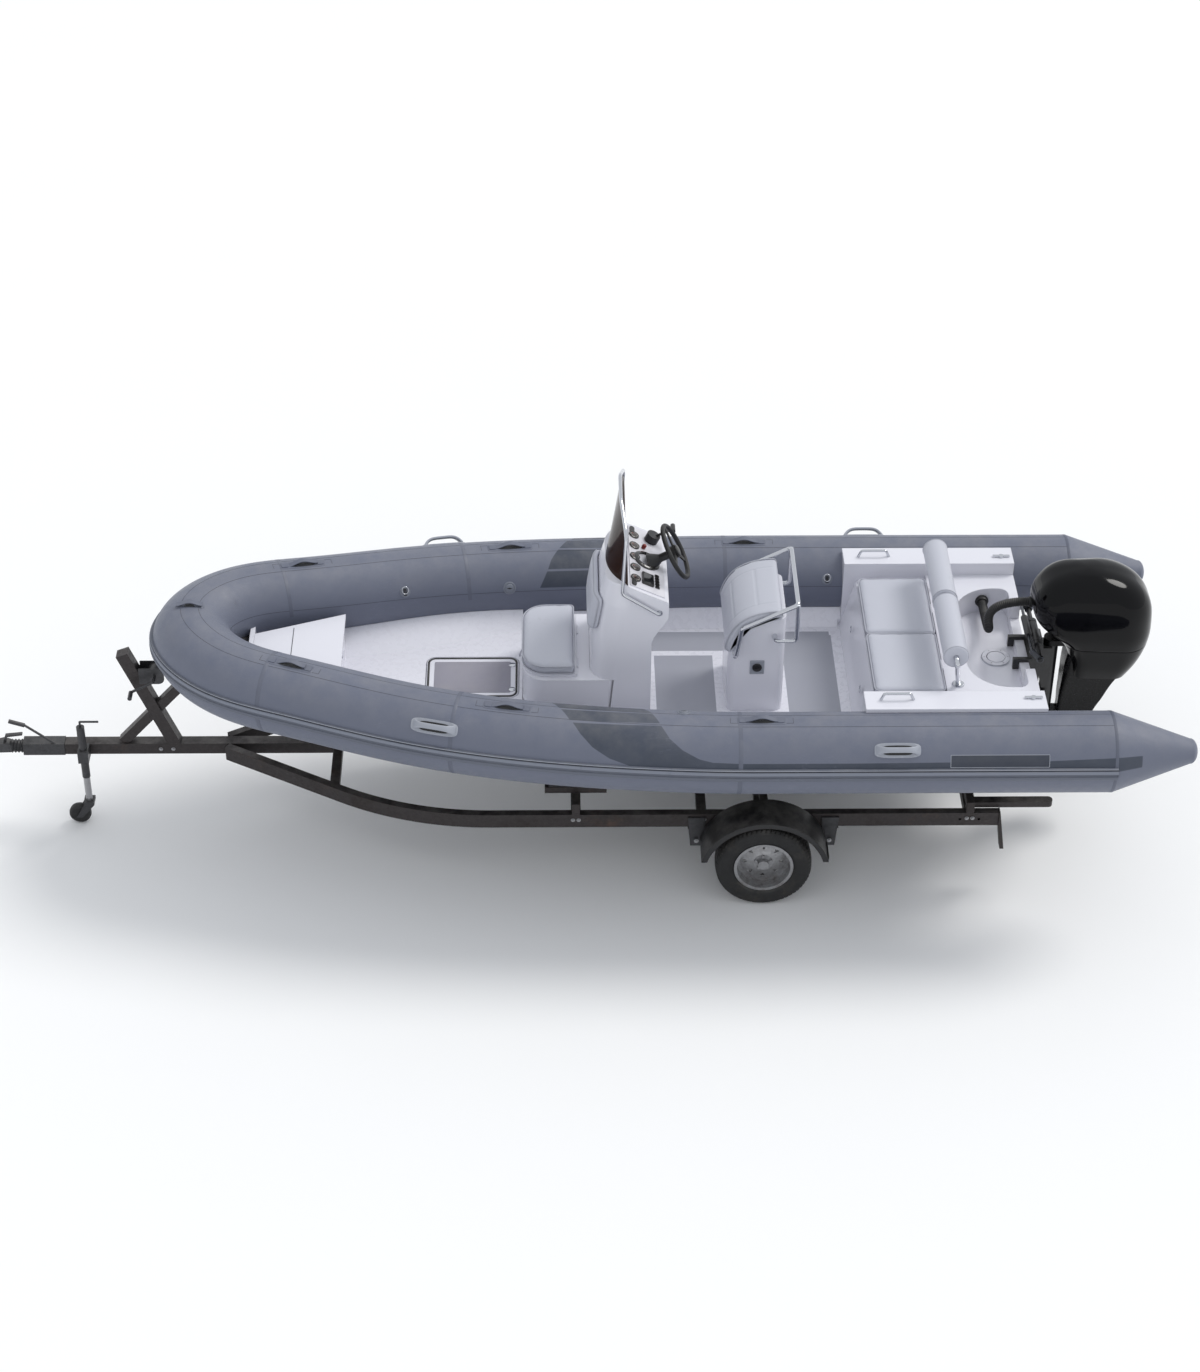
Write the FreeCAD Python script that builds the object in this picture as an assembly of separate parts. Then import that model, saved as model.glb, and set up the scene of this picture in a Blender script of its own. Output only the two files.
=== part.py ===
"""Rigid inflatable boat with console and outboard, on its single-axle trailer.

Every piece is drawn in the boat's datum: X forward from the widest station,
Y to port, Z up from the top of the tubes there. place() then moves it to the
rig's frame, which stands on the floor at the middle of the overall length.
"""
import FreeCAD
import Part
import math
import os

V = FreeCAD.Vector
AXIS_X = V(1, 0, 0)
AXIS_Y = V(0, 1, 0)
AXIS_Z = V(0, 0, 1)

# Fits shared by all pieces
SEAT_GAP = 0.3        # between pieces that bear on each other
RUN_GAP = 5.0         # between pieces that move past each other
CUT_OVERRUN = 20.0    # how far a cutting tool passes its face
SHORTEST_RUN = 0.001  # straight runs below this are left out

# Buoyancy tube
TUBE_R = 250.0
TUBE_HALF_BEAM = 959.0     # centreline to tube centre
BOW_REACH = 3530.0         # widest station to the tube centre at the stem
BOW_RISE = 190.0           # sheer of the tube centre at the stem
STRAIGHT_TUBE = 2145.0     # widest station aft to the cone seam
CONE_LENGTH = 484.0
CONE_TIP_R = 78.0
CONE_CAP_L = 45.0
CONE_CAP_SHARES = ((0.6, 0.86), (1.0, 0.5))
BOW_PLAN_SHARES = ((1.0, 0.0), (0.937, 0.375), (0.812, 0.562), (0.62, 0.765),
                   (0.4357, 0.895), (0.2, 0.975), (0.0, 1.0))

# Rubbing strake along the outside of the tube
STRAKE_HIGH_DEG = 15.0     # above the level of the tube centre
STRAKE_LOW_DEG = -4.0
STRAKE_THICK = 20.0
STRAKE_TAPER_DEG = 3.0

# Hull: stations aft to fore as X, chine half-beam, chine Z, keel Z
HULL_STATIONS = ((-1750.0, 840.0, -540.0, -822.0), (0.0, 840.0, -540.0, -822.0),
                 (1235.0, 806.0, -519.0, -822.0), (2118.0, 640.0, -450.0, -822.0),
                 (2753.0, 430.0, -350.0, -822.0), (2950.0, 340.0, -310.0, -822.0),
                 (3120.0, 225.0, -280.0, -812.0), (3200.0, 165.0, -260.0, -740.0),
                 (3240.0, 130.0, -250.0, -633.0), (3330.0, 70.0, -225.0, -400.0),
                 (3390.0, 30.0, -215.0, -300.0))
HULL_SIDE = 110.0          # height of the hull side above the chine
HULL_TRANSOM_X = -1750.0

# Deck liner
FLOOR_Z = -470.0
FLOOR_THICK = 20.0
LINER_INSET = 165.0        # liner's outer edge, inboard of the tube centre
LINER_LOW_Z = FLOOR_Z - FLOOR_THICK
LINER_TOP_Z = -100.0
LINER_FORE_X = 3180.0
FOREDECK_Z = -385.0
FOREDECK_X = 1453.0
# Cockpit well: X, half-width at its floor, half-width at the top of its sloped sides
COCKPIT_STATIONS = ((-1400.0, 650.0, 1000.0), (0.0, 650.0, 1000.0), (700.0, 630.0, 980.0),
                    (FOREDECK_X, 555.0, 910.0))
FOREDECK_STATIONS = ((FOREDECK_X, 520.0, 960.0), (2050.0, 330.0, 900.0), (2600.0, 215.0, 760.0),
                     (3150.0, 60.0, 560.0))
HATCH_X0 = 1480.0
HATCH_X1 = 2068.0
HATCH_HALF_W = 213.0
HATCH_THICK = 22.0
HATCH_R = 60.0
HATCH_GAP = 6.0
HATCH_LEDGE = 22.0
HATCH_LOCKER_Z = -640.0
HATCH_LOCKER_HALF_W = 180.0

# Bow locker
LOCKER_X0 = 2585.0
LOCKER_X1 = 3175.0
LOCKER_AFT_HALF_W = 300.0
LOCKER_FORE_HALF_W = 80.0
LOCKER_TOP_Z = -100.0
LOCKER_LID_THICK = 30.0
LOCKER_LID_LIP = 15.0
LOCKER_RING_R = 24.0
LOCKER_RING_THICK_R = 4.0
LOCKER_RING_DOWN = 70.0
LOCKER_RING_OUT = 10.0

# Console
CONSOLE_HALF_W = 355.0
CONSOLE_AFT_X = 650.0
CONSOLE_FRONT_X = 1030.0
DASH_FRONT_X = 815.0
DASH_FRONT_Z = 570.0
DASH_AFT_X = 548.0
DASH_AFT_Z = 442.0
DASH_LIP = 120.0
KNEE_Z = 160.0
CONSOLE_AFT_RADII = (18.0, 14.0, 14.0, 150.0)
# Console front face: Z, X of the face, corner radius in plan
CONSOLE_LEVELS = ((FLOOR_Z, 1030.0, 120.0), (-145.0, 1030.0, 150.0), (150.0, 1012.0, 170.0),
                  (400.0, 975.0, 180.0), (545.0, 935.0, 185.0), (640.0, 895.0, 190.0))
DASH_PLATE_THICK = 6.0
DASH_MARGIN = 30.0
GAUGES = 5
GAUGE_R = 31.0
GAUGE_H = 9.0
GAUGE_PITCH = 118.0
GAUGE_DOWN = 38.0

# Windscreen: Z, X at the centre, X at the ends, half-width
SCREEN_LEVELS = ((540.0, 934.0, 800.0, 345.0), (720.0, 900.0, 806.0, 345.0), (905.0, 868.0, 812.0, 338.0),
                 (990.0, 856.0, 832.0, 245.0), (1040.0, 848.0, 843.0, 110.0))
SCREEN_THICK = 6.0
SCREEN_RAIL_R = 11.0
SCREEN_RAIL_Y = 374.0
SCREEN_RAIL_FOOT = V(607.0, 355.3, 368.0)
SCREEN_RAIL_LOW = V(836.0, SCREEN_RAIL_Y, 522.0)
SCREEN_RAIL_HIGH = V(816.0, SCREEN_RAIL_Y, 945.0)
SCREEN_RAIL_TOP = V(846.0, 130.0, 1060.0)
SCREEN_RAIL_BENDS = (13.0, 40.0, 90.0, 200.0)
RAIL_FOOT_R = 20.0
RAIL_FOOT_H = 4.0

# Console seat locker
SEAT_BOX_X1 = 1450.0
SEAT_BOX_TOP_Z = -145.0
SEAT_BOX_WALL = 25.0
SEAT_BOX_R = 150.0
SEAT_BOX_FLOOR_Z = -430.0
SEAT_LID_THICK = 22.0
SEAT_LID_X0 = 1110.0
SEAT_LID_HALF_W = 320.0
SEAT_HINGE_Y = 180.0
SEAT_CUSHION_THICK = 80.0
SEAT_CUSHION_X0 = 1124.0
SEAT_CUSHION_X1 = 1455.0
SEAT_CUSHION_HALF_W = 335.0

# Console backrest pad
PAD_HALF_W = 290.0
PAD_LOW_Z = 180.0
PAD_HIGH_Z = 425.0
PAD_THICK = 42.0

# Helm
WHEEL_RIM_R = 172.0
WHEEL_RIM_THICK_R = 15.0
WHEEL_HUB_R = 42.0
WHEEL_HUB_FRONT = 12.0
WHEEL_HUB_BACK = 24.0
WHEEL_CENTRE = V(500.0, 0.0, 582.0)
WHEEL_RAKE_DEG = 28.0      # helm axis above the level, pointing aft
WHEEL_TURNS_DEG = (90.0, 210.0, 330.0)
HELM_BEZEL_R = 62.0
HELM_BOOT_L = 70.0
HELM_COLUMN_R = 26.0
HELM_L = 150.0
SPOKE_W = 34.0
SPOKE_TIP_SHARE = 0.6
SPOKE_THICK = 10.0

# Engine control
CONTROL_Y = -245.0
CONTROL_DOWN = 185.0
CONTROL_R = 44.0
CONTROL_H = 58.0
LEVER_R = 9.0
LEVER_RISE = 150.0
LEVER_LEAN = 85.0
KNOB_R = 15.0
KNOB_HALF_L = 35.0

# Helm seat
POD_X0 = -190.0
POD_X1 = 165.0
POD_HALF_W = 250.0
POD_FORE_Z = 20.0
POD_AFT_Z = 225.0
POD_EDGE_R = 50.0
SADDLE_HALF_W = 295.0
# Upper line of the helm cushion in side view, front to rear
SADDLE_LINE = ((200.0, 45.0), (168.0, 150.0), (110.0, 240.0), (5.0, 305.0), (-160.0, 335.0))
SADDLE_UNDER_LINE = ((125.0, 10.0), (88.0, 120.0), (40.0, 185.0), (-40.0, 232.0), (-160.0, 250.0))
SEAT_RAIL_R = 14.0
SEAT_RAIL_HALF_W = 313.0
SEAT_RAIL_TOP = V(-250.0, SEAT_RAIL_HALF_W, 393.0)
SEAT_RAIL_FORE = V(90.0, SEAT_RAIL_HALF_W, 215.0)
SEAT_RAIL_KNEE = V(125.0, SEAT_RAIL_HALF_W, -12.0)
SEAT_RAIL_FOOT = V(125.0, POD_HALF_W + SEAT_GAP, -12.0)
SEAT_RAIL_BEND_R = 28.0
SEAT_LOOP_LOW = V(-250.0, SEAT_RAIL_HALF_W, 120.0)
SEAT_LOOP_FOOT = V(-120.0, POD_HALF_W + SEAT_GAP, 120.0)

# Aft bench
BENCH_X0 = -720.0
BENCH_TOE_X = -632.0
BENCH_X1 = -1174.7
BENCH_HALF_W = 608.0
BENCH_TOP_Z = -125.0
BENCH_LID_THICK = 25.0
BENCH_LID_X1 = -1168.0
BENCH_CUSHION_THICK = 60.0
BENCH_CUSHION_SPLIT = 2.0
BENCH_WALL = 30.0
BENCH_CUSHION_X1 = -1163.0
BENCH_HINGE_X = -1172.0
BENCH_HINGE_Z = -75.0
HINGE_R = 4.7
HINGE_L = 90.0
HINGE_Y = 300.0
HINGE_LEAF = 3.0

# Aft moulding with engine well
QUARTER_X0 = -640.0
QUARTER_IN_Y = 685.0
QUARTER_OUT_Y = 868.0
QUARTER_TOP_Z = 10.0
BACK_X0 = -1175.0
WELL_X0 = -1330.0
WELL_HALF_W = 530.0
WELL_FLOOR_Z = -250.0
WELL_SHELF_Z = -80.0
WELL_R = 260.0
SILL_Z = -185.0
SILL_HALF_W = 340.0
TRANSOM_THICK = 60.0

# Backrest bar and rolls behind the bench
BAR_X = -1205.0
BAR_Z = 195.0
BAR_R = 16.0
BAR_CORNER_Y = 652.0
BAR_BEND_R = 30.0
BAR_FOOT = V(-1250.0, 500.0, WELL_SHELF_Z)
BAR_FOOT_R = 38.0
BAR_FOOT_H = 6.0
ROLL_R = 78.0
ROLL_END_Y = 592.0
ROLL_GAP = 16.0

# Deck fittings
HANDLE_X = -838.0
HANDLE_Y = 771.0
HANDLE_L = 200.0
HANDLE_H = 45.0
HANDLE_R = 9.0
HANDLE_LEAN = 20.0
HANDLE_BEND_R = 18.0
CLEAT_X = -1673.0
CLEAT_Y = 762.0
CLEAT_L = 110.0
CLEAT_W = 34.0
CLEAT_H = 12.0
PLATE_R = 92.0
PLATE_THICK = 8.0
PLATE_X = -1564.0

# Handles and fittings on the tube
WEB_X_SHARES = (0.0, 0.4357, 0.812)
WEB_L = 200.0
WEB_W = 40.0
WEB_RISE = 26.0
WEB_THICK = 5.0
WEB_SINK = 8.0
WEB_STEM_L = 170.0
WEB_STEM_SINK = 30.0
CARRY_FORE_X = 1940.0
CARRY_AFT_X = -810.0
CARRY_L = 290.0
CARRY_W = 100.0
CARRY_H = 60.0
CARRY_DEG = 41.0           # above the level of the tube centre
CARRY_TOP_SHARES = (0.86, 0.66)
CARRY_BASE_R = 45.0
CARRY_TOP_R = 28.0
VALVE_R = 42.0
VALVE_H = 9.0
VALVES = ((471.0, 111.0), (1573.0, 160.0))
RING_PATCH_R = 36.0
RING_PATCH_H = 6.0
RINGS = ((2270.0, 155.0), (-540.0, 155.0))

# Engine mounting
CLAMP_HALF_W = 135.0
CLAMP_PLATE = 28.0
TILT_X = -1790.0
TILT_Z = -60.0
TILT_TUBE_R = 15.0
TILT_TUBE_HALF_L = 285.0
EYE_R = 33.0
CLAMP_TOP_Z = -160.0
CLAMP_LOW_Z = -480.0
CLAMP_JAW_LOW_Z = -236.0
CLAMP_JAW_THICK = 40.0
CLAMP_NECK_X0 = -1824.0
CLAMP_NECK_X1 = -1768.0
STEER_X = -1905.0
SWIVEL_R = 46.0
SWIVEL_TOP_Z = -125.0
SWIVEL_LOW_Z = -640.0
SWIVEL_WEB_HALF_W = 60.0
SWIVEL_WEB = ((-1790.0, -36.0), (-1838.0, -66.0), (-1848.0, -130.0), (-1905.0, -130.0),
              (-1905.0, -440.0), (-1864.0, -440.0), (-1776.0, -90.0))
SHAFT_R = 22.0
RAM_X = -1735.0
RAM_Z = -2.0
RAM_R = 22.0
RAM_HALF_L = 100.0
RAM_ROD_R = 9.0
RAM_END_Y = 262.0
RAM_END_THICK = 13.0
RAM_END_W = 34.0
RAM_END_EYE_R = 24.0

# Engine cowl: Z, fore X, aft X, half-width
COWL_LEVELS = ((-330.0, -2035.0, -2396.0, 128.0), (-250.0, -2020.0, -2440.0, 160.0),
               (-150.0, -2000.0, -2480.0, 190.0), (-60.0, -1950.0, -2501.0, 214.0),
               (20.0, -1862.0, -2509.0, 234.0), (110.0, -1778.0, -2506.0, 244.0),
               (220.0, -1748.0, -2490.0, 245.0), (330.0, -1785.0, -2428.0, 222.0),
               (410.0, -1865.0, -2310.0, 172.0), (448.0, -1975.0, -2185.0, 100.0))
COWL_FORE_SHARE = 0.85     # half-width at the front of a level
COWL_CORNER_SHARES = (0.75, 0.9)

# Engine leg: Z, fore X, aft X, half-width
LEG_LEVELS = ((-792.0, -1925.0, -2225.0, 50.0), (-720.0, -1960.0, -2216.0, 50.0),
              (-640.0, -1985.0, -2230.0, 54.0), (-560.0, -1986.0, -2266.0, 62.0),
              (-455.0, -1987.0, -2306.0, 78.0), (-345.0, -1990.0, -2364.0, 96.0),
              (-100.0, -2020.0, -2380.0, 110.0))
LEG_AFT_SHARE = 0.6
LEG_CORNER_SHARES = (0.6, 0.3)
ARM_HALF_W = 50.0
ARM_UPPER_Z = (-120.0, -80.0)
ARM_LOWER_Z = (-690.0, -650.0)
ARM_AFT_X = -2060.0
ARM_LOWER_AFT_X = -2000.0
PLATE_Z = -800.0           # anti-ventilation plate
PLATE_LEVEL_THICK = 12.0
PLATE_LEVEL = ((-1860.0, 88.0), (-2290.0, 105.0))
PLATE_LEVEL_R = 60.0
PROP_Z = -990.0
GEARCASE_R = 58.0
GEARCASE_X0 = -1835.0
GEARCASE_X1 = -2170.0
GEARCASE_NOSE = ((0.0, 8.0), (45.0, 38.0), (120.0, GEARCASE_R), (260.0, GEARCASE_R))
STRUT_TOP = (-1890.0, -2160.0)
STRUT_LOW = (-1880.0, -2130.0)
STRUT_HALF_W = 24.0
SKEG_TOP = (-1900.0, -2120.0)
SKEG_LOW = (-2030.0, -2105.0)
SKEG_RADII = (20.0, 30.0)
SKEG_HALF_W = 7.0
SKEG_LOW_Z = -1195.0
PROP_R = 165.0
PROP_HUB_R = 52.0
PROP_HUB_TAPER = 0.82
PROP_L = 130.0
PROP_GAP = 6.0
PROP_SHAFT_R = 14.0
PROP_BLADES = 3
BLADE_THICK = 7.0
BLADE_TURN_DEG = 32.0
BLADE_SHARES = ((-0.12, 0.22), (-0.38, 0.62), (-0.22, 0.95), (0.12, 0.99), (0.38, 0.70), (0.12, 0.22))

# Rigging hose from the well to the cowl
HOSE_R = 30.0
HOSE_POINTS = (V(-1530.0, -513.0, -165.0), V(-1530.0, -60.0, -165.0), V(-1474.0, -60.0, 150.0),
               V(-1744.0, -60.0, 150.0))
HOSE_BEND_SHARE = 0.45

# Trailer frame
FRAME_TOP_Z = -884.0
RAIL_H = 100.0
RAIL_W = 50.0
RAIL_WALL = 4.0
RAIL_OUT_Y = 779.0
RAIL_AFT_X = -1545.0
RAIL_NOSE_X = 3366.0
RAIL_NOSE_Y = 59.0
RAIL_KNEE_X = 2162.0
RAIL_BEND_R_PLAN = 1900.0
RAIL_HOLE_R = 9.0
RAIL_HOLES_X = (-1300.0, -1420.0)
DRAWBAR_W = 80.0
DRAWBAR_AFT_X = 2680.0
DRAWBAR_FORE_X = 4420.0
CROSS_W = 60.0
CROSS_X = (2650.0, 1120.0, 330.0, -1360.0)

# Hull supports
POST_X = (1120.0, -60.0, -1360.0)
SUPPORT_POST_W = 50.0
SUPPORT_IN_Y = 604.0
SUPPORT_OUT_Y = 664.0
CHANNEL_LOW_Z = -800.0
CHANNEL_THICK = 45.0
CHANNEL_HALF_L = 195.0
ARM_LOW_Z = -845.0
BUNK_X0 = -1600.0
BUNK_X1 = 1290.0
BUNK_IN_Y = 610.0
BUNK_OUT_Y = 658.0
BUNK_LOW_Z = CHANNEL_LOW_Z + CHANNEL_THICK
SKID_X0 = -1350.0
SKID_X1 = -1885.0
SKID_Y = 705.0
SKID_W = 60.0
SKID_TOP_Z = -835.0
SKID_THICK = 40.0
SKID_TIP_R = 28.0
ROLLER_X = (2650.0, 1120.0, -1360.0)
ROLLER_R = 30.0
ROLLER_HALF_L = 70.0
ROLLER_PIN_R = 9.0
ROLLER_CHEEK = 6.0
ROLLER_CHEEK_HALF_W = 26.0

# Wheels and axle
WHEEL_X = -60.0
TYRE_R = 305.0
TYRE_HALF_W = 88.0
TYRE_CENTRE_Y = 895.0
# Tyre section: share of the half-width, depth below the tread
TYRE_SECTION = ((0.62, 129.0), (1.0, 70.0), (0.93, 26.0), (0.7, 4.0))
AXLE_Z = -1165.0
RIM_R = 176.0
RIM_LIP_R = 188.0
RIM_HALF_W = 74.0
RIM_FLANGE = 10.0
RIM_SHEET = 8.0
DISC_OUT = 12.0            # wheel disc outboard of the tyre centre
DISC_DISH = 14.0
DISC_THICK = 7.0
DISC_EDGE = 8.0
DISC_SHOULDER = 22.0
WINDOWS = 8
WINDOW_OUT_R = 124.0
WINDOW_IN_R = 96.0
WINDOW_HALF_W = 17.0
HUB_R = 62.0
HUB_CAP_R = 34.0
HUB_CAP_L = 42.0
NUTS = 5
NUT_R = 10.0
NUT_H = 14.0
NUT_PITCH_R = 50.0
AXLE_W = 50.0
AXLE_END_Y = 815.0
STUB_R = 20.0
SPRING_HALF_L = 400.0
SPRING_W = 50.0
SPRING_LEAF = 8.0
SPRING_LEAVES = 4
SPRING_STEP_SHARE = 0.2
SPRING_RISE = 55.0
HANGER_X = 420.0           # from the axle to each hanger
HANGER_W = 110.0
HANGER_TAPER = 18.0
HANGER_LOW_Z = -1130.0
HANGER_TOP_Z = -905.0
HANGER_PLATE = 6.0
HANGER_PIN_R = 9.0
HANGER_PIN_Z = -1076.0
FENDER_R = 412.0
FENDER_IN_Y = 792.0
FENDER_OUT_Y = 1040.0
FENDER_THICK = 3.0
FENDER_LIP = 34.0
FENDER_END_Z = -1060.0
FLAP_THICK = 4.0
FLAP_H = 150.0
FLAP_IN_Y = 850.0
FLAP_OUT_Y = 1010.0

# Light brackets on the rail ends
LIGHT_PLATE = 6.0
LIGHT_IN_Y = 700.0
LIGHT_OUT_Y = 790.0
LIGHT_LOW_Z = -1170.0
LIGHT_SWEEP = 50.0
LIGHT_TOP_Z = -878.0

# Jockey stand
JOCKEY_X = 4290.0
JOCKEY_Y = 105.0
JOCKEY_OUTER_R = 26.0
JOCKEY_LEG_R = 22.0
JOCKEY_TOP_Z = -690.0
JOCKEY_OUTER_LOW_Z = -1095.0
JOCKEY_CAP = 20.0
JOCKEY_LEG_TOP_Z = -980.0
JOCKEY_CLAMP_HALF_L = 34.0
JOCKEY_CLAMP_RISE = 12.0
JOCKEY_CRANK_R = 7.0
JOCKEY_CRANK_L = 120.0
JOCKEY_WHEEL_R = 72.0
JOCKEY_WHEEL_W = 58.0
JOCKEY_WHEEL_SHARES = ((1.0, 14.0), (0.6, 3.0), (0.0, 0.0))
JOCKEY_TRAIL = 70.0
FORK_CROWN_H = 22.0
FORK_OVER = 40.0           # crown top above the wheel
FORK_HALF_L = 34.0
FORK_END_HALF = 20.0
FORK_END_DROP = 14.0
FORK_PLATE = 5.0
FORK_CLEAR = 6.0
FORK_PIN_R = 8.0

# Coupling and handbrake
COUPLING_TIP_X = 4880.0
COUPLING_SLEEVE_X1 = 4690.0
COUPLING_H = 88.0
COUPLING_W = 88.0
COUPLING_NECK_R = 30.0
BELLOWS_R = 46.0
BELLOWS_X1 = 4775.0
BELLOWS_FOLDS = 4
BELLOWS_FOLD_DEPTH = 9.0
HEAD_HALF_W = 36.0
HEAD_PROFILE = ((4765.0, 26.0), (4815.0, 44.0), (4880.0, 26.0), (4880.0, -30.0), (4765.0, -26.0))
BALL_X = 4838.0
BALL_R = 25.0
BALL_DROP = 8.0
CATCH_TOP = ((4800.0, 30.0), (4790.0, 78.0), (4690.0, 92.0), (4690.0, 104.0), (4800.0, 92.0), (4822.0, 30.0))
CATCH_HALF_W = 12.0
LEVER_FOOT = V(4480.0, 30.0, -886.0)
LEVER_TOP = V(4660.0, 30.0, -735.0)
LEVER_GRIP = V(4760.0, 30.0, -700.0)
BRAKE_LEVER_R = 8.0
BRAKE_GRIP_R = 14.0

# Winch stand
POST_W = 80.0
POST_FOOT = V(3680.0, 0.0, -880.0)
POST_HEAD = V(3985.0, 0.0, -175.0)
BRACE_FOOT = V(4040.0, 0.0, -880.0)
BRACE_HEAD = V(3600.0, 0.0, -390.0)
BRACE_SHARES = (0.7, 0.8)
STOP_X0 = 3364.0
STOP_X1 = 3575.0
STOP_LOW_Z = -425.0
STOP_TOP_Z = -345.0
STOP_HALF_W = 38.0
WINCH_X = 3790.0
WINCH_Z = -335.0
WINCH_R = 50.0
WINCH_CHEEK = 5.0
WINCH_CHEEK_POINTS = ((3730.0, -395.0), (3730.0, -275.0), (3890.0, -275.0), (3890.0, -395.0))
WINCH_CHEEK_R = 40.0
WINCH_SHAFT_R = 9.0
CRANK_OUT = 105.0
CRANK_REACH = V(150.0, 0.0, -80.0)
CRANK_GRIP_L = 70.0
CRANK_GRIP_R = 14.0

GROUND_Z = AXLE_Z - TYRE_R
CONE_END_X = -STRAIGHT_TUBE - CONE_LENGTH - CONE_CAP_L
MID_X = (COUPLING_TIP_X + CONE_END_X) / 2


def place(shape):
    """Moves a shape from the boat's datum to the rig's frame."""
    moved = shape.copy()
    moved.translate(V(-MID_X, 0, -GROUND_Z))
    return moved


def save(name, *shapes):
    """Writes the solids of one node to its STEP file."""
    solids = [solid for shape in shapes for solid in shape.Solids]
    whole = solids[0] if len(solids) == 1 else Part.makeCompound(solids)
    if not whole.isValid() or min(solid.Volume for solid in solids) <= 0:
        print("check this node:", name)
    place(whole).exportStep("parts/" + name + ".step")
    print(name, len(solids))


def mirrored(shape):
    """The same piece on the starboard side."""
    return shape.mirror(V(0, 0, 0), AXIS_Y)


def both(shape):
    """A piece and its mirror image."""
    return [shape, mirrored(shape)]


def fitted_pair(shape, tube_clear):
    """A piece and its mirror image, each shaped to the tube it sits on."""
    return [largest(side.cut(tube_clear)) for side in both(shape)]


def fused(*shapes):
    """One solid from overlapping or touching shapes, its split faces joined."""
    whole = shapes[0]
    if len(shapes) > 1:
        whole = whole.fuse(list(shapes[1:]))
    return whole.removeSplitter()


def largest(shape):
    """The biggest solid of a shape that a cut has left in pieces."""
    return max(shape.Solids, key=lambda solid: solid.Volume)


def block(x0, x1, y0, y1, z0, z1):
    """A box between two corners, given in any order."""
    corner = V(min(x0, x1), min(y0, y1), min(z0, z1))
    return Part.makeBox(abs(x1 - x0), abs(y1 - y0), abs(z1 - z0), corner)


def rod(start, end, radius):
    """A round bar from one point to another."""
    run = end - start
    return Part.makeCylinder(radius, run.Length, start, run)


def bar(start, end, width, height):
    """A rectangular bar along a line in the XZ plane, width across Y."""
    run = end - start
    side = AXIS_Y * (width / 2)
    rise = run.cross(AXIS_Y).normalize() * (height / 2)
    corners = [start + side + rise, start - side + rise, start - side - rise, start + side - rise]
    return Part.Face(Part.makePolygon(corners + corners[:1])).extrude(run)


def corner_arc(before_point, corner, after_point, radius):
    """The tangent arc that rounds a corner: start, middle and end."""
    before = (before_point - corner)
    after = (after_point - corner)
    angle = before.getAngle(after)
    trim = radius / math.tan(angle / 2)
    start = corner + before.normalize() * trim
    end = corner + after.normalize() * trim
    reach = radius / math.sin(angle / 2) - radius
    return start, corner + (before + after).normalize() * reach, end


def outline(points, radii=None):
    """A closed wire of straight sides, each corner rounded by its own radius."""
    count = len(points)
    radii = radii or [0] * count
    arcs = []
    for i, corner in enumerate(points):
        if radii[i] > 0:
            arcs.append(corner_arc(points[i - 1], corner, points[(i + 1) % count], radii[i]))
        else:
            arcs.append((corner, None, corner))
    ring = []
    for i in range(count):
        start, middle, end = arcs[i]
        following = arcs[(i + 1) % count][0]
        if middle:
            ring.append(Part.Arc(start, middle, end).toShape())
        if (following - end).Length > SHORTEST_RUN:
            ring.append(Part.LineSegment(end, following).toShape())
    return Part.Wire(ring)


def side_prism(points, y0, y1, radii=None):
    """An outline drawn in side view, extruded across the boat."""
    wire = outline([V(x, y0, z) for x, z in points], radii)
    return Part.Face(wire).extrude(V(0, y1 - y0, 0))


def plan_prism(points, z0, z1, radii=None):
    """An outline drawn in plan, extruded upwards."""
    wire = outline([V(x, y, z0) for x, y in points], radii)
    return Part.Face(wire).extrude(V(0, 0, z1 - z0))


def plan_block(x0, x1, half_w, z0, z1, radius):
    """A block centred on the keel line with four rounded corners in plan."""
    points = [(x0, half_w), (x1, half_w), (x1, -half_w), (x0, -half_w)]
    return plan_prism(points, z0, z1, [radius] * len(points))


def bent_tube(points, bends, tube_r):
    """A tube along straight runs joined by tangent arcs of the given radii."""
    edges = []
    last = points[0]
    for i in range(1, len(points) - 1):
        start, middle, end = corner_arc(points[i - 1], points[i], points[i + 1], bends[i - 1])
        if (start - last).Length > SHORTEST_RUN:
            edges.append(Part.LineSegment(last, start).toShape())
        edges.append(Part.Arc(start, middle, end).toShape())
        last = end
    if (points[-1] - last).Length > SHORTEST_RUN:
        edges.append(Part.LineSegment(last, points[-1]).toShape())
    section = Part.Wire(Part.makeCircle(tube_r, points[0], points[1] - points[0]))
    return Part.Wire(edges).makePipeShell([section], True, True)


def spun(profile, centre, axis):
    """A closed profile of (along axis, radius) points turned a whole turn."""
    side = AXIS_X if abs(axis.x) < abs(axis.z) + abs(axis.y) else AXIS_Z
    out = (side - axis * side.dot(axis)).normalize()
    points = [centre + axis * along + out * radius for along, radius in profile]
    face = Part.Face(Part.makePolygon(points + points[:1]))
    return face.revolve(centre, axis, 360)


def swept(path, section):
    """A section carried along a path while it stays upright."""
    sweep = Part.BRepOffsetAPI.MakePipeShell(path)
    sweep.setBiNormalMode(AXIS_Z)
    sweep.add(section)
    sweep.build()
    sweep.makeSolid()
    return sweep.shape()


def bow_points():
    """Tube centre points from the stem to the widest station, port side."""
    points = []
    for ahead, beam in BOW_PLAN_SHARES:
        z = -TUBE_R + BOW_RISE * ahead ** 2
        points.append(V(BOW_REACH * ahead, TUBE_HALF_BEAM * beam, z))
    return points


def bow_curve():
    """The tube's centreline round the whole bow, port to starboard."""
    port = bow_points()
    starboard = [V(p.x, -p.y, p.z) for p in port[1:]]
    curve = Part.BSplineCurve()
    curve.interpolate(port[:0:-1] + port[:1] + starboard,
                      InitialTangent=V(1, 0, 0), FinalTangent=V(-1, 0, 0))
    return curve


BOW_CURVE = bow_curve()


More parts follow.
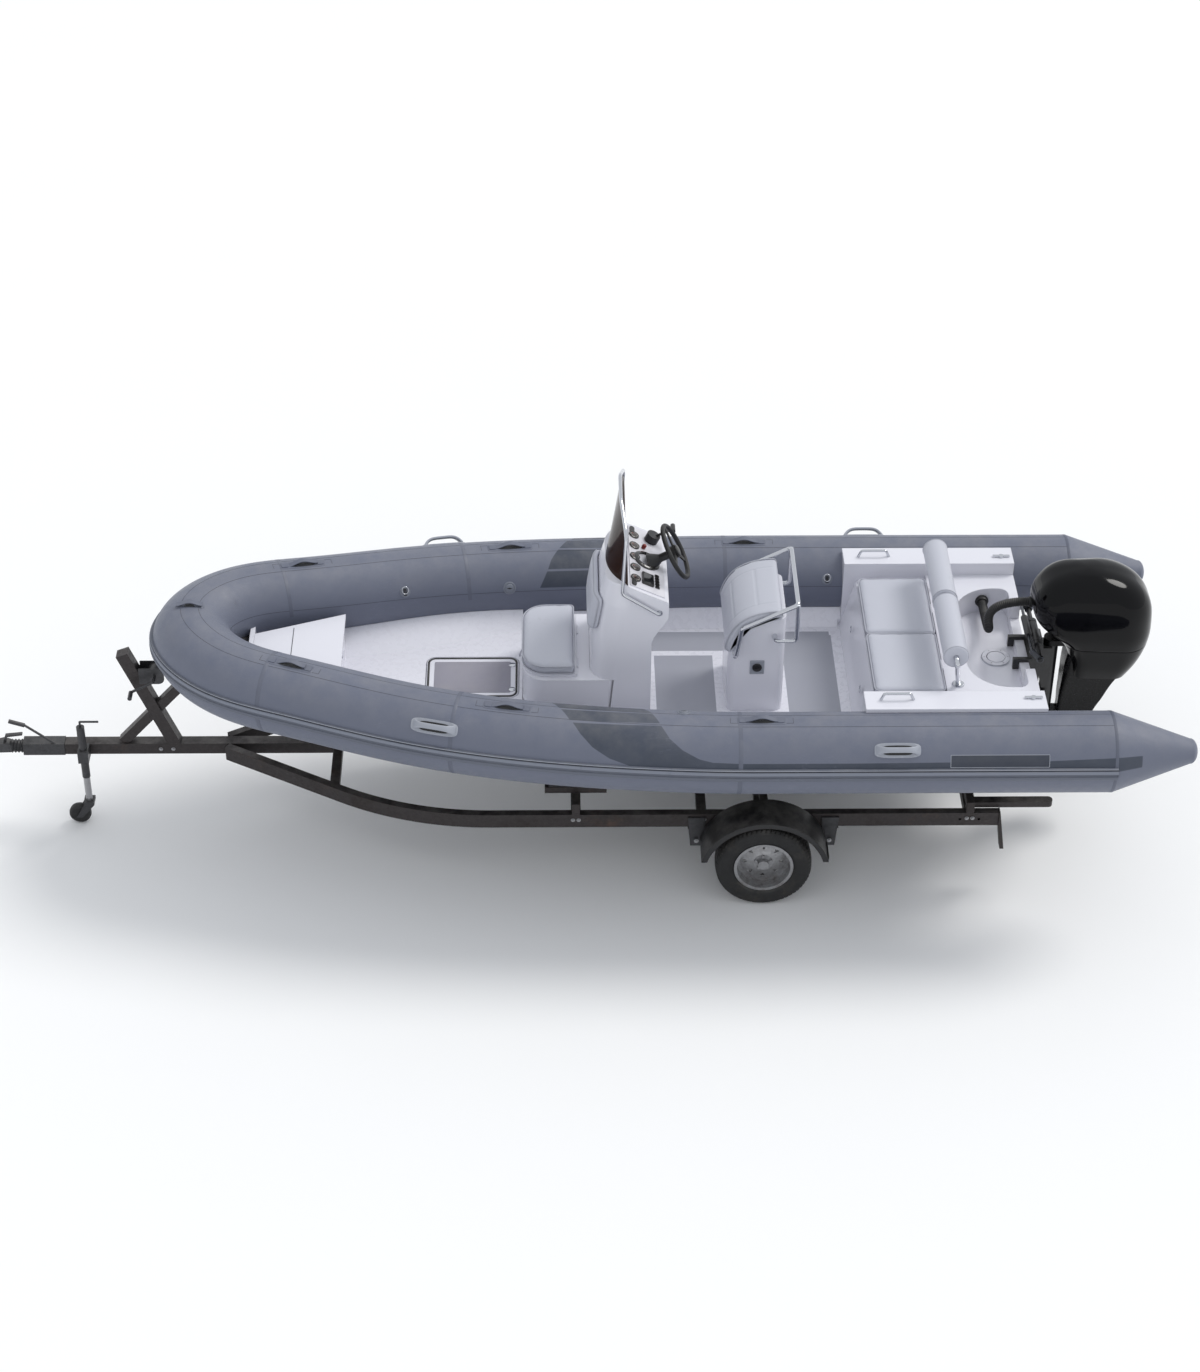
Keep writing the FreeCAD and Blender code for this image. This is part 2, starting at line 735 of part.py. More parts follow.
def tube_plan(x):
    """Half-beam of the tube centre at a station."""
    if x <= 0:
        return TUBE_HALF_BEAM
    return BOW_CURVE.intersect(Part.Plane(V(x, 0, 0), AXIS_X))[0][0].Y


def tube_body(radius):
    """The round tube with its straight sides, without its cones."""
    section = Part.Wire(Part.makeCircle(radius, V(0, TUBE_HALF_BEAM, -TUBE_R), AXIS_X))
    bow = swept(Part.Wire(BOW_CURVE.toShape()), section)
    side = Part.makeCylinder(radius, STRAIGHT_TUBE, V(0, TUBE_HALF_BEAM, -TUBE_R), V(-1, 0, 0))
    return bow.fuse([side, mirrored(side)])


def stern_cone():
    """The pointed end of one tube with its moulded cap."""
    profile = [(0, 0), (0, TUBE_R), (CONE_LENGTH, CONE_TIP_R)]
    for along, across in CONE_CAP_SHARES:
        profile.append((CONE_LENGTH + CONE_CAP_L * along, CONE_TIP_R * across))
    profile.append((CONE_LENGTH + CONE_CAP_L, 0))
    return spun(profile, V(-STRAIGHT_TUBE, TUBE_HALF_BEAM, -TUBE_R), V(-1, 0, 0))


def tube_collar():
    """The whole inflated collar."""
    cone = stern_cone()
    return fused(tube_body(TUBE_R), cone, mirrored(cone))


def rubbing_strake():
    """A moulded band swept round the outside of the collar."""
    def at(radius, degrees):
        angle = math.radians(degrees)
        return V(0, TUBE_HALF_BEAM + radius * math.cos(angle), -TUBE_R + radius * math.sin(angle))
    inner = TUBE_R + SEAT_GAP
    outer = TUBE_R + STRAKE_THICK
    middle = (STRAKE_LOW_DEG + STRAKE_HIGH_DEG) / 2
    low_out = STRAKE_LOW_DEG + STRAKE_TAPER_DEG
    high_out = STRAKE_HIGH_DEG - STRAKE_TAPER_DEG
    back = Part.Arc(at(inner, STRAKE_HIGH_DEG), at(inner, middle), at(inner, STRAKE_LOW_DEG)).toShape()
    low = Part.LineSegment(at(inner, STRAKE_LOW_DEG), at(outer, low_out)).toShape()
    face = Part.Arc(at(outer, low_out), at(outer, middle), at(outer, high_out)).toShape()
    high = Part.LineSegment(at(outer, high_out), at(inner, STRAKE_HIGH_DEG)).toShape()
    section = Part.Wire([back, low, face, high])
    bow = swept(Part.Wire(BOW_CURVE.toShape()), section)
    side = Part.Face(section).extrude(V(-STRAIGHT_TUBE, 0, 0))
    return fused(bow, side, mirrored(side))


def hull_section(x, chine_y, chine_z, keel_z):
    """One closed frame of the hull: keel, chines and sides up into the tube."""
    top = chine_z + HULL_SIDE
    points = [V(x, 0, keel_z), V(x, chine_y, chine_z), V(x, chine_y, top), V(x, -chine_y, top),
              V(x, -chine_y, chine_z)]
    return Part.makePolygon(points + points[:1])


def hull_form():
    """The hull's outer form before it is fitted to the tube and the deck."""
    return Part.makeLoft([hull_section(*row) for row in HULL_STATIONS], True, True)


def deck_plan(grow):
    """Plan points of the deck and aft moulding, grown by a small clearance."""
    stations = [LINER_FORE_X * i / len(HULL_STATIONS) for i in range(1, len(HULL_STATIONS) + 1)]
    port = [(HULL_TRANSOM_X - CUT_OVERRUN, QUARTER_OUT_Y + grow), (QUARTER_X0 + grow, QUARTER_OUT_Y + grow),
            (QUARTER_X0 + grow, TUBE_HALF_BEAM - LINER_INSET + grow), (0, TUBE_HALF_BEAM - LINER_INSET + grow)]
    port += [(x + grow, tube_plan(x) - LINER_INSET + grow) for x in stations]
    return port + [(x, -y) for x, y in reversed(port)]


def hull(tube_clear):
    """The V-bottomed hull under the collar, from transom to forefoot."""
    room = plan_prism(deck_plan(SEAT_GAP), LINER_LOW_Z - SEAT_GAP, CUT_OVERRUN)
    return hull_form().cut(tube_clear).cut([room, hatch_locker()])


def well_form(stations, floor_z, shrink):
    """The open space between sloped sides, lofted through stations."""
    top = LINER_TOP_Z + CUT_OVERRUN
    wires = []
    for x, low, high in stations:
        low -= shrink
        high -= shrink
        points = [V(x, low, floor_z), V(x, high, top), V(x, -high, top), V(x, -low, floor_z)]
        wires.append(Part.makePolygon(points + points[:1]))
    return Part.makeLoft(wires, True, True)


def deck_liner(tube_clear):
    """The cockpit moulding: floor, sloped sides and the raised foredeck."""
    plan = deck_plan(0)
    half = len(plan) // 2
    aft_y = QUARTER_IN_Y - SEAT_GAP
    aft_x = QUARTER_X0 + SEAT_GAP
    port = [(BACK_X0 + SEAT_GAP, aft_y), (aft_x, aft_y), (aft_x, plan[2][1])] + plan[3:half]
    points = port + [(x, -y) for x, y in reversed(port)]
    shell = plan_prism(points, LINER_LOW_Z, LINER_TOP_Z)
    wells = [well_form(COCKPIT_STATIONS, FLOOR_Z, 0), well_form(FOREDECK_STATIONS, FOREDECK_Z, 0)]
    aft_well = block(BACK_X0, QUARTER_X0 + CUT_OVERRUN, -QUARTER_IN_Y, QUARTER_IN_Y, FLOOR_Z, 0)
    return shell.cut(wells + [aft_well]).cut(tube_clear).cut([hatch_recess(), hatch_locker()])


def deck_hatch():
    """The flush foredeck hatch, hinged along its forward edge."""
    return plan_block(HATCH_X0, HATCH_X1, HATCH_HALF_W, FOREDECK_Z - HATCH_THICK, FOREDECK_Z, HATCH_R)


def hatch_recess():
    """The seat for the hatch in the foredeck, with the running gap round it."""
    gap = HATCH_GAP
    return plan_block(HATCH_X0 - gap, HATCH_X1 + gap, HATCH_HALF_W + gap, FOREDECK_Z - HATCH_THICK - SEAT_GAP,
                      FOREDECK_Z + CUT_OVERRUN, HATCH_R + gap)


def hatch_locker():
    """The storage space under the hatch, down into the hull."""
    return plan_block(HATCH_X0 + HATCH_LEDGE, HATCH_X1 - HATCH_LEDGE, HATCH_LOCKER_HALF_W, HATCH_LOCKER_Z,
                      FOREDECK_Z, HATCH_R)


def bow_locker(tube_clear):
    """The step locker in the bow, with its lid edge standing proud and a pull ring."""
    lid_z = LOCKER_TOP_Z - LOCKER_LID_THICK
    x = LOCKER_X0 + LOCKER_LID_LIP
    body = plan_prism([(x, LOCKER_AFT_HALF_W), (LOCKER_X1, LOCKER_FORE_HALF_W),
                       (LOCKER_X1, -LOCKER_FORE_HALF_W), (x, -LOCKER_AFT_HALF_W)], FOREDECK_Z, lid_z)
    lid = plan_prism([(LOCKER_X0, LOCKER_AFT_HALF_W), (LOCKER_X1, LOCKER_FORE_HALF_W),
                      (LOCKER_X1, -LOCKER_FORE_HALF_W), (LOCKER_X0, -LOCKER_AFT_HALF_W)], lid_z, LOCKER_TOP_Z)
    room = well_form(FOREDECK_STATIONS, FOREDECK_Z, SEAT_GAP)
    centre = V(x - LOCKER_RING_OUT, 0, lid_z - LOCKER_RING_DOWN)
    ring = Part.makeTorus(LOCKER_RING_R, LOCKER_RING_THICK_R, centre, AXIS_X)
    top = centre + AXIS_Z * LOCKER_RING_R
    staple = rod(top - AXIS_X * LOCKER_RING_THICK_R, top + AXIS_X * (2 * LOCKER_RING_OUT), 2 * LOCKER_RING_THICK_R)
    return fused(fused(body, lid).common(room).cut(tube_clear), ring, staple)


def console_levels():
    """Plan outlines of the console at each level of its front face."""
    wires = []
    half = CONSOLE_HALF_W
    x0 = DASH_AFT_X - CUT_OVERRUN
    for z, x1, corner in CONSOLE_LEVELS:
        points = [V(x0, half, z), V(x1, half, z), V(x1, -half, z), V(x0, -half, z)]
        wires.append(outline(points, [0, corner, corner, 0]))
    return wires


def console_body():
    """The console shell, leaning back under the screen, with a hollow knee side."""
    form = Part.makeLoft(console_levels(), True, True)
    top = CONSOLE_LEVELS[-2]
    fore = CONSOLE_FRONT_X + CUT_OVERRUN
    points = [(fore, FLOOR_Z - CUT_OVERRUN), (fore, top[0]), (top[1], top[0]), (DASH_FRONT_X, DASH_FRONT_Z),
              (DASH_AFT_X, DASH_AFT_Z), (DASH_AFT_X, DASH_AFT_Z - DASH_LIP), (CONSOLE_AFT_X, KNEE_Z),
              (CONSOLE_AFT_X, FLOOR_Z - CUT_OVERRUN)]
    side = side_prism(points, -CONSOLE_HALF_W - CUT_OVERRUN, CONSOLE_HALF_W + CUT_OVERRUN,
                      [0, 0, 0] + list(CONSOLE_AFT_RADII) + [0])
    return form.common(side)


def seat_outline(x0, x1, half_w, corner_r, z0, z1):
    """A seat piece, square aft and rounded at the front."""
    points = [(x0, half_w), (x1, half_w), (x1, -half_w), (x0, -half_w)]
    return plan_prism(points, z0, z1, [0, corner_r, corner_r, 0])


def console_seat_box():
    """The open-topped locker under the console seat, fitted to the console's rounded front."""
    x0 = CONSOLE_FRONT_X - SEAT_BOX_R
    outer = seat_outline(x0, SEAT_BOX_X1, CONSOLE_HALF_W, SEAT_BOX_R, FLOOR_Z, SEAT_BOX_TOP_Z)
    wall = SEAT_BOX_WALL
    room = seat_outline(SEAT_LID_X0 + wall, SEAT_BOX_X1 - wall, SEAT_LID_HALF_W - wall, SEAT_BOX_R - wall,
                        SEAT_BOX_FLOOR_Z, SEAT_BOX_TOP_Z + CUT_OVERRUN)
    console = Part.makeLoft(console_levels()[:2], True, True)
    console.translate(V(SEAT_GAP, 0, 0))
    return outer.cut(room).cut(console)


def console_seat_lid():
    """The lid that carries the console seat cushion."""
    z0 = SEAT_BOX_TOP_Z + SEAT_GAP
    lid = seat_outline(SEAT_LID_X0, SEAT_BOX_X1, SEAT_LID_HALF_W, SEAT_BOX_R, z0, z0 + SEAT_LID_THICK)
    hinges = []
    for y in (SEAT_HINGE_Y, -SEAT_HINGE_Y):
        start = V(SEAT_LID_X0 - HINGE_R, y - HINGE_L / 2, z0 + HINGE_R)
        hinges.append(rod(start, start + AXIS_Y * HINGE_L, HINGE_R))
        hinges.append(block(start.x, SEAT_LID_X0 + HINGE_LEAF, start.y, start.y + HINGE_L, start.z,
                            start.z + HINGE_LEAF))
    return fused(lid, *hinges)


def console_seat_cushion():
    """The cushion on the console seat lid."""
    z0 = SEAT_BOX_TOP_Z + SEAT_LID_THICK + 2 * SEAT_GAP
    return seat_outline(SEAT_CUSHION_X0, SEAT_CUSHION_X1, SEAT_CUSHION_HALF_W, SEAT_BOX_R, z0,
                        z0 + SEAT_CUSHION_THICK)


def console_backrest(console):
    """The pad wrapped round the console's front face above the seat."""
    wires = [wire.copy() for wire in console_levels()]
    form = Part.makeLoft(wires, True, True)
    form.translate(V(PAD_THICK, 0, 0))
    room = block(CONSOLE_FRONT_X - SEAT_BOX_R, CONSOLE_FRONT_X + 2 * PAD_THICK, -PAD_HALF_W, PAD_HALF_W,
                 PAD_LOW_Z, PAD_HIGH_Z)
    shell = console.copy()
    shell.translate(V(SEAT_GAP, 0, 0))
    return form.common(room).cut(shell)


def dash_slope():
    """Unit vectors down the dash and square out of it."""
    down = V(DASH_AFT_X - DASH_FRONT_X, 0, DASH_AFT_Z - DASH_FRONT_Z).normalize()
    return down, V(down.z, 0, -down.x)


def dash_panel():
    """The instrument plate on the console top with its round gauges."""
    down, out = dash_slope()
    low = out * SEAT_GAP
    start = V(DASH_FRONT_X, 0, DASH_FRONT_Z) + down * DASH_MARGIN + low
    end = V(DASH_AFT_X, 0, DASH_AFT_Z) - down * DASH_MARGIN + low
    lift = out * (DASH_PLATE_THICK / 2)
    plate = bar(start + lift, end + lift, 2 * (CONSOLE_HALF_W - DASH_MARGIN), DASH_PLATE_THICK)
    gauges = []
    for i in range(GAUGES):
        y = (i - (GAUGES - 1) / 2) * GAUGE_PITCH
        centre = start + down * GAUGE_DOWN + AXIS_Y * y + lift
        gauges.append(Part.makeCylinder(GAUGE_R, GAUGE_H, centre, out))
    return fused(plate, *gauges)


def screen_ring(z, x_mid, x_end, half_w):
    """A U-shaped band in plan, open aft, for one level of the screen."""
    thick = SCREEN_THICK
    outer = [V(x_end, half_w, z), V(x_mid, 0, z), V(x_end, -half_w, z)]
    inner = [V(x_end, half_w - thick, z), V(x_mid - thick, 0, z), V(x_end, thick - half_w, z)]
    return Part.Wire([Part.Arc(*outer).toShape(), Part.LineSegment(outer[2], inner[2]).toShape(),
                      Part.Arc(*reversed(inner)).toShape(), Part.LineSegment(inner[0], outer[0]).toShape()])


def windscreen(console):
    """The smoked screen, wrapped round the console top under the rail's arch."""
    seat = console.copy()
    seat.translate(V(0, 0, SEAT_GAP))
    return largest(Part.makeLoft([screen_ring(*row) for row in SCREEN_LEVELS], True, True).cut([console, seat]))


def screen_rail():
    """The grab rail that runs up one side of the screen, over it and down the other."""
    port = [SCREEN_RAIL_FOOT, V(SCREEN_RAIL_FOOT.x, SCREEN_RAIL_Y, SCREEN_RAIL_FOOT.z), SCREEN_RAIL_LOW,
            SCREEN_RAIL_HIGH, SCREEN_RAIL_TOP]
    points = port + [V(p.x, -p.y, p.z) for p in reversed(port)]
    bends = list(SCREEN_RAIL_BENDS) + list(reversed(SCREEN_RAIL_BENDS))
    foot = Part.makeCylinder(RAIL_FOOT_R, RAIL_FOOT_H, SCREEN_RAIL_FOOT, AXIS_Y)
    return fused(bent_tube(points, bends, SCREEN_RAIL_R), foot, mirrored(foot))


def helm_axis():
    """Unit vector from the dash out to the steering wheel."""
    angle = math.radians(WHEEL_RAKE_DEG)
    return V(-math.cos(angle), 0, math.sin(angle))


def helm_hub(console, dash):
    """The tilt helm between dash and wheel, fitted to the plate it stands on."""
    axis = helm_axis()
    end = WHEEL_CENTRE - axis * (WHEEL_HUB_BACK + SEAT_GAP)
    base = end - axis * HELM_L
    column = rod(base, end, HELM_COLUMN_R)
    boot = Part.makeCone(HELM_BEZEL_R, HELM_COLUMN_R, HELM_BOOT_L, base, axis)
    return largest(fused(column, boot).cut(console).cut(dash))


def steering_wheel():
    """Three-spoked wheel with a round grip."""
    axis = helm_axis()
    rim = Part.makeTorus(WHEEL_RIM_R, WHEEL_RIM_THICK_R, WHEEL_CENTRE, axis)
    hub = Part.makeCylinder(WHEEL_HUB_R, WHEEL_HUB_FRONT + WHEEL_HUB_BACK, WHEEL_CENTRE - axis * WHEEL_HUB_BACK, axis)
    pieces = [rim, hub]
    up = V(axis.z, 0, -axis.x)
    low = WHEEL_CENTRE - axis * (SPOKE_THICK / 2)
    for turn in WHEEL_TURNS_DEG:
        out = FreeCAD.Rotation(axis, turn).multVec(up)
        side = axis.cross(out) * (SPOKE_W / 2)
        tip = low + out * WHEEL_RIM_R
        corners = [low + side, low - side, tip - side * SPOKE_TIP_SHARE, tip + side * SPOKE_TIP_SHARE]
        pieces.append(Part.Face(Part.makePolygon(corners + corners[:1])).extrude(axis * SPOKE_THICK))
    return fused(*pieces)


def throttle(dash):
    """The engine control on the starboard end of the dash."""
    down, out = dash_slope()
    foot = V(DASH_FRONT_X, CONTROL_Y, DASH_FRONT_Z) + down * CONTROL_DOWN + out * SEAT_GAP
    box = Part.makeCylinder(CONTROL_R, CONTROL_H, foot, out)
    tip = foot + out * LEVER_RISE + down * LEVER_LEAN
    lever = rod(foot + out * (CONTROL_H / 2), tip, LEVER_R)
    knob = rod(tip - AXIS_Y * KNOB_HALF_L, tip + AXIS_Y * KNOB_HALF_L, KNOB_R)
    return fused(box, lever, knob).cut(dash)


def saddle_form(under):
    """The helm cushion's side view as a smooth closed face."""
    upper = Part.BSplineCurve()
    upper.interpolate([V(x, 0, z) for x, z in SADDLE_LINE])
    lower = Part.BSplineCurve()
    lower.interpolate([V(x, 0, z) for x, z in under])
    edges = [upper.toShape(), lower.toShape(), Part.LineSegment(upper.StartPoint, lower.StartPoint).toShape(),
             Part.LineSegment(upper.EndPoint, lower.EndPoint).toShape()]
    return Part.Face(Part.Wire(Part.sortEdges(edges)[0]))


def seat_cushion():
    """The curved helm cushion, falling away at the front."""
    cushion = saddle_form(SADDLE_UNDER_LINE).extrude(V(0, 2 * SADDLE_HALF_W, 0))
    cushion.translate(V(0, -SADDLE_HALF_W, 0))
    return cushion


def seat_pod(cushion):
    """The moulded plinth under the helm seat, shaped to the cushion."""
    body = plan_block(POD_X0, POD_X1, POD_HALF_W, FLOOR_Z, POD_AFT_Z + CUT_OVERRUN, POD_EDGE_R)
    above = side_prism([(POD_X1 + CUT_OVERRUN, POD_FORE_Z), (POD_X1 + CUT_OVERRUN, POD_AFT_Z + 2 * CUT_OVERRUN),
                        (POD_X0 - CUT_OVERRUN, POD_AFT_Z + 2 * CUT_OVERRUN),
                        (POD_X0 - CUT_OVERRUN, POD_AFT_Z + CUT_OVERRUN), (SADDLE_UNDER_LINE[2][0], POD_AFT_Z),
                        (SADDLE_UNDER_LINE[0][0] + CUT_OVERRUN, POD_FORE_Z)], -2 * POD_HALF_W, 2 * POD_HALF_W)
    room = cushion.copy()
    room.translate(V(0, 0, -SEAT_GAP))
    return body.cut(above).cut([room, cushion])


def seat_rail():
    """The rail round the back of the helm seat with its two lower loops."""
    port = [SEAT_RAIL_FOOT, SEAT_RAIL_KNEE, SEAT_RAIL_FORE, SEAT_RAIL_TOP]
    points = port + [V(p.x, -p.y, p.z) for p in reversed(port)]
    rail = bent_tube(points, [SEAT_RAIL_BEND_R] * (len(points) - 2), SEAT_RAIL_R)
    loop = bent_tube([SEAT_LOOP_FOOT, V(SEAT_LOOP_FOOT.x, SEAT_LOOP_LOW.y, SEAT_LOOP_FOOT.z), SEAT_LOOP_LOW,
                      SEAT_RAIL_TOP], [SEAT_RAIL_BEND_R] * 2, SEAT_RAIL_R)
    return fused(rail, loop, mirrored(loop))


def bench_base():
    """The open-topped locker of the aft bench with its sloped front."""
    half = QUARTER_IN_Y - SEAT_GAP
    outer = side_prism([(BENCH_TOE_X, FLOOR_Z), (BENCH_X0, BENCH_TOP_Z), (BENCH_X1, BENCH_TOP_Z),
                        (BENCH_X1, FLOOR_Z)], -half, half)
    wall = BENCH_WALL
    inner = BENCH_HALF_W - wall
    room = side_prism([(BENCH_X0 - wall, FLOOR_Z + wall), (BENCH_X0 - wall, BENCH_TOP_Z + CUT_OVERRUN),
                       (BENCH_X1 + wall, BENCH_TOP_Z + CUT_OVERRUN), (BENCH_X1 + wall, FLOOR_Z + wall)], -inner, inner)
    return outer.cut(room)


def bench_lid():
    """The bench's lid, hinged along its aft edge."""
    z0 = BENCH_TOP_Z + SEAT_GAP
    lid = block(BENCH_X0, BENCH_LID_X1, -BENCH_HALF_W, BENCH_HALF_W, z0, z0 + BENCH_LID_THICK)
    hinges = []
    for y in (HINGE_Y, -HINGE_Y):
        start = V(BENCH_HINGE_X, y - HINGE_L / 2, BENCH_HINGE_Z)
        hinges.append(rod(start, start + AXIS_Y * HINGE_L, HINGE_R))
        hinges.append(block(BENCH_LID_X1 - HINGE_LEAF, BENCH_LID_X1, start.y, start.y + HINGE_L, z0, start.z))
    return fused(lid, *hinges)


def bench_cushions():
    """The two halves of the bench cushion."""
    z0 = BENCH_TOP_Z + BENCH_LID_THICK + 2 * SEAT_GAP
    half = block(BENCH_X0, BENCH_CUSHION_X1, BENCH_CUSHION_SPLIT / 2, BENCH_HALF_W, z0, z0 + BENCH_CUSHION_THICK)
    return both(half)


def aft_moulding(tube_clear):
    """Side decks, bench back, engine well and transom in one moulding."""
    low = LINER_LOW_Z
    quarter = block(QUARTER_X0, HULL_TRANSOM_X, QUARTER_IN_Y, QUARTER_OUT_Y, low, QUARTER_TOP_Z)
    tray = block(BACK_X0, HULL_TRANSOM_X, -QUARTER_IN_Y, QUARTER_IN_Y, low, WELL_SHELF_Z)
    inner_x = HULL_TRANSOM_X + TRANSOM_THICK
    points = [(WELL_X0, WELL_HALF_W), (inner_x, WELL_HALF_W), (inner_x, -WELL_HALF_W), (WELL_X0, -WELL_HALF_W)]
    pool = plan_prism(points, WELL_FLOOR_Z, CUT_OVERRUN, [WELL_R, TRANSOM_THICK, TRANSOM_THICK, WELL_R])
    sill = block(inner_x + CUT_OVERRUN, HULL_TRANSOM_X - CUT_OVERRUN, -SILL_HALF_W, SILL_HALF_W, SILL_Z,
                 CUT_OVERRUN)
    return fused(*both(quarter), tray).cut([pool, sill]).cut(tube_clear)


def backrest_bar():
    """The stainless bar that carries the backrest rolls."""
    base = BAR_FOOT + AXIS_Z * SEAT_GAP
    points = [base, V(BAR_X, BAR_CORNER_Y, BAR_Z), V(BAR_X, -BAR_CORNER_Y, BAR_Z), V(base.x, -base.y, base.z)]
    foot = Part.makeCylinder(BAR_FOOT_R, BAR_FOOT_H, base, AXIS_Z)
    rail = bent_tube(points, [BAR_BEND_R] * 2, BAR_R)
    floor = block(BAR_FOOT.x - BAR_FOOT_R, BAR_FOOT.x + BAR_FOOT_R, -QUARTER_IN_Y, QUARTER_IN_Y, base.z,
                  base.z - CUT_OVERRUN)
    return fused(rail, foot, mirrored(foot)).cut(floor)


def backrest_rolls():
    """The two padded rolls, sleeved on the bar."""
    roll = Part.makeCylinder(ROLL_R, ROLL_END_Y - ROLL_GAP / 2, V(BAR_X, ROLL_GAP / 2, BAR_Z), AXIS_Y)
    hole = Part.makeCylinder(BAR_R + SEAT_GAP, 2 * ROLL_END_Y, V(BAR_X, -ROLL_END_Y, BAR_Z), AXIS_Y)
    return both(roll.cut(hole))


def deck_fittings():
    """Grab handles and low cleats on the side decks, and the well's screw-out plate."""
    z = QUARTER_TOP_Z + SEAT_GAP
    half = HANDLE_L / 2
    points = [V(HANDLE_X + half, HANDLE_Y, z), V(HANDLE_X + half - HANDLE_LEAN, HANDLE_Y, z + HANDLE_H),
              V(HANDLE_X - half + HANDLE_LEAN, HANDLE_Y, z + HANDLE_H), V(HANDLE_X - half, HANDLE_Y, z)]
    handle = bent_tube(points, [HANDLE_BEND_R] * 2, HANDLE_R)
    handle = handle.cut(block(HANDLE_X - HANDLE_L, HANDLE_X + HANDLE_L, 0, 2 * HANDLE_Y, z, z - CUT_OVERRUN))
    foot = Part.makeCylinder(CLEAT_W / 2, CLEAT_H, V(CLEAT_X, CLEAT_Y, z), AXIS_Z)
    horn = block(CLEAT_X - CLEAT_L / 2, CLEAT_X + CLEAT_L / 2, CLEAT_Y - CLEAT_W / 4, CLEAT_Y + CLEAT_W / 4,
                 z + CLEAT_H / 2, z + CLEAT_H)
    plate = Part.makeCylinder(PLATE_R, PLATE_THICK, V(PLATE_X, 0, WELL_FLOOR_Z + SEAT_GAP), AXIS_Z)
    return both(handle) + both(fused(foot, horn)) + [plate]


def tube_frame(x, degrees):
    """A point on the tube's port side with its outward and along directions."""
    if x <= 0:
        centre, along = V(x, TUBE_HALF_BEAM, -TUBE_R), V(1, 0, 0)
    else:
        hit = BOW_CURVE.intersect(Part.Plane(V(x, 0, 0), AXIS_X))[0][0]
        centre = V(hit.X, hit.Y, hit.Z)
        along = BOW_CURVE.tangent(BOW_CURVE.parameter(centre))[0]
    return tube_seat(centre, along, degrees)


def tube_seat(centre, along, degrees):
    """Seat point on the tube's skin, outward direction and along direction."""
    flat = V(along.y, -along.x, 0).normalize()
    if flat.y + flat.x < 0:
        flat = flat * -1
    angle = math.radians(degrees)
    out = (flat * math.cos(angle) + AXIS_Z * math.sin(angle)).normalize()
    return centre + out * (TUBE_R + SEAT_GAP), out, along


def webbing_handle(seat, out, along, length, sink):
    """A strap handle arched over the top of the tube."""
    side = along.cross(out).normalize() * (WEB_W / 2)
    run = along * (length / 2)
    thick = out * WEB_THICK
    high = seat - side + out * WEB_RISE
    low = seat - side - out * sink
    arch = Part.Arc(low - run, high, low + run).toShape()
    over = Part.Arc(low + run + thick, high + thick, low - run + thick).toShape()
    ends = [Part.LineSegment(low + run, low + run + thick).toShape(),
            Part.LineSegment(low - run, low - run + thick).toShape()]
    face = Part.Face(Part.Wire(Part.sortEdges([arch, over] + ends)[0]))
    return face.extrude(side * 2)


def webbing_handles(tube_clear):
    """Strap handles along the tops of both tubes and one at the stem."""
    handles = []
    for share in WEB_X_SHARES:
        seat, out, along = tube_frame(share * BOW_REACH, 90)
        handles += fitted_pair(webbing_handle(seat, out, along, WEB_L, WEB_SINK), tube_clear)
    stem = V(BOW_REACH, 0, BOW_RISE + SEAT_GAP)
    handle = webbing_handle(stem, AXIS_Z, AXIS_X, WEB_STEM_L, WEB_STEM_SINK)
    handles.append(largest(handle.cut(tube_clear)))
    return handles


def carry_handle(x):
    """A moulded carrying handle on the outside of the tube."""
    seat, out, along = tube_frame(x, CARRY_DEG)
    across = out.cross(along).normalize()

    def corners(share_l, share_w, height):
        l = along * (CARRY_L / 2 * share_l)
        w = across * (CARRY_W / 2 * share_w)
        rise = out * height
        return [seat + l + w + rise, seat + l - w + rise, seat - l - w + rise, seat - l + w + rise]
    base = outline(corners(1, 1, -CUT_OVERRUN), [CARRY_BASE_R] * 4)
    top = outline(corners(*CARRY_TOP_SHARES, CARRY_H), [CARRY_TOP_R] * 4)
    return Part.makeLoft([base, top], True, True)


def carry_handles(tube_clear):
    """Four carrying handles, two a side."""
    handles = []
    for x in (CARRY_FORE_X, CARRY_AFT_X):
        handles += fitted_pair(carry_handle(x), tube_clear)
    return handles


def tube_fittings(tube_clear):
    """Inflation valves and lashing patches on the tube's inner side."""
    pieces = []
    for places, radius, height in ((VALVES, VALVE_R, VALVE_H), (RINGS, RING_PATCH_R, RING_PATCH_H)):
        for x, degrees in places:
            seat, out, along = tube_frame(x, degrees)
            disc = Part.makeCylinder(radius, height + radius / 2, seat - out * (radius / 2), out)
            pieces += fitted_pair(disc, tube_clear)
    return pieces


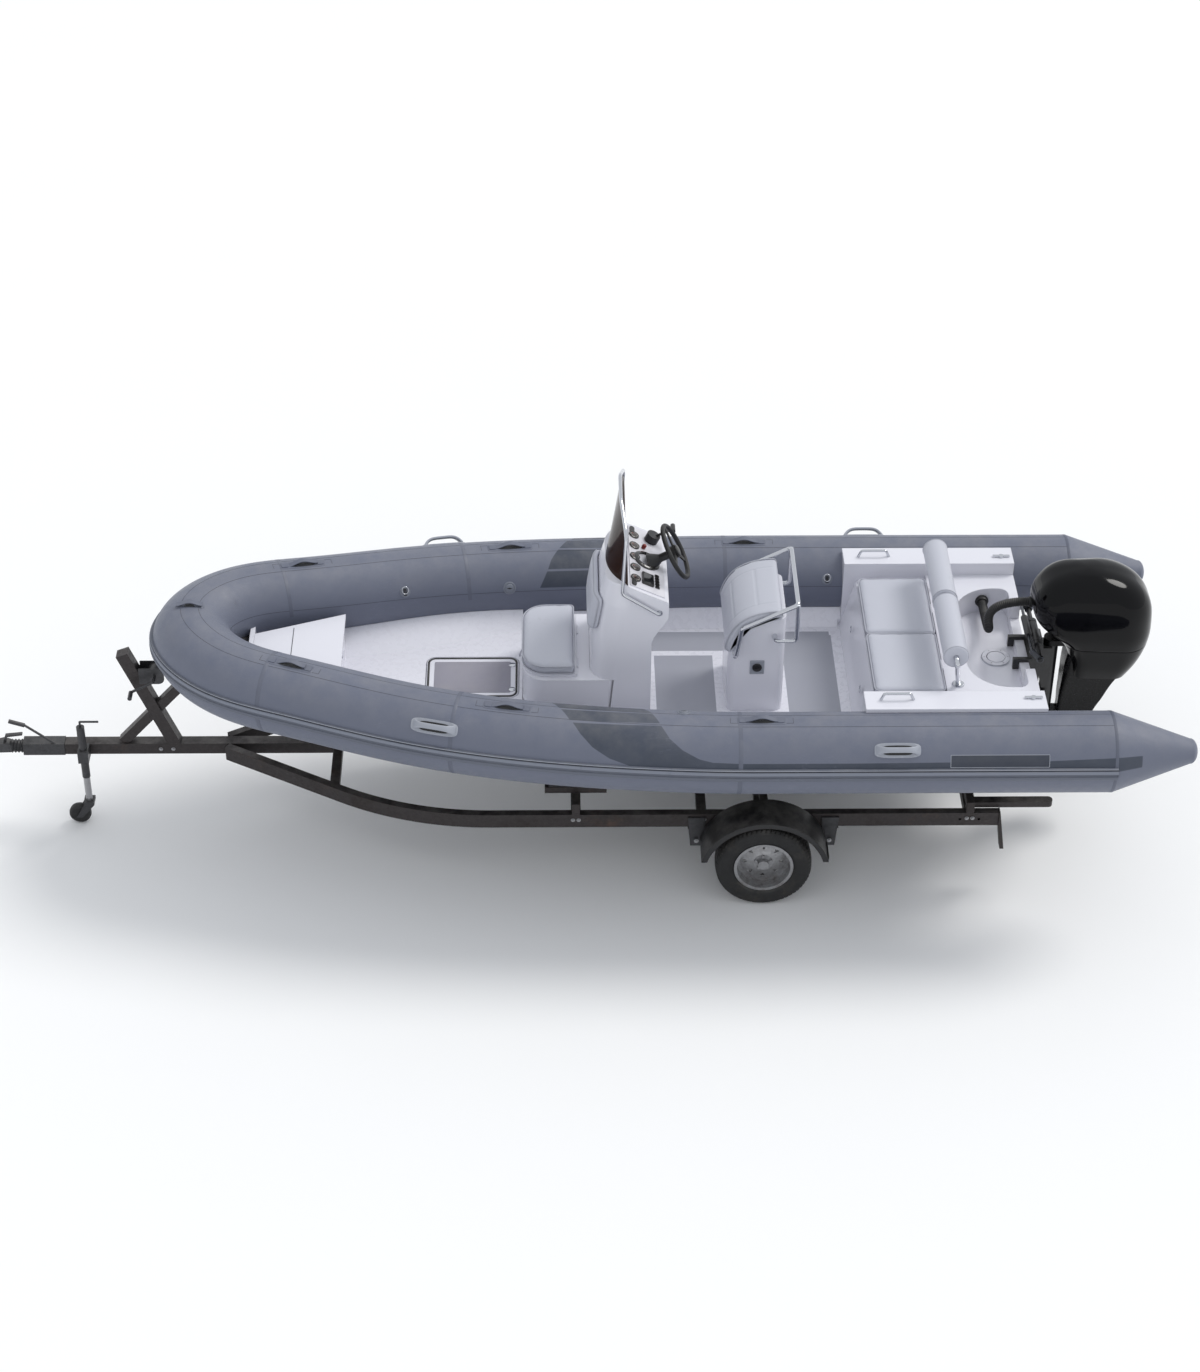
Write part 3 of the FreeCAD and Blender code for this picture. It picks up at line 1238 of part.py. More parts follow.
def engine_clamp():
    """The two clamp plates over the transom, with the tilt tube through them."""
    x_in = HULL_TRANSOM_X + TRANSOM_THICK + SEAT_GAP
    x_out = HULL_TRANSOM_X - SEAT_GAP
    jaw = x_in + CLAMP_JAW_THICK
    profile = [(jaw, CLAMP_JAW_LOW_Z), (jaw, CLAMP_TOP_Z), (CLAMP_NECK_X1, CLAMP_TOP_Z), (CLAMP_NECK_X1, TILT_Z),
               (CLAMP_NECK_X0, TILT_Z), (CLAMP_NECK_X0, CLAMP_LOW_Z), (x_out, CLAMP_LOW_Z), (x_out, SILL_Z + SEAT_GAP),
               (x_in, SILL_Z + SEAT_GAP), (x_in, CLAMP_JAW_LOW_Z)]
    inner = CLAMP_HALF_W - CLAMP_PLATE
    plate = side_prism(profile, inner, CLAMP_HALF_W)
    eye = rod(V(TILT_X, inner, TILT_Z), V(TILT_X, CLAMP_HALF_W, TILT_Z), EYE_R)
    plate = fused(plate, eye)
    tube = rod(V(TILT_X, -TILT_TUBE_HALF_L, TILT_Z), V(TILT_X, TILT_TUBE_HALF_L, TILT_Z), TILT_TUBE_R)
    return fused(plate, mirrored(plate), tube)


def engine_swivel():
    """The bracket that tilts on the tilt tube and carries the steering pivot."""
    half = CLAMP_HALF_W - CLAMP_PLATE - RUN_GAP
    eye = rod(V(TILT_X, -half, TILT_Z), V(TILT_X, half, TILT_Z), EYE_R)
    barrel = Part.makeCylinder(SWIVEL_R, SWIVEL_TOP_Z - SWIVEL_LOW_Z, V(STEER_X, 0, SWIVEL_LOW_Z), AXIS_Z)
    web = side_prism(SWIVEL_WEB, -SWIVEL_WEB_HALF_W, SWIVEL_WEB_HALF_W)
    tube = rod(V(TILT_X, -TILT_TUBE_HALF_L, TILT_Z), V(TILT_X, TILT_TUBE_HALF_L, TILT_Z), TILT_TUBE_R + SEAT_GAP)
    reach = SWIVEL_TOP_Z - SWIVEL_LOW_Z + 2 * CUT_OVERRUN
    shaft = Part.makeCylinder(SHAFT_R + SEAT_GAP, reach, V(STEER_X, 0, SWIVEL_LOW_Z - CUT_OVERRUN), AXIS_Z)
    return fused(eye, barrel, web).cut([tube, shaft])


def steering_rod():
    """The fixed rod of the steering cylinder with its brackets on the tilt tube."""
    centre = V(RAM_X, 0, RAM_Z)
    pivot = V(TILT_X, 0, TILT_Z)
    thick = AXIS_Y * RAM_END_THICK
    end = AXIS_Y * RAM_END_Y
    link = bar(pivot, centre, RAM_END_THICK, RAM_END_W)
    link.translate(end + thick / 2)
    plate = fused(rod(pivot + end, pivot + end + thick, RAM_END_EYE_R),
                  rod(centre + end, centre + end + thick, RAM_END_W / 2), link)
    shaft = rod(centre - end, centre + end, RAM_ROD_R)
    tube = rod(pivot - end * 2, pivot + end * 2, TILT_TUBE_R + SEAT_GAP)
    return fused(plate, mirrored(plate), shaft).cut(tube)


def steering_ram():
    """The cylinder body that slides along the fixed rod."""
    centre = V(RAM_X, 0, RAM_Z)
    end = AXIS_Y * RAM_HALF_L
    return rod(centre - end, centre + end, RAM_R).cut(rod(centre - end * 2, centre + end * 2, RAM_ROD_R + SEAT_GAP))


def engine_level(z, x0, x1, fore_half, aft_half, corner_shares):
    """A level outline of the engine, rounded at its four corners."""
    points = [V(x0, fore_half, z), V(x1, aft_half, z), V(x1, -aft_half, z), V(x0, -fore_half, z)]
    fore, aft = (share * min(fore_half, aft_half) for share in corner_shares)
    return outline(points, [fore, aft, aft, fore])


def leg_form(grow):
    """Midsection with its two steering arms and the shaft between them."""
    levels = []
    for z, x0, x1, half in LEG_LEVELS:
        levels.append(engine_level(z, x0 + grow, x1 - grow, half + grow, half * LEG_AFT_SHARE + grow,
                                   LEG_CORNER_SHARES))
    pieces = [Part.makeLoft(levels, True, False)]
    for (z0, z1), aft_x in ((ARM_UPPER_Z, ARM_AFT_X), (ARM_LOWER_Z, ARM_LOWER_AFT_X)):
        half = ARM_HALF_W + grow
        pieces.append(block(STEER_X, aft_x, -half, half, z0 - grow, z1 + grow))
        pieces.append(Part.makeCylinder(half, z1 - z0 + 2 * grow, V(STEER_X, 0, z0 - grow), AXIS_Z))
    low = ARM_LOWER_Z[0]
    pieces.append(Part.makeCylinder(SHAFT_R, ARM_UPPER_Z[1] - low, V(STEER_X, 0, low), AXIS_Z))
    return fused(*pieces)


def engine_cowl():
    """The engine's cowl, lofted through rounded level sections, closed round the leg's head."""
    sections = []
    for z, x0, x1, half in COWL_LEVELS:
        sections.append(engine_level(z, x0, x1, half * COWL_FORE_SHARE, half, COWL_CORNER_SHARES))
    boss = rod(HOSE_POINTS[-1] - AXIS_X * SEAT_GAP, HOSE_POINTS[-1] - AXIS_X * (2 * HOSE_R), HOSE_R)
    return fused(Part.makeLoft(sections, True, False), boss).cut(leg_form(SEAT_GAP))


def engine_leg():
    """Midsection, anti-ventilation plate, strut, torpedo and skeg."""
    (x0, half0), (x1, half1) = PLATE_LEVEL
    plate = plan_prism([(x0, half0), (x1, half1), (x1, -half1), (x0, -half0)], PLATE_Z - PLATE_LEVEL_THICK,
                       PLATE_Z, [PLATE_LEVEL_R] * 4)
    length = GEARCASE_X0 - GEARCASE_X1
    profile = [(0, 0)] + list(GEARCASE_NOSE) + [(length, PROP_HUB_R), (length, 0)]
    torpedo = spun(profile, V(GEARCASE_X0, 0, PROP_Z), V(-1, 0, 0))
    low = PLATE_Z - PLATE_LEVEL_THICK / 2
    strut = side_prism([(STRUT_TOP[0], low), (STRUT_TOP[1], low), (STRUT_LOW[1], PROP_Z), (STRUT_LOW[0], PROP_Z)],
                       -STRUT_HALF_W, STRUT_HALF_W)
    skeg = side_prism([(SKEG_TOP[0], PROP_Z), (SKEG_LOW[0], SKEG_LOW_Z), (SKEG_LOW[1], SKEG_LOW_Z),
                       (SKEG_TOP[1], PROP_Z)], -SKEG_HALF_W, SKEG_HALF_W, [0] + list(SKEG_RADII) + [0])
    z, fore_x, aft_x, half = LEG_LEVELS[0]
    foot = block(fore_x - PLATE_LEVEL_THICK, aft_x + PLATE_LEVEL_THICK, -half * LEG_AFT_SHARE,
                 half * LEG_AFT_SHARE, z + PLATE_LEVEL_THICK, PLATE_Z - PLATE_LEVEL_THICK / 2)
    return fused(leg_form(0), foot, plate, strut, torpedo, skeg, propeller_shaft(0))


def propeller_shaft(grow):
    """The shaft out of the torpedo through the propeller."""
    reach = 2 * PROP_GAP + PROP_L
    return rod(V(GEARCASE_X1, 0, PROP_Z), V(GEARCASE_X1 - reach, 0, PROP_Z), PROP_SHAFT_R + grow)


def propeller():
    """Three raked blades on a hub."""
    x0 = GEARCASE_X1 - PROP_GAP
    hub = Part.makeCone(PROP_HUB_R, PROP_HUB_R * PROP_HUB_TAPER, PROP_L, V(x0, 0, PROP_Z), V(-1, 0, 0))
    blades = []
    for i in range(PROP_BLADES):
        curve = Part.BSplineCurve()
        curve.interpolate([V(0, across * PROP_R, out * PROP_R) for across, out in BLADE_SHARES], PeriodicFlag=True)
        blade = Part.Face(Part.Wire(curve.toShape())).extrude(V(BLADE_THICK, 0, 0))
        blade.rotate(V(0, 0, 0), AXIS_Z, BLADE_TURN_DEG)
        blade.rotate(V(0, 0, 0), AXIS_X, i * 360 / PROP_BLADES)
        blade.translate(V(x0 - PROP_L / 2, 0, PROP_Z))
        blades.append(blade)
    return fused(hub, *blades).cut(propeller_shaft(SEAT_GAP))


def rigging_hose():
    """The hose that carries cables from the engine well to the cowl."""
    points = list(HOSE_POINTS)
    bends = []
    for i in range(1, len(points) - 1):
        before = points[i - 1] - points[i]
        after = points[i + 1] - points[i]
        half_turn = (math.pi - before.getAngle(after)) / 2
        bends.append(HOSE_BEND_SHARE * min(before.Length, after.Length) / math.tan(half_turn))
    print("hose bend radii", [round(bend, 1) for bend in bends])
    return bent_tube(points, bends, HOSE_R)


def rail_path():
    """Centreline of a side rail, with its bend towards the drawbar."""
    y = RAIL_OUT_Y - RAIL_W / 2
    z = FRAME_TOP_Z - RAIL_H / 2
    start = V(RAIL_AFT_X, y, z)
    nose = V(RAIL_NOSE_X, RAIL_NOSE_Y, z)
    first, middle, last = corner_arc(start, V(RAIL_KNEE_X, y, z), nose, RAIL_BEND_R_PLAN)
    return Part.Wire([Part.LineSegment(start, first).toShape(), Part.Arc(first, middle, last).toShape(),
                      Part.LineSegment(last, nose).toShape()]), start


def rail_form(inset):
    """A side rail's outer or inner box form."""
    path, start = rail_path()
    half_w = RAIL_W / 2 - inset
    half_h = RAIL_H / 2 - inset
    section = Part.makePolygon([start + V(0, sy * half_w, sz * half_h)
                                for sy, sz in ((1, 1), (-1, 1), (-1, -1), (1, -1), (1, 1))])
    return path.makePipeShell([section], True, True)


def side_rails():
    """The two box-section rails, bent inwards to the drawbar."""
    side = DRAWBAR_W / 2 + SEAT_GAP
    clear = block(RAIL_KNEE_X, RAIL_NOSE_X + 2 * RAIL_W, -side, side, FRAME_TOP_Z - 2 * RAIL_H, 0)
    z = FRAME_TOP_Z - RAIL_H / 2
    holes = [rod(V(x, RAIL_OUT_Y - 2 * RAIL_W, z), V(x, RAIL_OUT_Y + RAIL_W, z), RAIL_HOLE_R) for x in RAIL_HOLES_X]
    rail = rail_form(0).cut(rail_form(RAIL_WALL)).cut([clear] + holes)
    return both(rail)


def drawbar():
    """The square bar from the cross-member to the coupling."""
    z = FRAME_TOP_Z
    half = DRAWBAR_W / 2
    wall = RAIL_WALL
    outer = block(DRAWBAR_AFT_X, DRAWBAR_FORE_X, -half, half, z - DRAWBAR_W, z)
    inner = block(DRAWBAR_AFT_X - CUT_OVERRUN, DRAWBAR_FORE_X + CUT_OVERRUN, wall - half, half - wall,
                  z - DRAWBAR_W + wall, z - wall)
    return outer.cut(inner)


def cross_members():
    """Beams between the side rails, and the posts and channels that carry the bunks."""
    pieces = []
    rails = [rail_form(-SEAT_GAP), mirrored(rail_form(-SEAT_GAP))]
    for x in CROSS_X:
        half = RAIL_OUT_Y - RAIL_W / 2
        beam = block(x - CROSS_W / 2, x + CROSS_W / 2, -half, half, FRAME_TOP_Z - CROSS_W, FRAME_TOP_Z)
        middle = max(beam.cut(rails).Solids, key=lambda solid: solid.BoundBox.YMin < 0 < solid.BoundBox.YMax)
        pieces.append(middle)
    return pieces


def bunk_posts():
    """Short posts on the rails with an arm and a channel under each bunk."""
    pieces = []
    half = SUPPORT_POST_W / 2
    y = RAIL_OUT_Y - RAIL_W / 2
    for x in POST_X:
        post = block(x - half, x + half, y - half, y + half, FRAME_TOP_Z + SEAT_GAP, CHANNEL_LOW_Z)
        arm = block(x - half, x + half, SUPPORT_IN_Y, y, ARM_LOW_Z, CHANNEL_LOW_Z)
        channel = block(x - CHANNEL_HALF_L, x + CHANNEL_HALF_L, SUPPORT_IN_Y, SUPPORT_OUT_Y, CHANNEL_LOW_Z,
                        BUNK_LOW_Z)
        pieces += both(fused(post, arm, channel))
    skid = plan_prism([(SKID_X0, SKID_Y - SKID_W / 2), (SKID_X1, SKID_Y - SKID_W / 2),
                       (SKID_X1, SKID_Y + SKID_W / 2), (SKID_X0, SKID_Y + SKID_W / 2)],
                      SKID_TOP_Z - SKID_THICK, SKID_TOP_Z, [0, SKID_TIP_R, SKID_TIP_R, 0])
    post = pieces[-2]
    pieces[-2:] = both(fused(post, skid))
    return pieces


def bunks(hull_form_shape):
    """The two carpeted planks the hull rests on."""
    plank = block(BUNK_X0, BUNK_X1, BUNK_IN_Y, BUNK_OUT_Y, BUNK_LOW_Z + SEAT_GAP, 0)
    clear = hull_form_shape.copy()
    clear.translate(V(0, 0, -SEAT_GAP))
    low = min(plank.cut(clear).Solids, key=lambda solid: solid.CenterOfMass.z)
    return both(low)


def keel_rollers():
    """Rollers under the keel, each between two cheeks on its beam."""
    pieces = []
    z = HULL_STATIONS[0][3] - SEAT_GAP - ROLLER_R
    for x in ROLLER_X:
        roller = rod(V(x, -ROLLER_HALF_L, z), V(x, ROLLER_HALF_L, z), ROLLER_R)
        end = ROLLER_HALF_L + ROLLER_CHEEK
        pin = rod(V(x, -end, z), V(x, end, z), ROLLER_PIN_R)
        half = ROLLER_CHEEK_HALF_W
        cheek = block(x - half, x + half, ROLLER_HALF_L, end, FRAME_TOP_Z + SEAT_GAP, z + ROLLER_PIN_R)
        pieces.append(fused(roller, pin, cheek, mirrored(cheek)))
    return pieces


def tyre(side):
    """A rounded road tyre."""
    w = TYRE_HALF_W
    inner = [(-w * share, TYRE_R - drop) for share, drop in TYRE_SECTION]
    outer = [(w * share, TYRE_R - drop) for share, drop in reversed(TYRE_SECTION)]
    return spun(inner + [(0, TYRE_R)] + outer, V(WHEEL_X, side * TYRE_CENTRE_Y, AXLE_Z), AXIS_Y)


def rim(side):
    """The steel wheel with its windows, hub cap and nuts."""
    out = AXIS_Y * side
    centre = V(WHEEL_X, side * TYRE_CENTRE_Y, AXLE_Z)
    w = RIM_HALF_W
    sheet = RIM_R - SEAT_GAP
    under = sheet - RIM_SHEET
    barrel = spun([(-w, under), (-w, RIM_LIP_R), (RIM_FLANGE - w, sheet), (w - RIM_FLANGE, sheet),
                   (w, RIM_LIP_R), (w, under)], centre, out)
    d = DISC_OUT
    dish = d - DISC_DISH
    disc = spun([(d, 0), (d + DISC_THICK, 0), (d + DISC_THICK, HUB_R), (dish, under - DISC_SHOULDER), (dish, under + 1),
                 (dish - DISC_THICK, under + 1), (dish - DISC_THICK, under - DISC_SHOULDER - DISC_EDGE), (d, HUB_R)],
                centre, out)
    pieces = [barrel, disc, Part.makeCylinder(HUB_CAP_R, HUB_CAP_L, centre + out * d, out)]
    for i in range(NUTS):
        angle = 2 * math.pi * i / NUTS
        ray = V(math.sin(angle), 0, math.cos(angle))
        pieces.append(Part.makeCylinder(NUT_R, NUT_H + DISC_THICK, centre + ray * NUT_PITCH_R + out * d, out))
    wheel = fused(*pieces)
    tools = []
    for i in range(WINDOWS):
        angle = 2 * math.pi * i / WINDOWS
        ray = V(math.cos(angle), 0, math.sin(angle))
        across = out.cross(ray) * WINDOW_HALF_W
        points = [centre + ray * WINDOW_OUT_R + across, centre + ray * WINDOW_OUT_R - across, centre + ray * WINDOW_IN_R]
        points = [p - out * w for p in points]
        tools.append(Part.Face(Part.makePolygon(points + points[:1])).extrude(out * (2 * w)))
    return wheel.cut(tools)


def axle():
    """The square axle beam with round stubs."""
    half = AXLE_W / 2
    beam = block(WHEEL_X - half, WHEEL_X + half, -AXLE_END_Y, AXLE_END_Y, AXLE_Z - half, AXLE_Z + half)
    end = TYRE_CENTRE_Y + DISC_OUT - SEAT_GAP
    return fused(beam, rod(V(WHEEL_X, -end, AXLE_Z), V(WHEEL_X, end, AXLE_Z), STUB_R))


def leaf(half, z):
    """One curved leaf of a spring."""
    y = RAIL_OUT_Y - RAIL_W / 2 - SPRING_W / 2
    rise = SPRING_RISE * (half / SPRING_HALF_L) ** 2
    line = [V(WHEEL_X - half, y, z + rise), V(WHEEL_X, y, z), V(WHEEL_X + half, y, z + rise)]
    lift = AXIS_Z * SPRING_LEAF
    low = Part.Arc(*line).toShape()
    high = Part.Arc(*[p + lift for p in line]).toShape()
    ends = [Part.LineSegment(p, p + lift).toShape() for p in (line[0], line[2])]
    return Part.Face(Part.Wire(Part.sortEdges([low, high] + ends)[0])).extrude(V(0, SPRING_W, 0))


def leaf_spring():
    """A stack of curved leaves over the axle."""
    leaves = []
    base = AXLE_Z + AXLE_W / 2 + SEAT_GAP
    for i in range(SPRING_LEAVES):
        share = 1 - SPRING_STEP_SHARE * (SPRING_LEAVES - 1 - i)
        leaves.append(leaf(SPRING_HALF_L * share, base + SPRING_LEAF * i))
    return fused(*leaves)


def hanger(sign):
    """The plates each side of a spring end, with the pin between them."""
    x = WHEEL_X + sign * HANGER_X
    half = HANGER_W / 2
    rail_low = FRAME_TOP_Z - RAIL_H - SEAT_GAP
    mid_y = RAIL_OUT_Y - RAIL_W / 2
    outer = RAIL_OUT_Y + SEAT_GAP
    inner = 2 * mid_y - outer
    low = HANGER_LOW_Z
    tip = half - HANGER_TAPER
    plate = side_prism([(x - half, HANGER_TOP_Z), (x + half, HANGER_TOP_Z), (x + tip, low), (x - tip, low)],
                       outer, FENDER_IN_Y - SEAT_GAP)
    far = side_prism([(x - half, rail_low), (x + half, rail_low), (x + tip, low), (x - tip, low)],
                     inner, inner - HANGER_PLATE)
    roof = block(x - half, x + half, inner - HANGER_PLATE, FENDER_IN_Y - SEAT_GAP, rail_low, rail_low - HANGER_PLATE)
    pin = rod(V(x, inner - HANGER_PLATE, HANGER_PIN_Z), V(x, outer + HANGER_PLATE, HANGER_PIN_Z), HANGER_PIN_R)
    return fused(plate, far, roof, pin)


def springs_and_hangers():
    """Leaf springs and their hangers on both sides."""
    spring = leaf_spring()
    pieces = []
    for sign in (1, -1):
        x = WHEEL_X + sign * HANGER_X
        pin = rod(V(x, 0, HANGER_PIN_Z), V(x, 2 * RAIL_OUT_Y, HANGER_PIN_Z), HANGER_PIN_R + SEAT_GAP)
        spring = spring.cut(pin)
        pieces += both(hanger(sign))
    return both(spring) + pieces


def ring_band(outer_r, inner_r, y0, y1):
    """A flat or deep ring about the wheel axis."""
    band = Part.makeCylinder(outer_r, y1 - y0, V(WHEEL_X, y0, AXLE_Z), AXIS_Y)
    return band.cut(Part.makeCylinder(inner_r, y1 - y0, V(WHEEL_X, y0, AXLE_Z), AXIS_Y))


def fenders():
    """Round mudguards with turned edges, each with a flap behind the wheel."""
    sheet = ring_band(FENDER_R, FENDER_R - FENDER_THICK, FENDER_IN_Y, FENDER_OUT_Y)
    lip = ring_band(FENDER_R, FENDER_R - FENDER_LIP, FENDER_OUT_Y - FENDER_THICK, FENDER_OUT_Y)
    flange = ring_band(FENDER_R, FENDER_R - FENDER_LIP, FENDER_IN_Y, FENDER_IN_Y + FENDER_THICK)
    below = block(WHEEL_X - 2 * FENDER_R, WHEEL_X + 2 * FENDER_R, 0, 2 * FENDER_OUT_Y, FENDER_END_Z,
                  AXLE_Z - 2 * FENDER_R)
    guard = fused(sheet, lip, flange).cut(below)
    drop = FENDER_END_Z - AXLE_Z
    x = WHEEL_X - math.sqrt(FENDER_R ** 2 - drop ** 2)
    flap = block(x - SEAT_GAP, x - SEAT_GAP - FLAP_THICK, FLAP_IN_Y, FLAP_OUT_Y, FENDER_END_Z + FENDER_LIP / 2,
                 FENDER_END_Z - FLAP_H)
    guard = fused(guard, flap.cut(ring_band(FENDER_R, FENDER_LIP, FENDER_IN_Y, FENDER_OUT_Y)),
                  block(x + 2 * FLAP_THICK, x - SEAT_GAP - FLAP_THICK, FLAP_IN_Y, FLAP_OUT_Y, FENDER_END_Z,
                        FENDER_END_Z + FLAP_THICK))
    return both(guard)


def light_brackets():
    """The drop plates on the rail ends that carry the lighting board."""
    x = RAIL_AFT_X - SEAT_GAP
    low = LIGHT_LOW_Z
    profile = [(x, LIGHT_TOP_Z), (x, FRAME_TOP_Z - RAIL_H), (x - LIGHT_SWEEP / 2, low), (x - LIGHT_SWEEP, low),
               (x - LIGHT_PLATE, LIGHT_TOP_Z)]
    return both(side_prism(profile, RAIL_OUT_Y - RAIL_W, LIGHT_OUT_Y))


def jockey_outer():
    """The clamp, outer tube and crank of the jockey stand."""
    height = JOCKEY_TOP_Z - JOCKEY_OUTER_LOW_Z
    base = V(JOCKEY_X, JOCKEY_Y, JOCKEY_OUTER_LOW_Z)
    tube = Part.makeCylinder(JOCKEY_OUTER_R, height, base, AXIS_Z)
    bore = Part.makeCylinder(JOCKEY_LEG_R + SEAT_GAP, height - JOCKEY_CAP, base, AXIS_Z)
    half = JOCKEY_CLAMP_HALF_L
    clamp = block(JOCKEY_X - half, JOCKEY_X + half, DRAWBAR_W / 2 + SEAT_GAP, JOCKEY_Y + JOCKEY_OUTER_R + CUT_OVERRUN / 2,
                  FRAME_TOP_Z - DRAWBAR_W, FRAME_TOP_Z + JOCKEY_CLAMP_RISE)
    top = V(JOCKEY_X, JOCKEY_Y, JOCKEY_TOP_Z)
    crank = fused(rod(top, top + AXIS_Z * (2 * JOCKEY_CAP), JOCKEY_CRANK_R),
                  rod(top + AXIS_Z * (2 * JOCKEY_CAP), top + AXIS_Z * (2 * JOCKEY_CAP) - AXIS_X * JOCKEY_CRANK_L,
                      JOCKEY_CRANK_R))
    return fused(tube, clamp, crank).cut(bore)


def jockey_leg():
    """The sliding inner tube."""
    low = GROUND_Z + 2 * JOCKEY_WHEEL_R + FORK_OVER
    return Part.makeCylinder(JOCKEY_LEG_R, JOCKEY_LEG_TOP_Z - low, V(JOCKEY_X, JOCKEY_Y, low), AXIS_Z)


def jockey_fork():
    """The fork that swivels under the leg."""
    z = GROUND_Z + JOCKEY_WHEEL_R
    top = GROUND_Z + 2 * JOCKEY_WHEEL_R + FORK_OVER - SEAT_GAP
    half = JOCKEY_WHEEL_W / 2 + FORK_CLEAR
    crown = block(JOCKEY_X - FORK_HALF_L, JOCKEY_X + FORK_HALF_L, JOCKEY_Y - half - FORK_PLATE,
                  JOCKEY_Y + half + FORK_PLATE, top - FORK_CROWN_H, top)
    x = JOCKEY_X + JOCKEY_TRAIL
    cheek = side_prism([(JOCKEY_X - FORK_HALF_L, top - FORK_CROWN_H), (JOCKEY_X + FORK_HALF_L, top - FORK_CROWN_H),
                        (x + FORK_END_HALF, z - FORK_END_DROP), (x - FORK_END_HALF, z - FORK_END_DROP)],
                       JOCKEY_Y + half, JOCKEY_Y + half + FORK_PLATE)
    other = cheek.copy()
    other.translate(V(0, -2 * half - FORK_PLATE, 0))
    pin = rod(V(x, JOCKEY_Y - half - FORK_PLATE, z), V(x, JOCKEY_Y + half + FORK_PLATE, z), FORK_PIN_R)
    return fused(crown, cheek, other, pin)


def jockey_wheel():
    """The solid jockey wheel."""
    w = JOCKEY_WHEEL_W / 2
    r = JOCKEY_WHEEL_R
    bore = FORK_PIN_R + SEAT_GAP
    left = [(-w * share, r - drop) for share, drop in JOCKEY_WHEEL_SHARES]
    right = [(w * share, r - drop) for share, drop in reversed(JOCKEY_WHEEL_SHARES[:-1])]
    profile = [(-w, bore)] + left + right + [(w, bore)]
    return spun(profile, V(JOCKEY_X + JOCKEY_TRAIL, JOCKEY_Y, GROUND_Z + r), AXIS_Y)


def coupling():
    """The overrun coupling: sleeve, bellows, ball head with catch, and handbrake lever."""
    z = FRAME_TOP_Z - DRAWBAR_W / 2
    half_w = COUPLING_W / 2
    half_h = COUPLING_H / 2
    sleeve = block(DRAWBAR_FORE_X + SEAT_GAP, COUPLING_SLEEVE_X1, -half_w, half_w, z - half_h, z + half_h)
    fold = (BELLOWS_X1 - COUPLING_SLEEVE_X1) / BELLOWS_FOLDS
    profile = [(0, 0), (0, BELLOWS_R - BELLOWS_FOLD_DEPTH)]
    for i in range(BELLOWS_FOLDS):
        profile.append((fold * (i + 0.5), BELLOWS_R))
        profile.append((fold * (i + 1), BELLOWS_R - BELLOWS_FOLD_DEPTH))
    profile.append((fold * BELLOWS_FOLDS, 0))
    bellows = spun(profile, V(COUPLING_SLEEVE_X1, 0, z), AXIS_X)
    head = side_prism([(x, z + rise) for x, rise in HEAD_PROFILE], -HEAD_HALF_W, HEAD_HALF_W)
    catch = side_prism([(x, z + rise) for x, rise in CATCH_TOP], -CATCH_HALF_W, CATCH_HALF_W)
    centre = V(BALL_X, 0, z - BALL_DROP)
    ball = Part.makeSphere(BALL_R, centre)
    mouth = Part.makeCylinder(BALL_R, COUPLING_H, centre - AXIS_Z * COUPLING_H, AXIS_Z)
    lever = fused(rod(LEVER_FOOT, LEVER_TOP, BRAKE_LEVER_R), rod(LEVER_TOP, LEVER_GRIP, BRAKE_GRIP_R))
    return fused(sleeve, bellows, head, catch, lever).cut([ball, mouth])


def winch_post():
    """The crossed post and brace of the winch stand with the bow stop."""
    post = bar(POST_FOOT - AXIS_Z * POST_W, POST_HEAD, POST_W, POST_W)
    brace_w, brace_h = (share * POST_W for share in BRACE_SHARES)
    brace = bar(BRACE_FOOT, BRACE_HEAD, brace_w, brace_h)
    stop = block(STOP_X0, STOP_X1 + POST_W, -STOP_HALF_W, STOP_HALF_W, STOP_LOW_Z, STOP_TOP_Z)
    fork = stop.cut(side_prism([(STOP_X1, STOP_LOW_Z - CUT_OVERRUN), (POST_HEAD.x, STOP_LOW_Z - CUT_OVERRUN),
                                (POST_HEAD.x, STOP_TOP_Z + CUT_OVERRUN)], -POST_W, POST_W))
    clear = block(DRAWBAR_AFT_X, DRAWBAR_FORE_X, -2 * POST_W, 2 * POST_W, FRAME_TOP_Z + SEAT_GAP,
                  FRAME_TOP_Z - 4 * POST_W)
    return fused(post, brace, fork).cut(clear)


def winch(post):
    """The winch drum between its cheeks, with its crank."""
    centre = V(WINCH_X, 0, WINCH_Z)
    inner = POST_W / 2 + SEAT_GAP
    cheek = side_prism(WINCH_CHEEK_POINTS, inner, inner + WINCH_CHEEK,
                       [WINCH_CHEEK_R, WINCH_CHEEK_R, WINCH_CHEEK, WINCH_CHEEK])
    drum = rod(centre - AXIS_Y * inner, centre + AXIS_Y * inner, WINCH_R)
    arm_y = AXIS_Y * CRANK_OUT
    shaft = rod(centre, centre + arm_y, WINCH_SHAFT_R)
    arm = rod(centre + arm_y, centre + arm_y + CRANK_REACH, WINCH_SHAFT_R)
    grip = rod(centre + arm_y + CRANK_REACH, centre + arm_y + CRANK_REACH + AXIS_Y * CRANK_GRIP_L, CRANK_GRIP_R)
    return fused(drum, cheek, mirrored(cheek), shaft, arm, grip).cut(post)


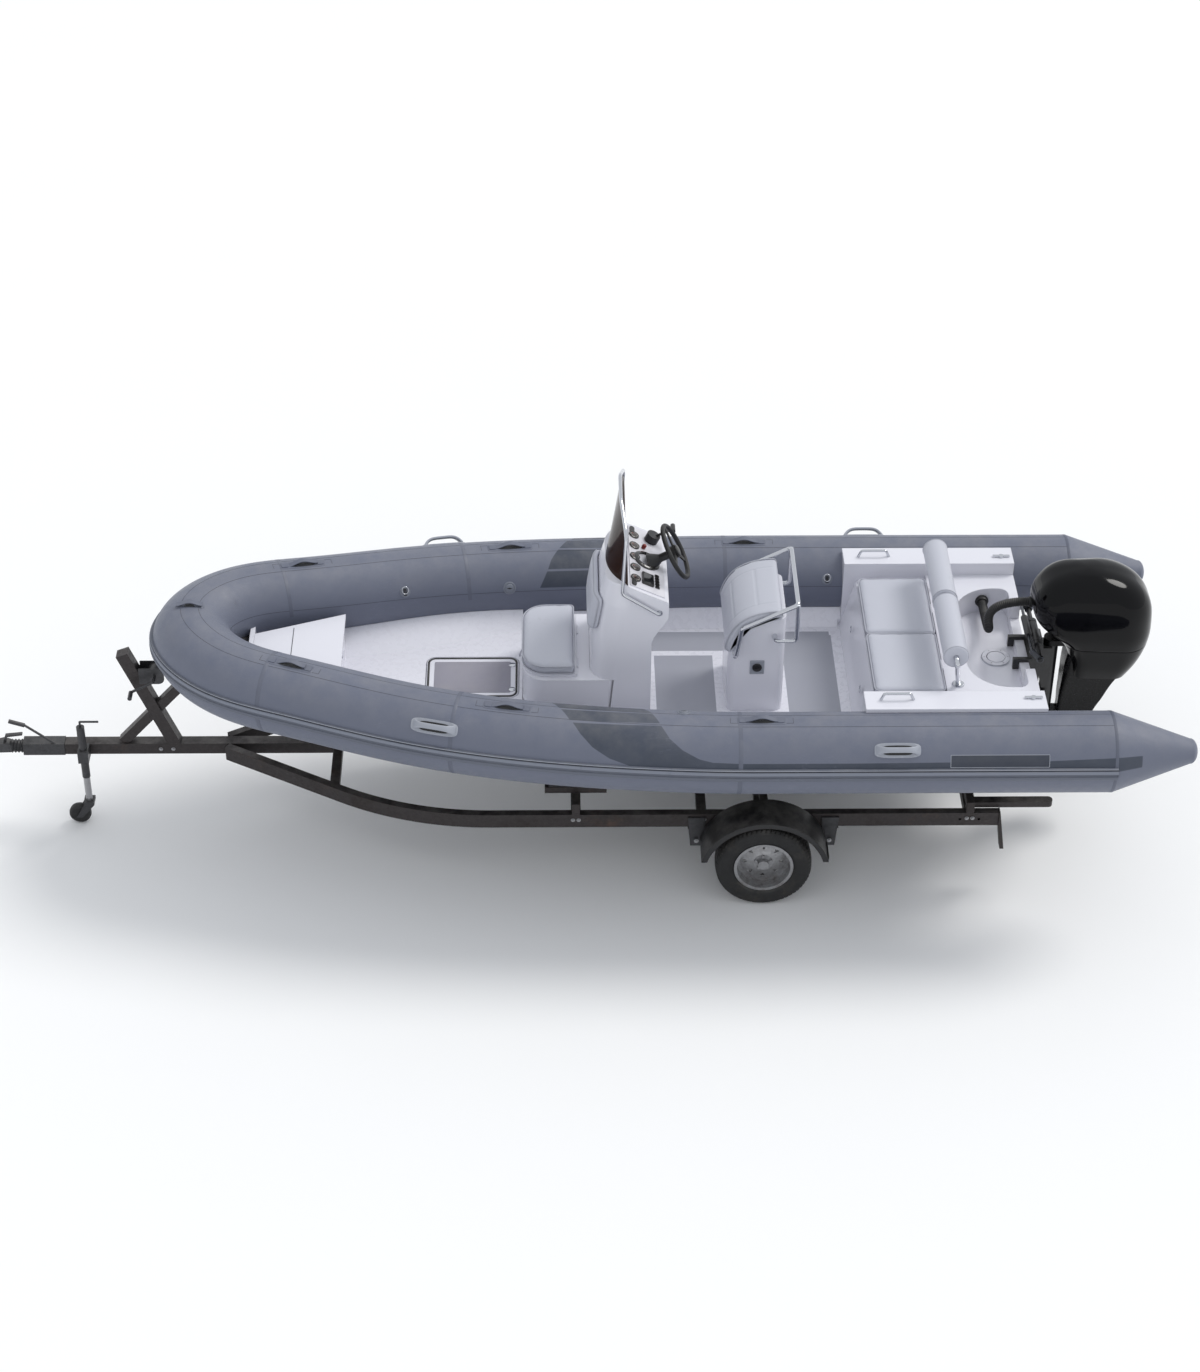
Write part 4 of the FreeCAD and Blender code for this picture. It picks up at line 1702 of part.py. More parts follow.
def main():
    """Builds and writes every node."""
    os.makedirs("parts", exist_ok=True)
    tube_clear = tube_body(TUBE_R + SEAT_GAP)
    console = console_body()
    dash = dash_panel()
    cushion = seat_cushion()
    stand = winch_post()
    save("tube_collar", tube_collar())
    save("rubbing_strake", rubbing_strake())
    save("hull", hull(tube_clear))
    save("deck_liner", deck_liner(tube_clear))
    save("deck_hatch", deck_hatch())
    save("bow_locker", bow_locker(tube_clear))
    save("console_body", console)
    save("console_seat_box", console_seat_box())
    save("console_seat_lid", console_seat_lid())
    save("console_seat_cushion", console_seat_cushion())
    save("console_backrest", console_backrest(console))
    save("dash_panel", dash)
    save("windscreen", windscreen(console))
    save("helm_hub", helm_hub(console, dash))
    save("steering_wheel", steering_wheel())
    save("throttle", throttle(dash))
    save("screen_rail", screen_rail())
    save("seat_pod", seat_pod(cushion))
    save("seat_cushion", cushion)
    save("seat_rail", seat_rail())
    save("bench_base", bench_base())
    save("bench_lid", bench_lid())
    save("bench_cushions", *bench_cushions())
    save("aft_moulding", aft_moulding(tube_clear))
    save("backrest_bar", backrest_bar())
    save("backrest_rolls", *backrest_rolls())
    save("deck_fittings", *deck_fittings())
    save("webbing_handles", *webbing_handles(tube_clear))
    save("carry_handles", *carry_handles(tube_clear))
    save("tube_fittings", *tube_fittings(tube_clear))
    save("engine_clamp", engine_clamp())
    save("engine_swivel", engine_swivel())
    save("steering_rod", steering_rod())
    save("steering_ram", steering_ram())
    save("engine_cowl", engine_cowl())
    save("engine_leg", engine_leg())
    save("propeller", propeller())
    save("rigging_hose", rigging_hose())
    save("trailer_side_rails", *side_rails())
    save("trailer_drawbar", drawbar())
    save("trailer_cross_members", *cross_members())
    save("bunk_posts", *bunk_posts())
    save("bunks", *bunks(hull_form()))
    save("keel_rollers", *keel_rollers())
    save("tyre_port", tyre(1))
    save("tyre_starboard", tyre(-1))
    save("rim_port", rim(1))
    save("rim_starboard", rim(-1))
    save("trailer_axle", axle())
    save("leaf_springs", *springs_and_hangers())
    save("fenders", *fenders())
    save("light_brackets", *light_brackets())
    save("jockey_outer", jockey_outer())
    save("jockey_leg", jockey_leg())
    save("jockey_fork", jockey_fork())
    save("jockey_wheel", jockey_wheel())
    save("coupling", coupling())
    save("winch_post", stand)
    save("winch", winch(stand))


if __name__ == "__main__":
    main()
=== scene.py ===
"""Finishes and soft goods of a rigid inflatable boat on its road trailer.

Metres in the packed frame: X forward, Y to port, Z up from the ground. The CAD nodes stay where they
are and get their finishes here; the inflated, padded, moulded and rubber pieces are worked out as
surfaces of two parameters and stand for their CAD solids.
"""

import math
from dataclasses import dataclass

import bmesh
import bpy
import numpy as np
from mathutils import Matrix, Vector


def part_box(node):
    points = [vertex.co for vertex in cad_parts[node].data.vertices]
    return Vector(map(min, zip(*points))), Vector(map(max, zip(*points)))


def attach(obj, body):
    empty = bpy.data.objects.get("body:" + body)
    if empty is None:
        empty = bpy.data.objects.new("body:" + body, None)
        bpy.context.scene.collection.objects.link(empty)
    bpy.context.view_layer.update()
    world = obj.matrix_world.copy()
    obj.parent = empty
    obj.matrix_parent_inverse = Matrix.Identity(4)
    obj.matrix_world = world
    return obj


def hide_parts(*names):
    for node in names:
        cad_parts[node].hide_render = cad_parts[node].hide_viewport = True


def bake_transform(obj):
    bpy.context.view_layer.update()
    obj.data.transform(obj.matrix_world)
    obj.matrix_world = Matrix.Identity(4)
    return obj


bl_info = {
    "name": "Inflatable boat on its trailer",
    "version": (1, 0, 0),
    "blender": (4, 5, 0),
    "location": "View3D > Sidebar > Boat",
    "description": "Soft goods, fittings and finishes of a rigid inflatable boat on its road trailer",
    "category": "Object",
}

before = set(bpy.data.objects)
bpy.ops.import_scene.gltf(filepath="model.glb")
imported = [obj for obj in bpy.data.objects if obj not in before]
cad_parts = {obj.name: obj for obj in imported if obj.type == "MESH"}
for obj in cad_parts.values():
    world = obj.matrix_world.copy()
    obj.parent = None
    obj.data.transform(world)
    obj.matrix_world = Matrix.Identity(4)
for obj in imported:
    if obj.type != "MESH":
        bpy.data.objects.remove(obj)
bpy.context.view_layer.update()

# The boat's own datum: widest station, centreline and tube top, in millimetres
DATUM_X = -1.103
DATUM_Z = 1.470

# Tube collar
TUBE_R = 0.250
HALF_BEAM = 0.959
BOW_REACH = 3.530
BOW_RISE = 0.190
STRAIGHT = 2.145
CONE_L = 0.484
CONE_TIP_R = 0.078
CAP_L = 0.045
BOW_SHARES = ((1.0, 0.0), (0.937, 0.375), (0.812, 0.562), (0.62, 0.765), (0.4357, 0.895),
              (0.2, 0.975), (0.0, 1.0))
SEAT_GAP = 0.0003

X_AXIS, Y_AXIS, Z_AXIS = np.eye(3)
SIDES = (("port", 1), ("starboard", -1))


def srgb(red, green, blue):
    """A colour read off a screen, 0 to 255, as linear shares: a power curve with a straight toe."""
    shares = np.array([red, green, blue]) / 255
    linear = np.where(shares <= 0.04045, shares / 12.92, ((shares + 0.055) / 1.055) ** 2.4)
    return tuple(float(share) for share in linear)


def datum(x, y, z):
    """A point given in the boat's datum in millimetres, in the packed frame."""
    return np.array([x / 1000 + DATUM_X, y / 1000, z / 1000 + DATUM_Z])


def unit(vectors):
    """Vectors divided by their lengths."""
    vectors = np.asarray(vectors, float)
    return vectors / np.linalg.norm(vectors, axis=-1, keepdims=True)


# ---- settings


def colour_setting(label, what, *screen):
    """A colour setting from its screen colour."""
    return bpy.props.FloatVectorProperty(name=label, description=what, subtype="COLOR",
                                         default=srgb(*screen), min=0, max=1)


def length_setting(label, what, default, most, least=0.0):
    """A length setting in metres."""
    return bpy.props.FloatProperty(name=label, description=what, default=default, min=least,
                                   max=most, unit="LENGTH")


class BoatColours(bpy.types.PropertyGroup):
    """Colours of the boat's finishes"""
    tube: colour_setting("Tube fabric", "Coated fabric of the collar", 101, 106, 122)
    stripe: colour_setting("Stripes", "Darker bands round the tube", 50, 57, 70)
    strake: colour_setting("Rubbing strake", "Moulded band round the collar", 94, 99, 112)
    gelcoat: colour_setting("White gelcoat", "Deck, console and lockers", 226, 226, 234)
    vinyl: colour_setting("Cushion vinyl", "Covers of cushions and rolls", 190, 192, 202)
    hatch: colour_setting("Hatch insert", "Non-slip insert of the foredeck hatch", 150, 148, 160)


class BoatSizes(bpy.types.PropertyGroup):
    """Sizes of the soft goods"""
    crown: length_setting("Crown", "Rise of a cushion's middle", 0.010, 0.03)
    welt: length_setting("Welt", "Radius of the piping round a cushion", 0.0045, 0.01, 0.001)
    swell: length_setting("Swell", "Furthest that a filled cover may swell", 0.006, 0.03)
    tread: length_setting("Tread depth", "Depth of the tyre's grooves", 0.007, 0.012)
    rib: length_setting("Hose rib", "Depth of the hose's ribs", 0.0035, 0.008)


class BoatStage(bpy.types.PropertyGroup):
    """The floor and the light"""
    floor: colour_setting("Floor", "Colour of the floor", 246, 246, 246)
    sky: bpy.props.FloatProperty(name="Sky", description="Strength of the even light",
                                 default=0.80, min=0, max=4)
    key: bpy.props.FloatProperty(name="Key", description="Strength of the soft sun",
                                 default=1.45, min=0, max=8)
    key_angle: bpy.props.FloatProperty(name="Key size", description="Width of the soft sun in the sky",
                                       default=math.radians(22), min=0, max=1.5, subtype="ANGLE")


# ---- surfaces


class Form:
    """Closed surfaces gathered into one mesh.

    Each surface is an n by m grid of points, a function of a parameter along its rows and one along
    its columns, worked out as whole arrays.
    """

    def __init__(self):
        self.points, self.faces, self.marks, self.uvs = [], [], [], []
        self.count = 0

    def skin(self, grid, around=True, endless=False, caps=True, uv=None, mark=0):
        """Joins a grid's neighbours with quads. around joins its last column to the first, endless its
        last row to the first, and caps closes the end rows with fans to their middles."""
        grid = np.asarray(grid, float)
        n, m = grid.shape[:2]
        index = self.count + np.arange(n * m).reshape(n, m)
        if endless:
            index = np.vstack([index, index[:1]])
        if around:
            index = np.hstack([index, index[:, :1]])
        if uv is None:
            uv = self.lengths(grid, index.shape)
        corners = ((slice(None, -1), slice(None, -1)), (slice(1, None), slice(None, -1)),
                   (slice(1, None), slice(1, None)), (slice(None, -1), slice(1, None)))
        quads = np.stack([index[rows, cols] for rows, cols in corners], -1).reshape(-1, 4)
        quad_uvs = np.stack([uv[rows, cols] for rows, cols in corners], 2).reshape(-1, 4, 2)
        self.points.append(grid.reshape(-1, 3))
        self.count += n * m
        self.faces.append(quads)
        self.uvs.append(quad_uvs)
        self.marks.append(np.full(len(quads), mark))
        if caps and not endless:
            for end, turn in ((0, 1), (-1, -1)):
                ring, ring_uv = index[end], uv[end]
                self.points.append(grid[end].mean(0)[None])
                middle = np.full(len(ring) - 1, self.count)
                self.count += 1
                fan = np.stack([ring[:-1], ring[1:], middle], -1)[:, ::turn]
                middle_uv = np.broadcast_to(ring_uv.mean(0), (len(ring) - 1, 2))
                fan_uv = np.stack([ring_uv[:-1], ring_uv[1:], middle_uv], 1)[:, ::turn]
                self.faces.append(fan)
                self.uvs.append(fan_uv)
                self.marks.append(np.full(len(fan), mark))
        return self

    def lathe(self, profile, segments, seat, stretch=1.0, endless=False, mark=0):
        """A turned profile, stretched and moved to a seat: its place, outward and forward directions."""
        return self.skin(placed(turned(profile, segments) * stretch, *seat), endless=endless, mark=mark)

    @staticmethod
    def lengths(grid, shape):
        """A map in metres: mean distance walked down the rows and along the columns."""
        down = np.linalg.norm(np.diff(grid, axis=0, append=grid[:1]), axis=2).mean(1)
        across = np.linalg.norm(np.diff(grid, axis=1, append=grid[:, :1]), axis=2).mean(0)
        u = np.concatenate([[0], np.cumsum(down)])[:shape[0]]
        v = np.concatenate([[0], np.cumsum(across)])[:shape[1]]
        return np.stack(np.meshgrid(u, v, indexing="ij"), -1)

    def make(self, name, body, finishes, slot=None, smooth=40, replaces=(), outward=True):
        """The mesh object, riding on a body, with its faces turned outwards."""
        mesh = bpy.data.meshes.new(name)
        points = np.vstack(self.points)
        sizes = np.concatenate([np.full(len(f), f.shape[1]) for f in self.faces])
        loops = np.concatenate([f.ravel() for f in self.faces])
        mesh.vertices.add(len(points))
        mesh.vertices.foreach_set("co", points.ravel())
        mesh.loops.add(len(loops))
        mesh.loops.foreach_set("vertex_index", loops)
        mesh.polygons.add(len(sizes))
        mesh.polygons.foreach_set("loop_start", np.concatenate([[0], np.cumsum(sizes)[:-1]]))
        mesh.polygons.foreach_set("loop_total", sizes)
        mesh.polygons.foreach_set("material_index", np.concatenate(self.marks).astype(int))
        mesh.update()
        layer = mesh.uv_layers.new(name="surface")
        layer.data.foreach_set("uv", np.concatenate([u.reshape(-1, 2) for u in self.uvs]).ravel())
        if outward:
            turned = bmesh.new()
            turned.from_mesh(mesh)
            bmesh.ops.recalc_face_normals(turned, faces=turned.faces)
            turned.to_mesh(mesh)
            turned.free()
        mesh.shade_smooth()
        mesh.set_sharp_from_angle(angle=math.radians(smooth))
        piece = linked(name, mesh)
        for finish in [finishes] if isinstance(finishes, str) else finishes:
            mesh.materials.append(finished(finish))
        if body:
            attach(piece, body)
        if replaces:
            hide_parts(*replaces)
        return piece


def linked(name, data):
    """An object of some data, linked to the scene."""
    item = bpy.data.objects.new(name, data)
    bpy.context.scene.collection.objects.link(item)
    return item


def walked(points):
    """Distance walked along a line of points."""
    return np.concatenate([[0], np.cumsum(np.linalg.norm(np.diff(points, axis=0), axis=1))])


def spline(points, count, first=None, last=None):
    """A cubic through points, with chord lengths for its parameter: each piece is a cubic whose slopes
    come from one tridiagonal system, natural at an end where no slope is given."""
    points = np.asarray(points, float)
    t = walked(points)
    h = np.diff(t)
    n = len(t)
    system = np.zeros((n, n))
    right = np.zeros(points.shape)
    inner = np.arange(1, n - 1)
    system[inner, inner - 1] = 1 / h[:-1]
    system[inner, inner] = 2 / h[:-1] + 2 / h[1:]
    system[inner, inner + 1] = 1 / h[1:]
    step = np.diff(points, axis=0)
    right[1:-1] = 3 * (step[:-1] / h[:-1, None] ** 2 + step[1:] / h[1:, None] ** 2)
    for end, other, slope, span in ((0, 1, first, 0), (n - 1, n - 2, last, n - 2)):
        system[end, end] = 1
        right[end] = 0 if slope is None else slope
        if slope is None:
            system[end, end], system[end, other] = 2, 1
            right[end] = 3 * step[span] / h[span]
    slopes = np.linalg.solve(system, right)
    at = np.linspace(0, t[-1], count)
    i = np.clip(np.searchsorted(t, at, side="right") - 1, 0, n - 2)
    s = ((at - t[i]) / h[i])[:, None]
    span = h[i][:, None]
    return (points[i] * (2 * s**3 - 3 * s**2 + 1) + slopes[i] * span * (s**3 - 2 * s**2 + s)
            + points[i + 1] * (3 * s**2 - 2 * s**3) + slopes[i + 1] * span * (s**3 - s**2))


def rounded_loop(corners, radii, arc=8):
    """A closed plan outline: each corner gives way to an arc tangent to its two sides."""
    corners = np.asarray(corners, float)
    runs = []
    for i, corner in enumerate(corners):
        before, after = unit(corners[i - 1] - corner), unit(corners[(i + 1) % len(corners)] - corner)
        half = math.acos(np.clip(before @ after, -1, 1)) / 2
        radius = max(radii[i], 1e-4)
        centre = corner + unit(before + after) * radius / math.sin(half)
        start = corner + before * radius / math.tan(half) - centre
        end = corner + after * radius / math.tan(half) - centre
        turn = math.pi - 2 * half
        share = np.linspace(0, 1, arc)[:, None]
        runs.append(centre + (np.sin((1 - share) * turn) * start + np.sin(share * turn) * end)
                    / math.sin(turn))
    return np.vstack(runs)


def block(half_x, half_y, radius, arc=6):
    """A rectangle about its middle with rounded corners."""
    return rounded_loop([(half_x, half_y), (-half_x, half_y), (-half_x, -half_y), (half_x, -half_y)],
                        [radius] * 4, arc)


def superellipse(count, power):
    """Cosines and sines round a full turn, each raised to a power and keeping its sign."""
    turn = np.linspace(0, 2 * math.pi, count, endpoint=False)
    return (np.sign(np.cos(turn)) * np.abs(np.cos(turn)) ** power,
            np.sign(np.sin(turn)) * np.abs(np.sin(turn)) ** power)


def stacked(loop, rows, middle=0.0):
    """An outline repeated in level rows: each is its share of the way out from the middle, at a height."""
    return np.stack([np.column_stack([middle + (loop - middle) * share, np.full(len(loop), high)])
                     for share, high in rows])


def evened(loop, count):
    """The same closed outline with its points at equal steps."""
    closed = np.vstack([loop, loop[:1]])
    along = walked(closed)
    at = np.linspace(0, along[-1], count, endpoint=False)
    return np.stack([np.interp(at, along, closed[:, k]) for k in range(closed.shape[1])], -1)


def outward_of(loop):
    """Unit directions square to a closed outline in its plane, pointing away from its middle."""
    step = np.roll(loop, -1, axis=0) - np.roll(loop, 1, axis=0)
    out = unit(np.stack([step[:, 1], -step[:, 0]], -1))
    middle = loop.mean(0)
    return out * np.sign(np.sum(out * (loop - middle)) or 1)


def placed(local, origin, out, along):
    """A local shape, its Z turned to out and its X to along, moved to origin."""
    out = unit(out)
    along = unit(np.asarray(along, float) - (np.asarray(along, float) @ out) * out)
    return origin + local @ np.stack([along, np.cross(out, along), out])


def turned(profile, segments=32):
    """A profile of (radius, height) points turned about Z: radius times cosine and sine of the turn."""
    profile = np.asarray(profile, float)
    turn = np.linspace(0, 2 * math.pi, segments, endpoint=False)
    radius = profile[:, :1]
    height = np.broadcast_to(profile[:, 1:], (len(profile), segments))
    return np.stack([radius * np.cos(turn), radius * np.sin(turn), height], -1)


def carried(path, section, side, closed=False):
    """A section carried along a path: at each point the path's direction and a steady side direction
    span the plane that the section is drawn in. A radius stands for a round section."""
    path = np.asarray(path, float)
    if closed:
        ahead = unit(np.roll(path, -1, axis=0) - np.roll(path, 1, axis=0))
    else:
        ahead = unit(np.gradient(path, axis=0))
    side = np.broadcast_to(np.asarray(side, float), path.shape)
    side = unit(side - np.sum(side * ahead, 1, keepdims=True) * ahead)
    up = np.cross(ahead, side)
    section = np.asarray(section, float)
    if section.ndim < 2:
        turn = np.linspace(0, 2 * math.pi, 16, endpoint=False)
        radius = np.broadcast_to(section, (len(path),))[:, None]
        across, above = radius * np.cos(turn), radius * np.sin(turn)
    else:
        across = np.broadcast_to(section[:, 0], (len(path), len(section)))
        above = np.broadcast_to(section[:, 1], (len(path), len(section)))
    return path[:, None] + across[..., None] * side[:, None] + above[..., None] * up[:, None]


# ---- the collar's own frame


def bow_line(count):
    """The tube's centreline round the bow, port to starboard: a cubic through its plan points."""
    shares = np.array(BOW_SHARES)
    port = np.stack([BOW_REACH * shares[:, 0], HALF_BEAM * shares[:, 1],
                     -TUBE_R + BOW_RISE * shares[:, 0] ** 2], -1)
    line = np.vstack([port[:0:-1], port[:1], port[1:] * [1, -1, 1]])
    return spline(line, count, X_AXIS, -X_AXIS)


def collar_line():
    """The whole centreline, port stern to starboard stern, and its distance ahead of the widest station."""
    bow = bow_line(481)
    aft = np.linspace(-STRAIGHT, 0, 61)[:-1]
    port = np.stack([aft, np.full(60, HALF_BEAM), np.full(60, -TUBE_R)], -1)
    line = np.vstack([port, bow, port[::-1] * [1, -1, 1]])
    along = walked(line)
    ahead = along[-1] / 2 - STRAIGHT - np.abs(along - along[-1] / 2)
    return line + [DATUM_X, 0, DATUM_Z], ahead


LINE, AHEAD = collar_line()
HALF = len(LINE) // 2 + 1


def on_tube(ahead, degrees, lift, side=1):
    """Points on the collar: distance ahead of the widest station, degrees up from its outer side and
    height over its skin. The centre comes from the centreline, and the round from cosine and sine."""
    ahead, degrees, lift = np.broadcast_arrays(ahead, degrees, lift)
    line, along = LINE[:HALF], AHEAD[:HALF]
    centre = np.stack([np.interp(ahead, along, line[:, k]) for k in range(3)], -1)
    step = np.gradient(line, axis=0)
    tangent = unit(np.stack([np.interp(ahead, along, step[:, k]) for k in range(3)], -1))
    flat = unit(np.stack([-tangent[..., 1], tangent[..., 0], np.zeros(ahead.shape)], -1))
    angle = np.radians(degrees)[..., None]
    reach = (TUBE_R + lift)[..., None]
    points = centre + reach * (np.cos(angle) * flat + np.sin(angle) * Z_AXIS)
    return points * [1, side, 1]


def ahead_at(x):
    """Distance ahead of the widest station of a datum X in millimetres."""
    return float(np.interp(x / 1000 + DATUM_X, LINE[:HALF, 0], AHEAD[:HALF]))


def tube_seat(x, degrees, side):
    """Seat, outward and forward directions at a datum X in millimetres on the collar."""
    here = ahead_at(x)
    seat = on_tube(here, degrees, 0.0, side)
    out = unit(on_tube(here, degrees, 0.1, side) - seat)
    return seat, out, unit(on_tube(here + 0.01, degrees, 0.0, side) - seat)


def patch(form, ahead, degrees, half_l, half_w, lift, side, corner=0.3, mark=0):
    """A flat piece on the skin with rounded corners: rings shrink towards its middle, and its height
    falls to just under the skin at the rim."""
    u, v = superellipse(40, 2 / (2 + 8 * (1 - corner)))
    shares = np.array([1.0, 0.985, 0.95, 0.8, 0.5, 0.1])[:, None]
    rise = np.array([-1.0, 0.6, 1.0, 1.0, 1.0, 1.0])[:, None] * lift
    spread = math.degrees(half_w / TUBE_R)
    form.skin(on_tube(ahead + half_l * shares * u, degrees + spread * shares * v, rise, side),
              mark=mark)


def tape(form, ahead, degrees, half_w, lift, side=1, across=False, mark=0):
    """A thin strip bonded along the skin: a low flat section carried along a line of the tube, or
    across it where across is set."""
    ahead, degrees = np.broadcast_arrays(np.atleast_1d(ahead), np.atleast_1d(degrees))
    ahead, degrees = ahead[:, None], degrees[:, None]
    shape = np.array([-1.0, -0.9, 0.9, 1.0])
    if across:
        ahead = ahead + shape * half_w
    else:
        degrees = degrees + shape * math.degrees(half_w / TUBE_R)
    form.skin(on_tube(ahead, degrees, [-0.0010, lift, lift, -0.0010], side), mark=mark)


# ---- finishes


class Tree:
    """Short calls for the nodes that the finishes share."""

    def __init__(self, tree):
        self.tree = tree

    def add(self, kind, **settings):
        """A node with its settings."""
        node = self.tree.nodes.new(kind)
        for key, value in settings.items():
            setattr(node, key, value)
        return node

    def feed(self, socket, value):
        """Links a socket, or sets it to a number or a colour."""
        if isinstance(value, bpy.types.NodeSocket):
            self.tree.links.new(value, socket)
        elif isinstance(value, (tuple, list)) and socket.type == "RGBA":
            socket.default_value = (*value[:3], 1)
        else:
            socket.default_value = value

    def call(self, kind, output, settings=None, **values):
        """A node whose named inputs are fed; gives the named output."""
        node = self.add(kind, **(settings or {}))
        for key, value in values.items():
            self.feed(node.inputs[key.replace("_", " ")], value)
        return node.outputs[output]

    def calc(self, operation, first, second=None, third=None, clamp=False):
        """A math node's result from up to three numbers."""
        node = self.add("ShaderNodeMath", operation=operation, use_clamp=clamp)
        for socket, value in zip(node.inputs, (first, second, third)):
            if value is not None:
                self.feed(socket, value)
        return node.outputs[0]

    def split(self, vector):
        """A vector's three parts."""
        node = self.add("ShaderNodeSeparateXYZ")
        self.feed(node.inputs[0], vector)
        return node.outputs

    def noise(self, vector, scale, detail=3.0, rough=0.55):
        """A noise from 0 to 1 at a scale."""
        return self.call("ShaderNodeTexNoise", "Fac", None, Vector=vector, Scale=scale, Detail=detail,
                         Roughness=rough)

    def range(self, value, low, high, to_low=0.0, to_high=1.0, smooth=False):
        """A value's place between two bounds, carried to two others."""
        node = self.add("ShaderNodeMapRange", interpolation_type="SMOOTHSTEP" if smooth else "LINEAR")
        for socket, number in zip(node.inputs[:5], (value, low, high, to_low, to_high)):
            self.feed(socket, number)
        return node.outputs[0]

    def mix(self, share, first, second, kind="RGBA"):
        """The second of two colours or numbers over the first, by its share."""
        node = self.add("ShaderNodeMix", data_type=kind)
        spots = {"RGBA": (0, 6, 7, 2), "FLOAT": (0, 2, 3, 0)}[kind]
        for spot, value in zip(spots[:3], (share, first, second)):
            self.feed(node.inputs[spot], value)
        return node.outputs[spots[3]]

    def between(self, value, low, high, soft=0.0005):
        """1 where a value lies between two bounds, with soft edges."""
        return self.calc("MULTIPLY", self.range(value, low - soft, low + soft),
                         self.range(value, high - soft, high + soft, 1.0, 0.0))


def grain(t, source):
    """Two noises, one five times finer, added."""
    coarse = t.noise(source["Vector"], source["Scale"], 2.0)
    fine = t.noise(source["Vector"], t.calc("MULTIPLY", source["Scale"], 5.0), 3.0)
    return t.calc("MULTIPLY_ADD", fine, 0.5, coarse)


def soiling(t, source):
    """Broad patches broken up by a finer noise, cut off below the amount."""
    patches = t.noise(source["Vector"], source["Scale"], 4.0, 0.6)
    broken = t.noise(source["Vector"], t.calc("MULTIPLY", source["Scale"], 9.0), 5.0, 0.7)
    both = t.calc("MULTIPLY_ADD", broken, 0.45, patches)
    low = t.calc("SUBTRACT", 1.0, source["Amount"])
    return t.range(both, low, t.calc("ADD", low, 0.35), smooth=True)


def dust(t, source):
    """Faces that look up, times a broken noise and the amount."""
    up = t.split(t.add("ShaderNodeNewGeometry").outputs["Normal"])[2]
    broken = t.noise(source["Vector"], source["Scale"], 5.0, 0.65)
    settled = t.calc("MULTIPLY", t.range(up, 0.3, 1.0), t.range(broken, 0.35, 0.75))
    return t.calc("MULTIPLY", settled, source["Amount"])


def scuffs(t, source):
    """Thin lines where a stretched noise crosses its middle value."""
    stretched = t.call("ShaderNodeMapping", "Vector", None, Vector=source["Vector"], Scale=(1.0, 7.0, 7.0))
    line = t.calc("ABSOLUTE", t.calc("SUBTRACT", t.noise(stretched, source["Scale"], 2.0, 0.4), 0.5))
    rare = t.noise(source["Vector"], t.calc("MULTIPLY", source["Scale"], 0.3), 2.0)
    return t.calc("MULTIPLY", t.range(line, 0.0, 0.012, 1.0, 0.0), t.range(rare, 0.55, 0.7))


def weave(t, source):
    """Threads over and under: the product of two sines, one along each way of the cloth."""
    u, v, _ = t.split(source["Vector"])
    ways = [t.calc("SINE", t.calc("MULTIPLY", way, t.calc("MULTIPLY", source["Threads"], 2 * math.pi)))
            for way in (u, v)]
    return t.calc("MULTIPLY_ADD", t.calc("MULTIPLY", *ways), 0.5, 0.5)


# The effects that the finishes share: how each is built and the numbers it takes
EFFECTS = {"grain": (grain, ["Scale"]), "soiling": (soiling, ["Scale", "Amount"]),
           "dust": (dust, ["Scale", "Amount"]), "scuffs": (scuffs, ["Scale"]), "weave": (weave, ["Threads"])}


def group(name):
    """The node group of an effect, built once: a vector and its numbers in, one number out."""
    if name in bpy.data.node_groups:
        return bpy.data.node_groups[name]
    build, numbers = EFFECTS[name]
    tree = bpy.data.node_groups.new(name, "ShaderNodeTree")
    tree.interface.new_socket("Vector", in_out="INPUT", socket_type="NodeSocketVector")
    for number in numbers:
        tree.interface.new_socket(number, in_out="INPUT", socket_type="NodeSocketFloat")
    tree.interface.new_socket("Value", in_out="OUTPUT", socket_type="NodeSocketFloat")
    t = Tree(tree)
    source, sink = t.add("NodeGroupInput"), t.add("NodeGroupOutput")
    t.feed(sink.inputs[0], build(t, source.outputs))
    return tree


def effect(t, name, **values):
    """One of the shared effects, placed in a finish."""
    return t.call("ShaderNodeGroup", 0, {"node_tree": group(name)}, **values)


@dataclass
class Look:
    """What a finish is made of."""
    colour: tuple
    rough: float
    metal: float = 0.0
    rough_spread: float = 0.08
    grain: int = 0
    grain_rise: float = 0.0
    soil: tuple = None
    soil_amount: float = 0.0
    soil_scale: float = 4.0
    dust: float = 0.0
    scuffs: float = 0.0
    coat: float = 0.0
    weave: int = 0
    sheen: float = 0.0
    edge: float = 0.0
    transmission: float = 0.0
    specular: float = 0.5
    ior: float = 1.5
    pattern: object = None


def blank(name):
    """A material with one principled shader, its tree and that shader."""
    material = bpy.data.materials.new(name)
    material.use_nodes = True
    material.node_tree.nodes.clear()
    t = Tree(material.node_tree)
    shader = t.add("ShaderNodeBsdfPrincipled")
    t.feed(t.add("ShaderNodeOutputMaterial").inputs[0], shader.outputs[0])
    return material, t, shader


def lighter(colour, times, more=0.0):
    """A colour times a factor, with a little more, and no share past one."""
    return tuple(min(1, share * times + more) for share in colour[:3])


DUST_COLOUR, DUST_SCALE, SCUFF_SCALE, GLOSS_SCALE = srgb(176, 172, 166), 7.0, 9.0, 24.0
SOIL_DULLS, COAT_ROUGH, EDGE_SAMPLES, PLAIN_RISE = 0.18, 0.06, 4, 0.0004


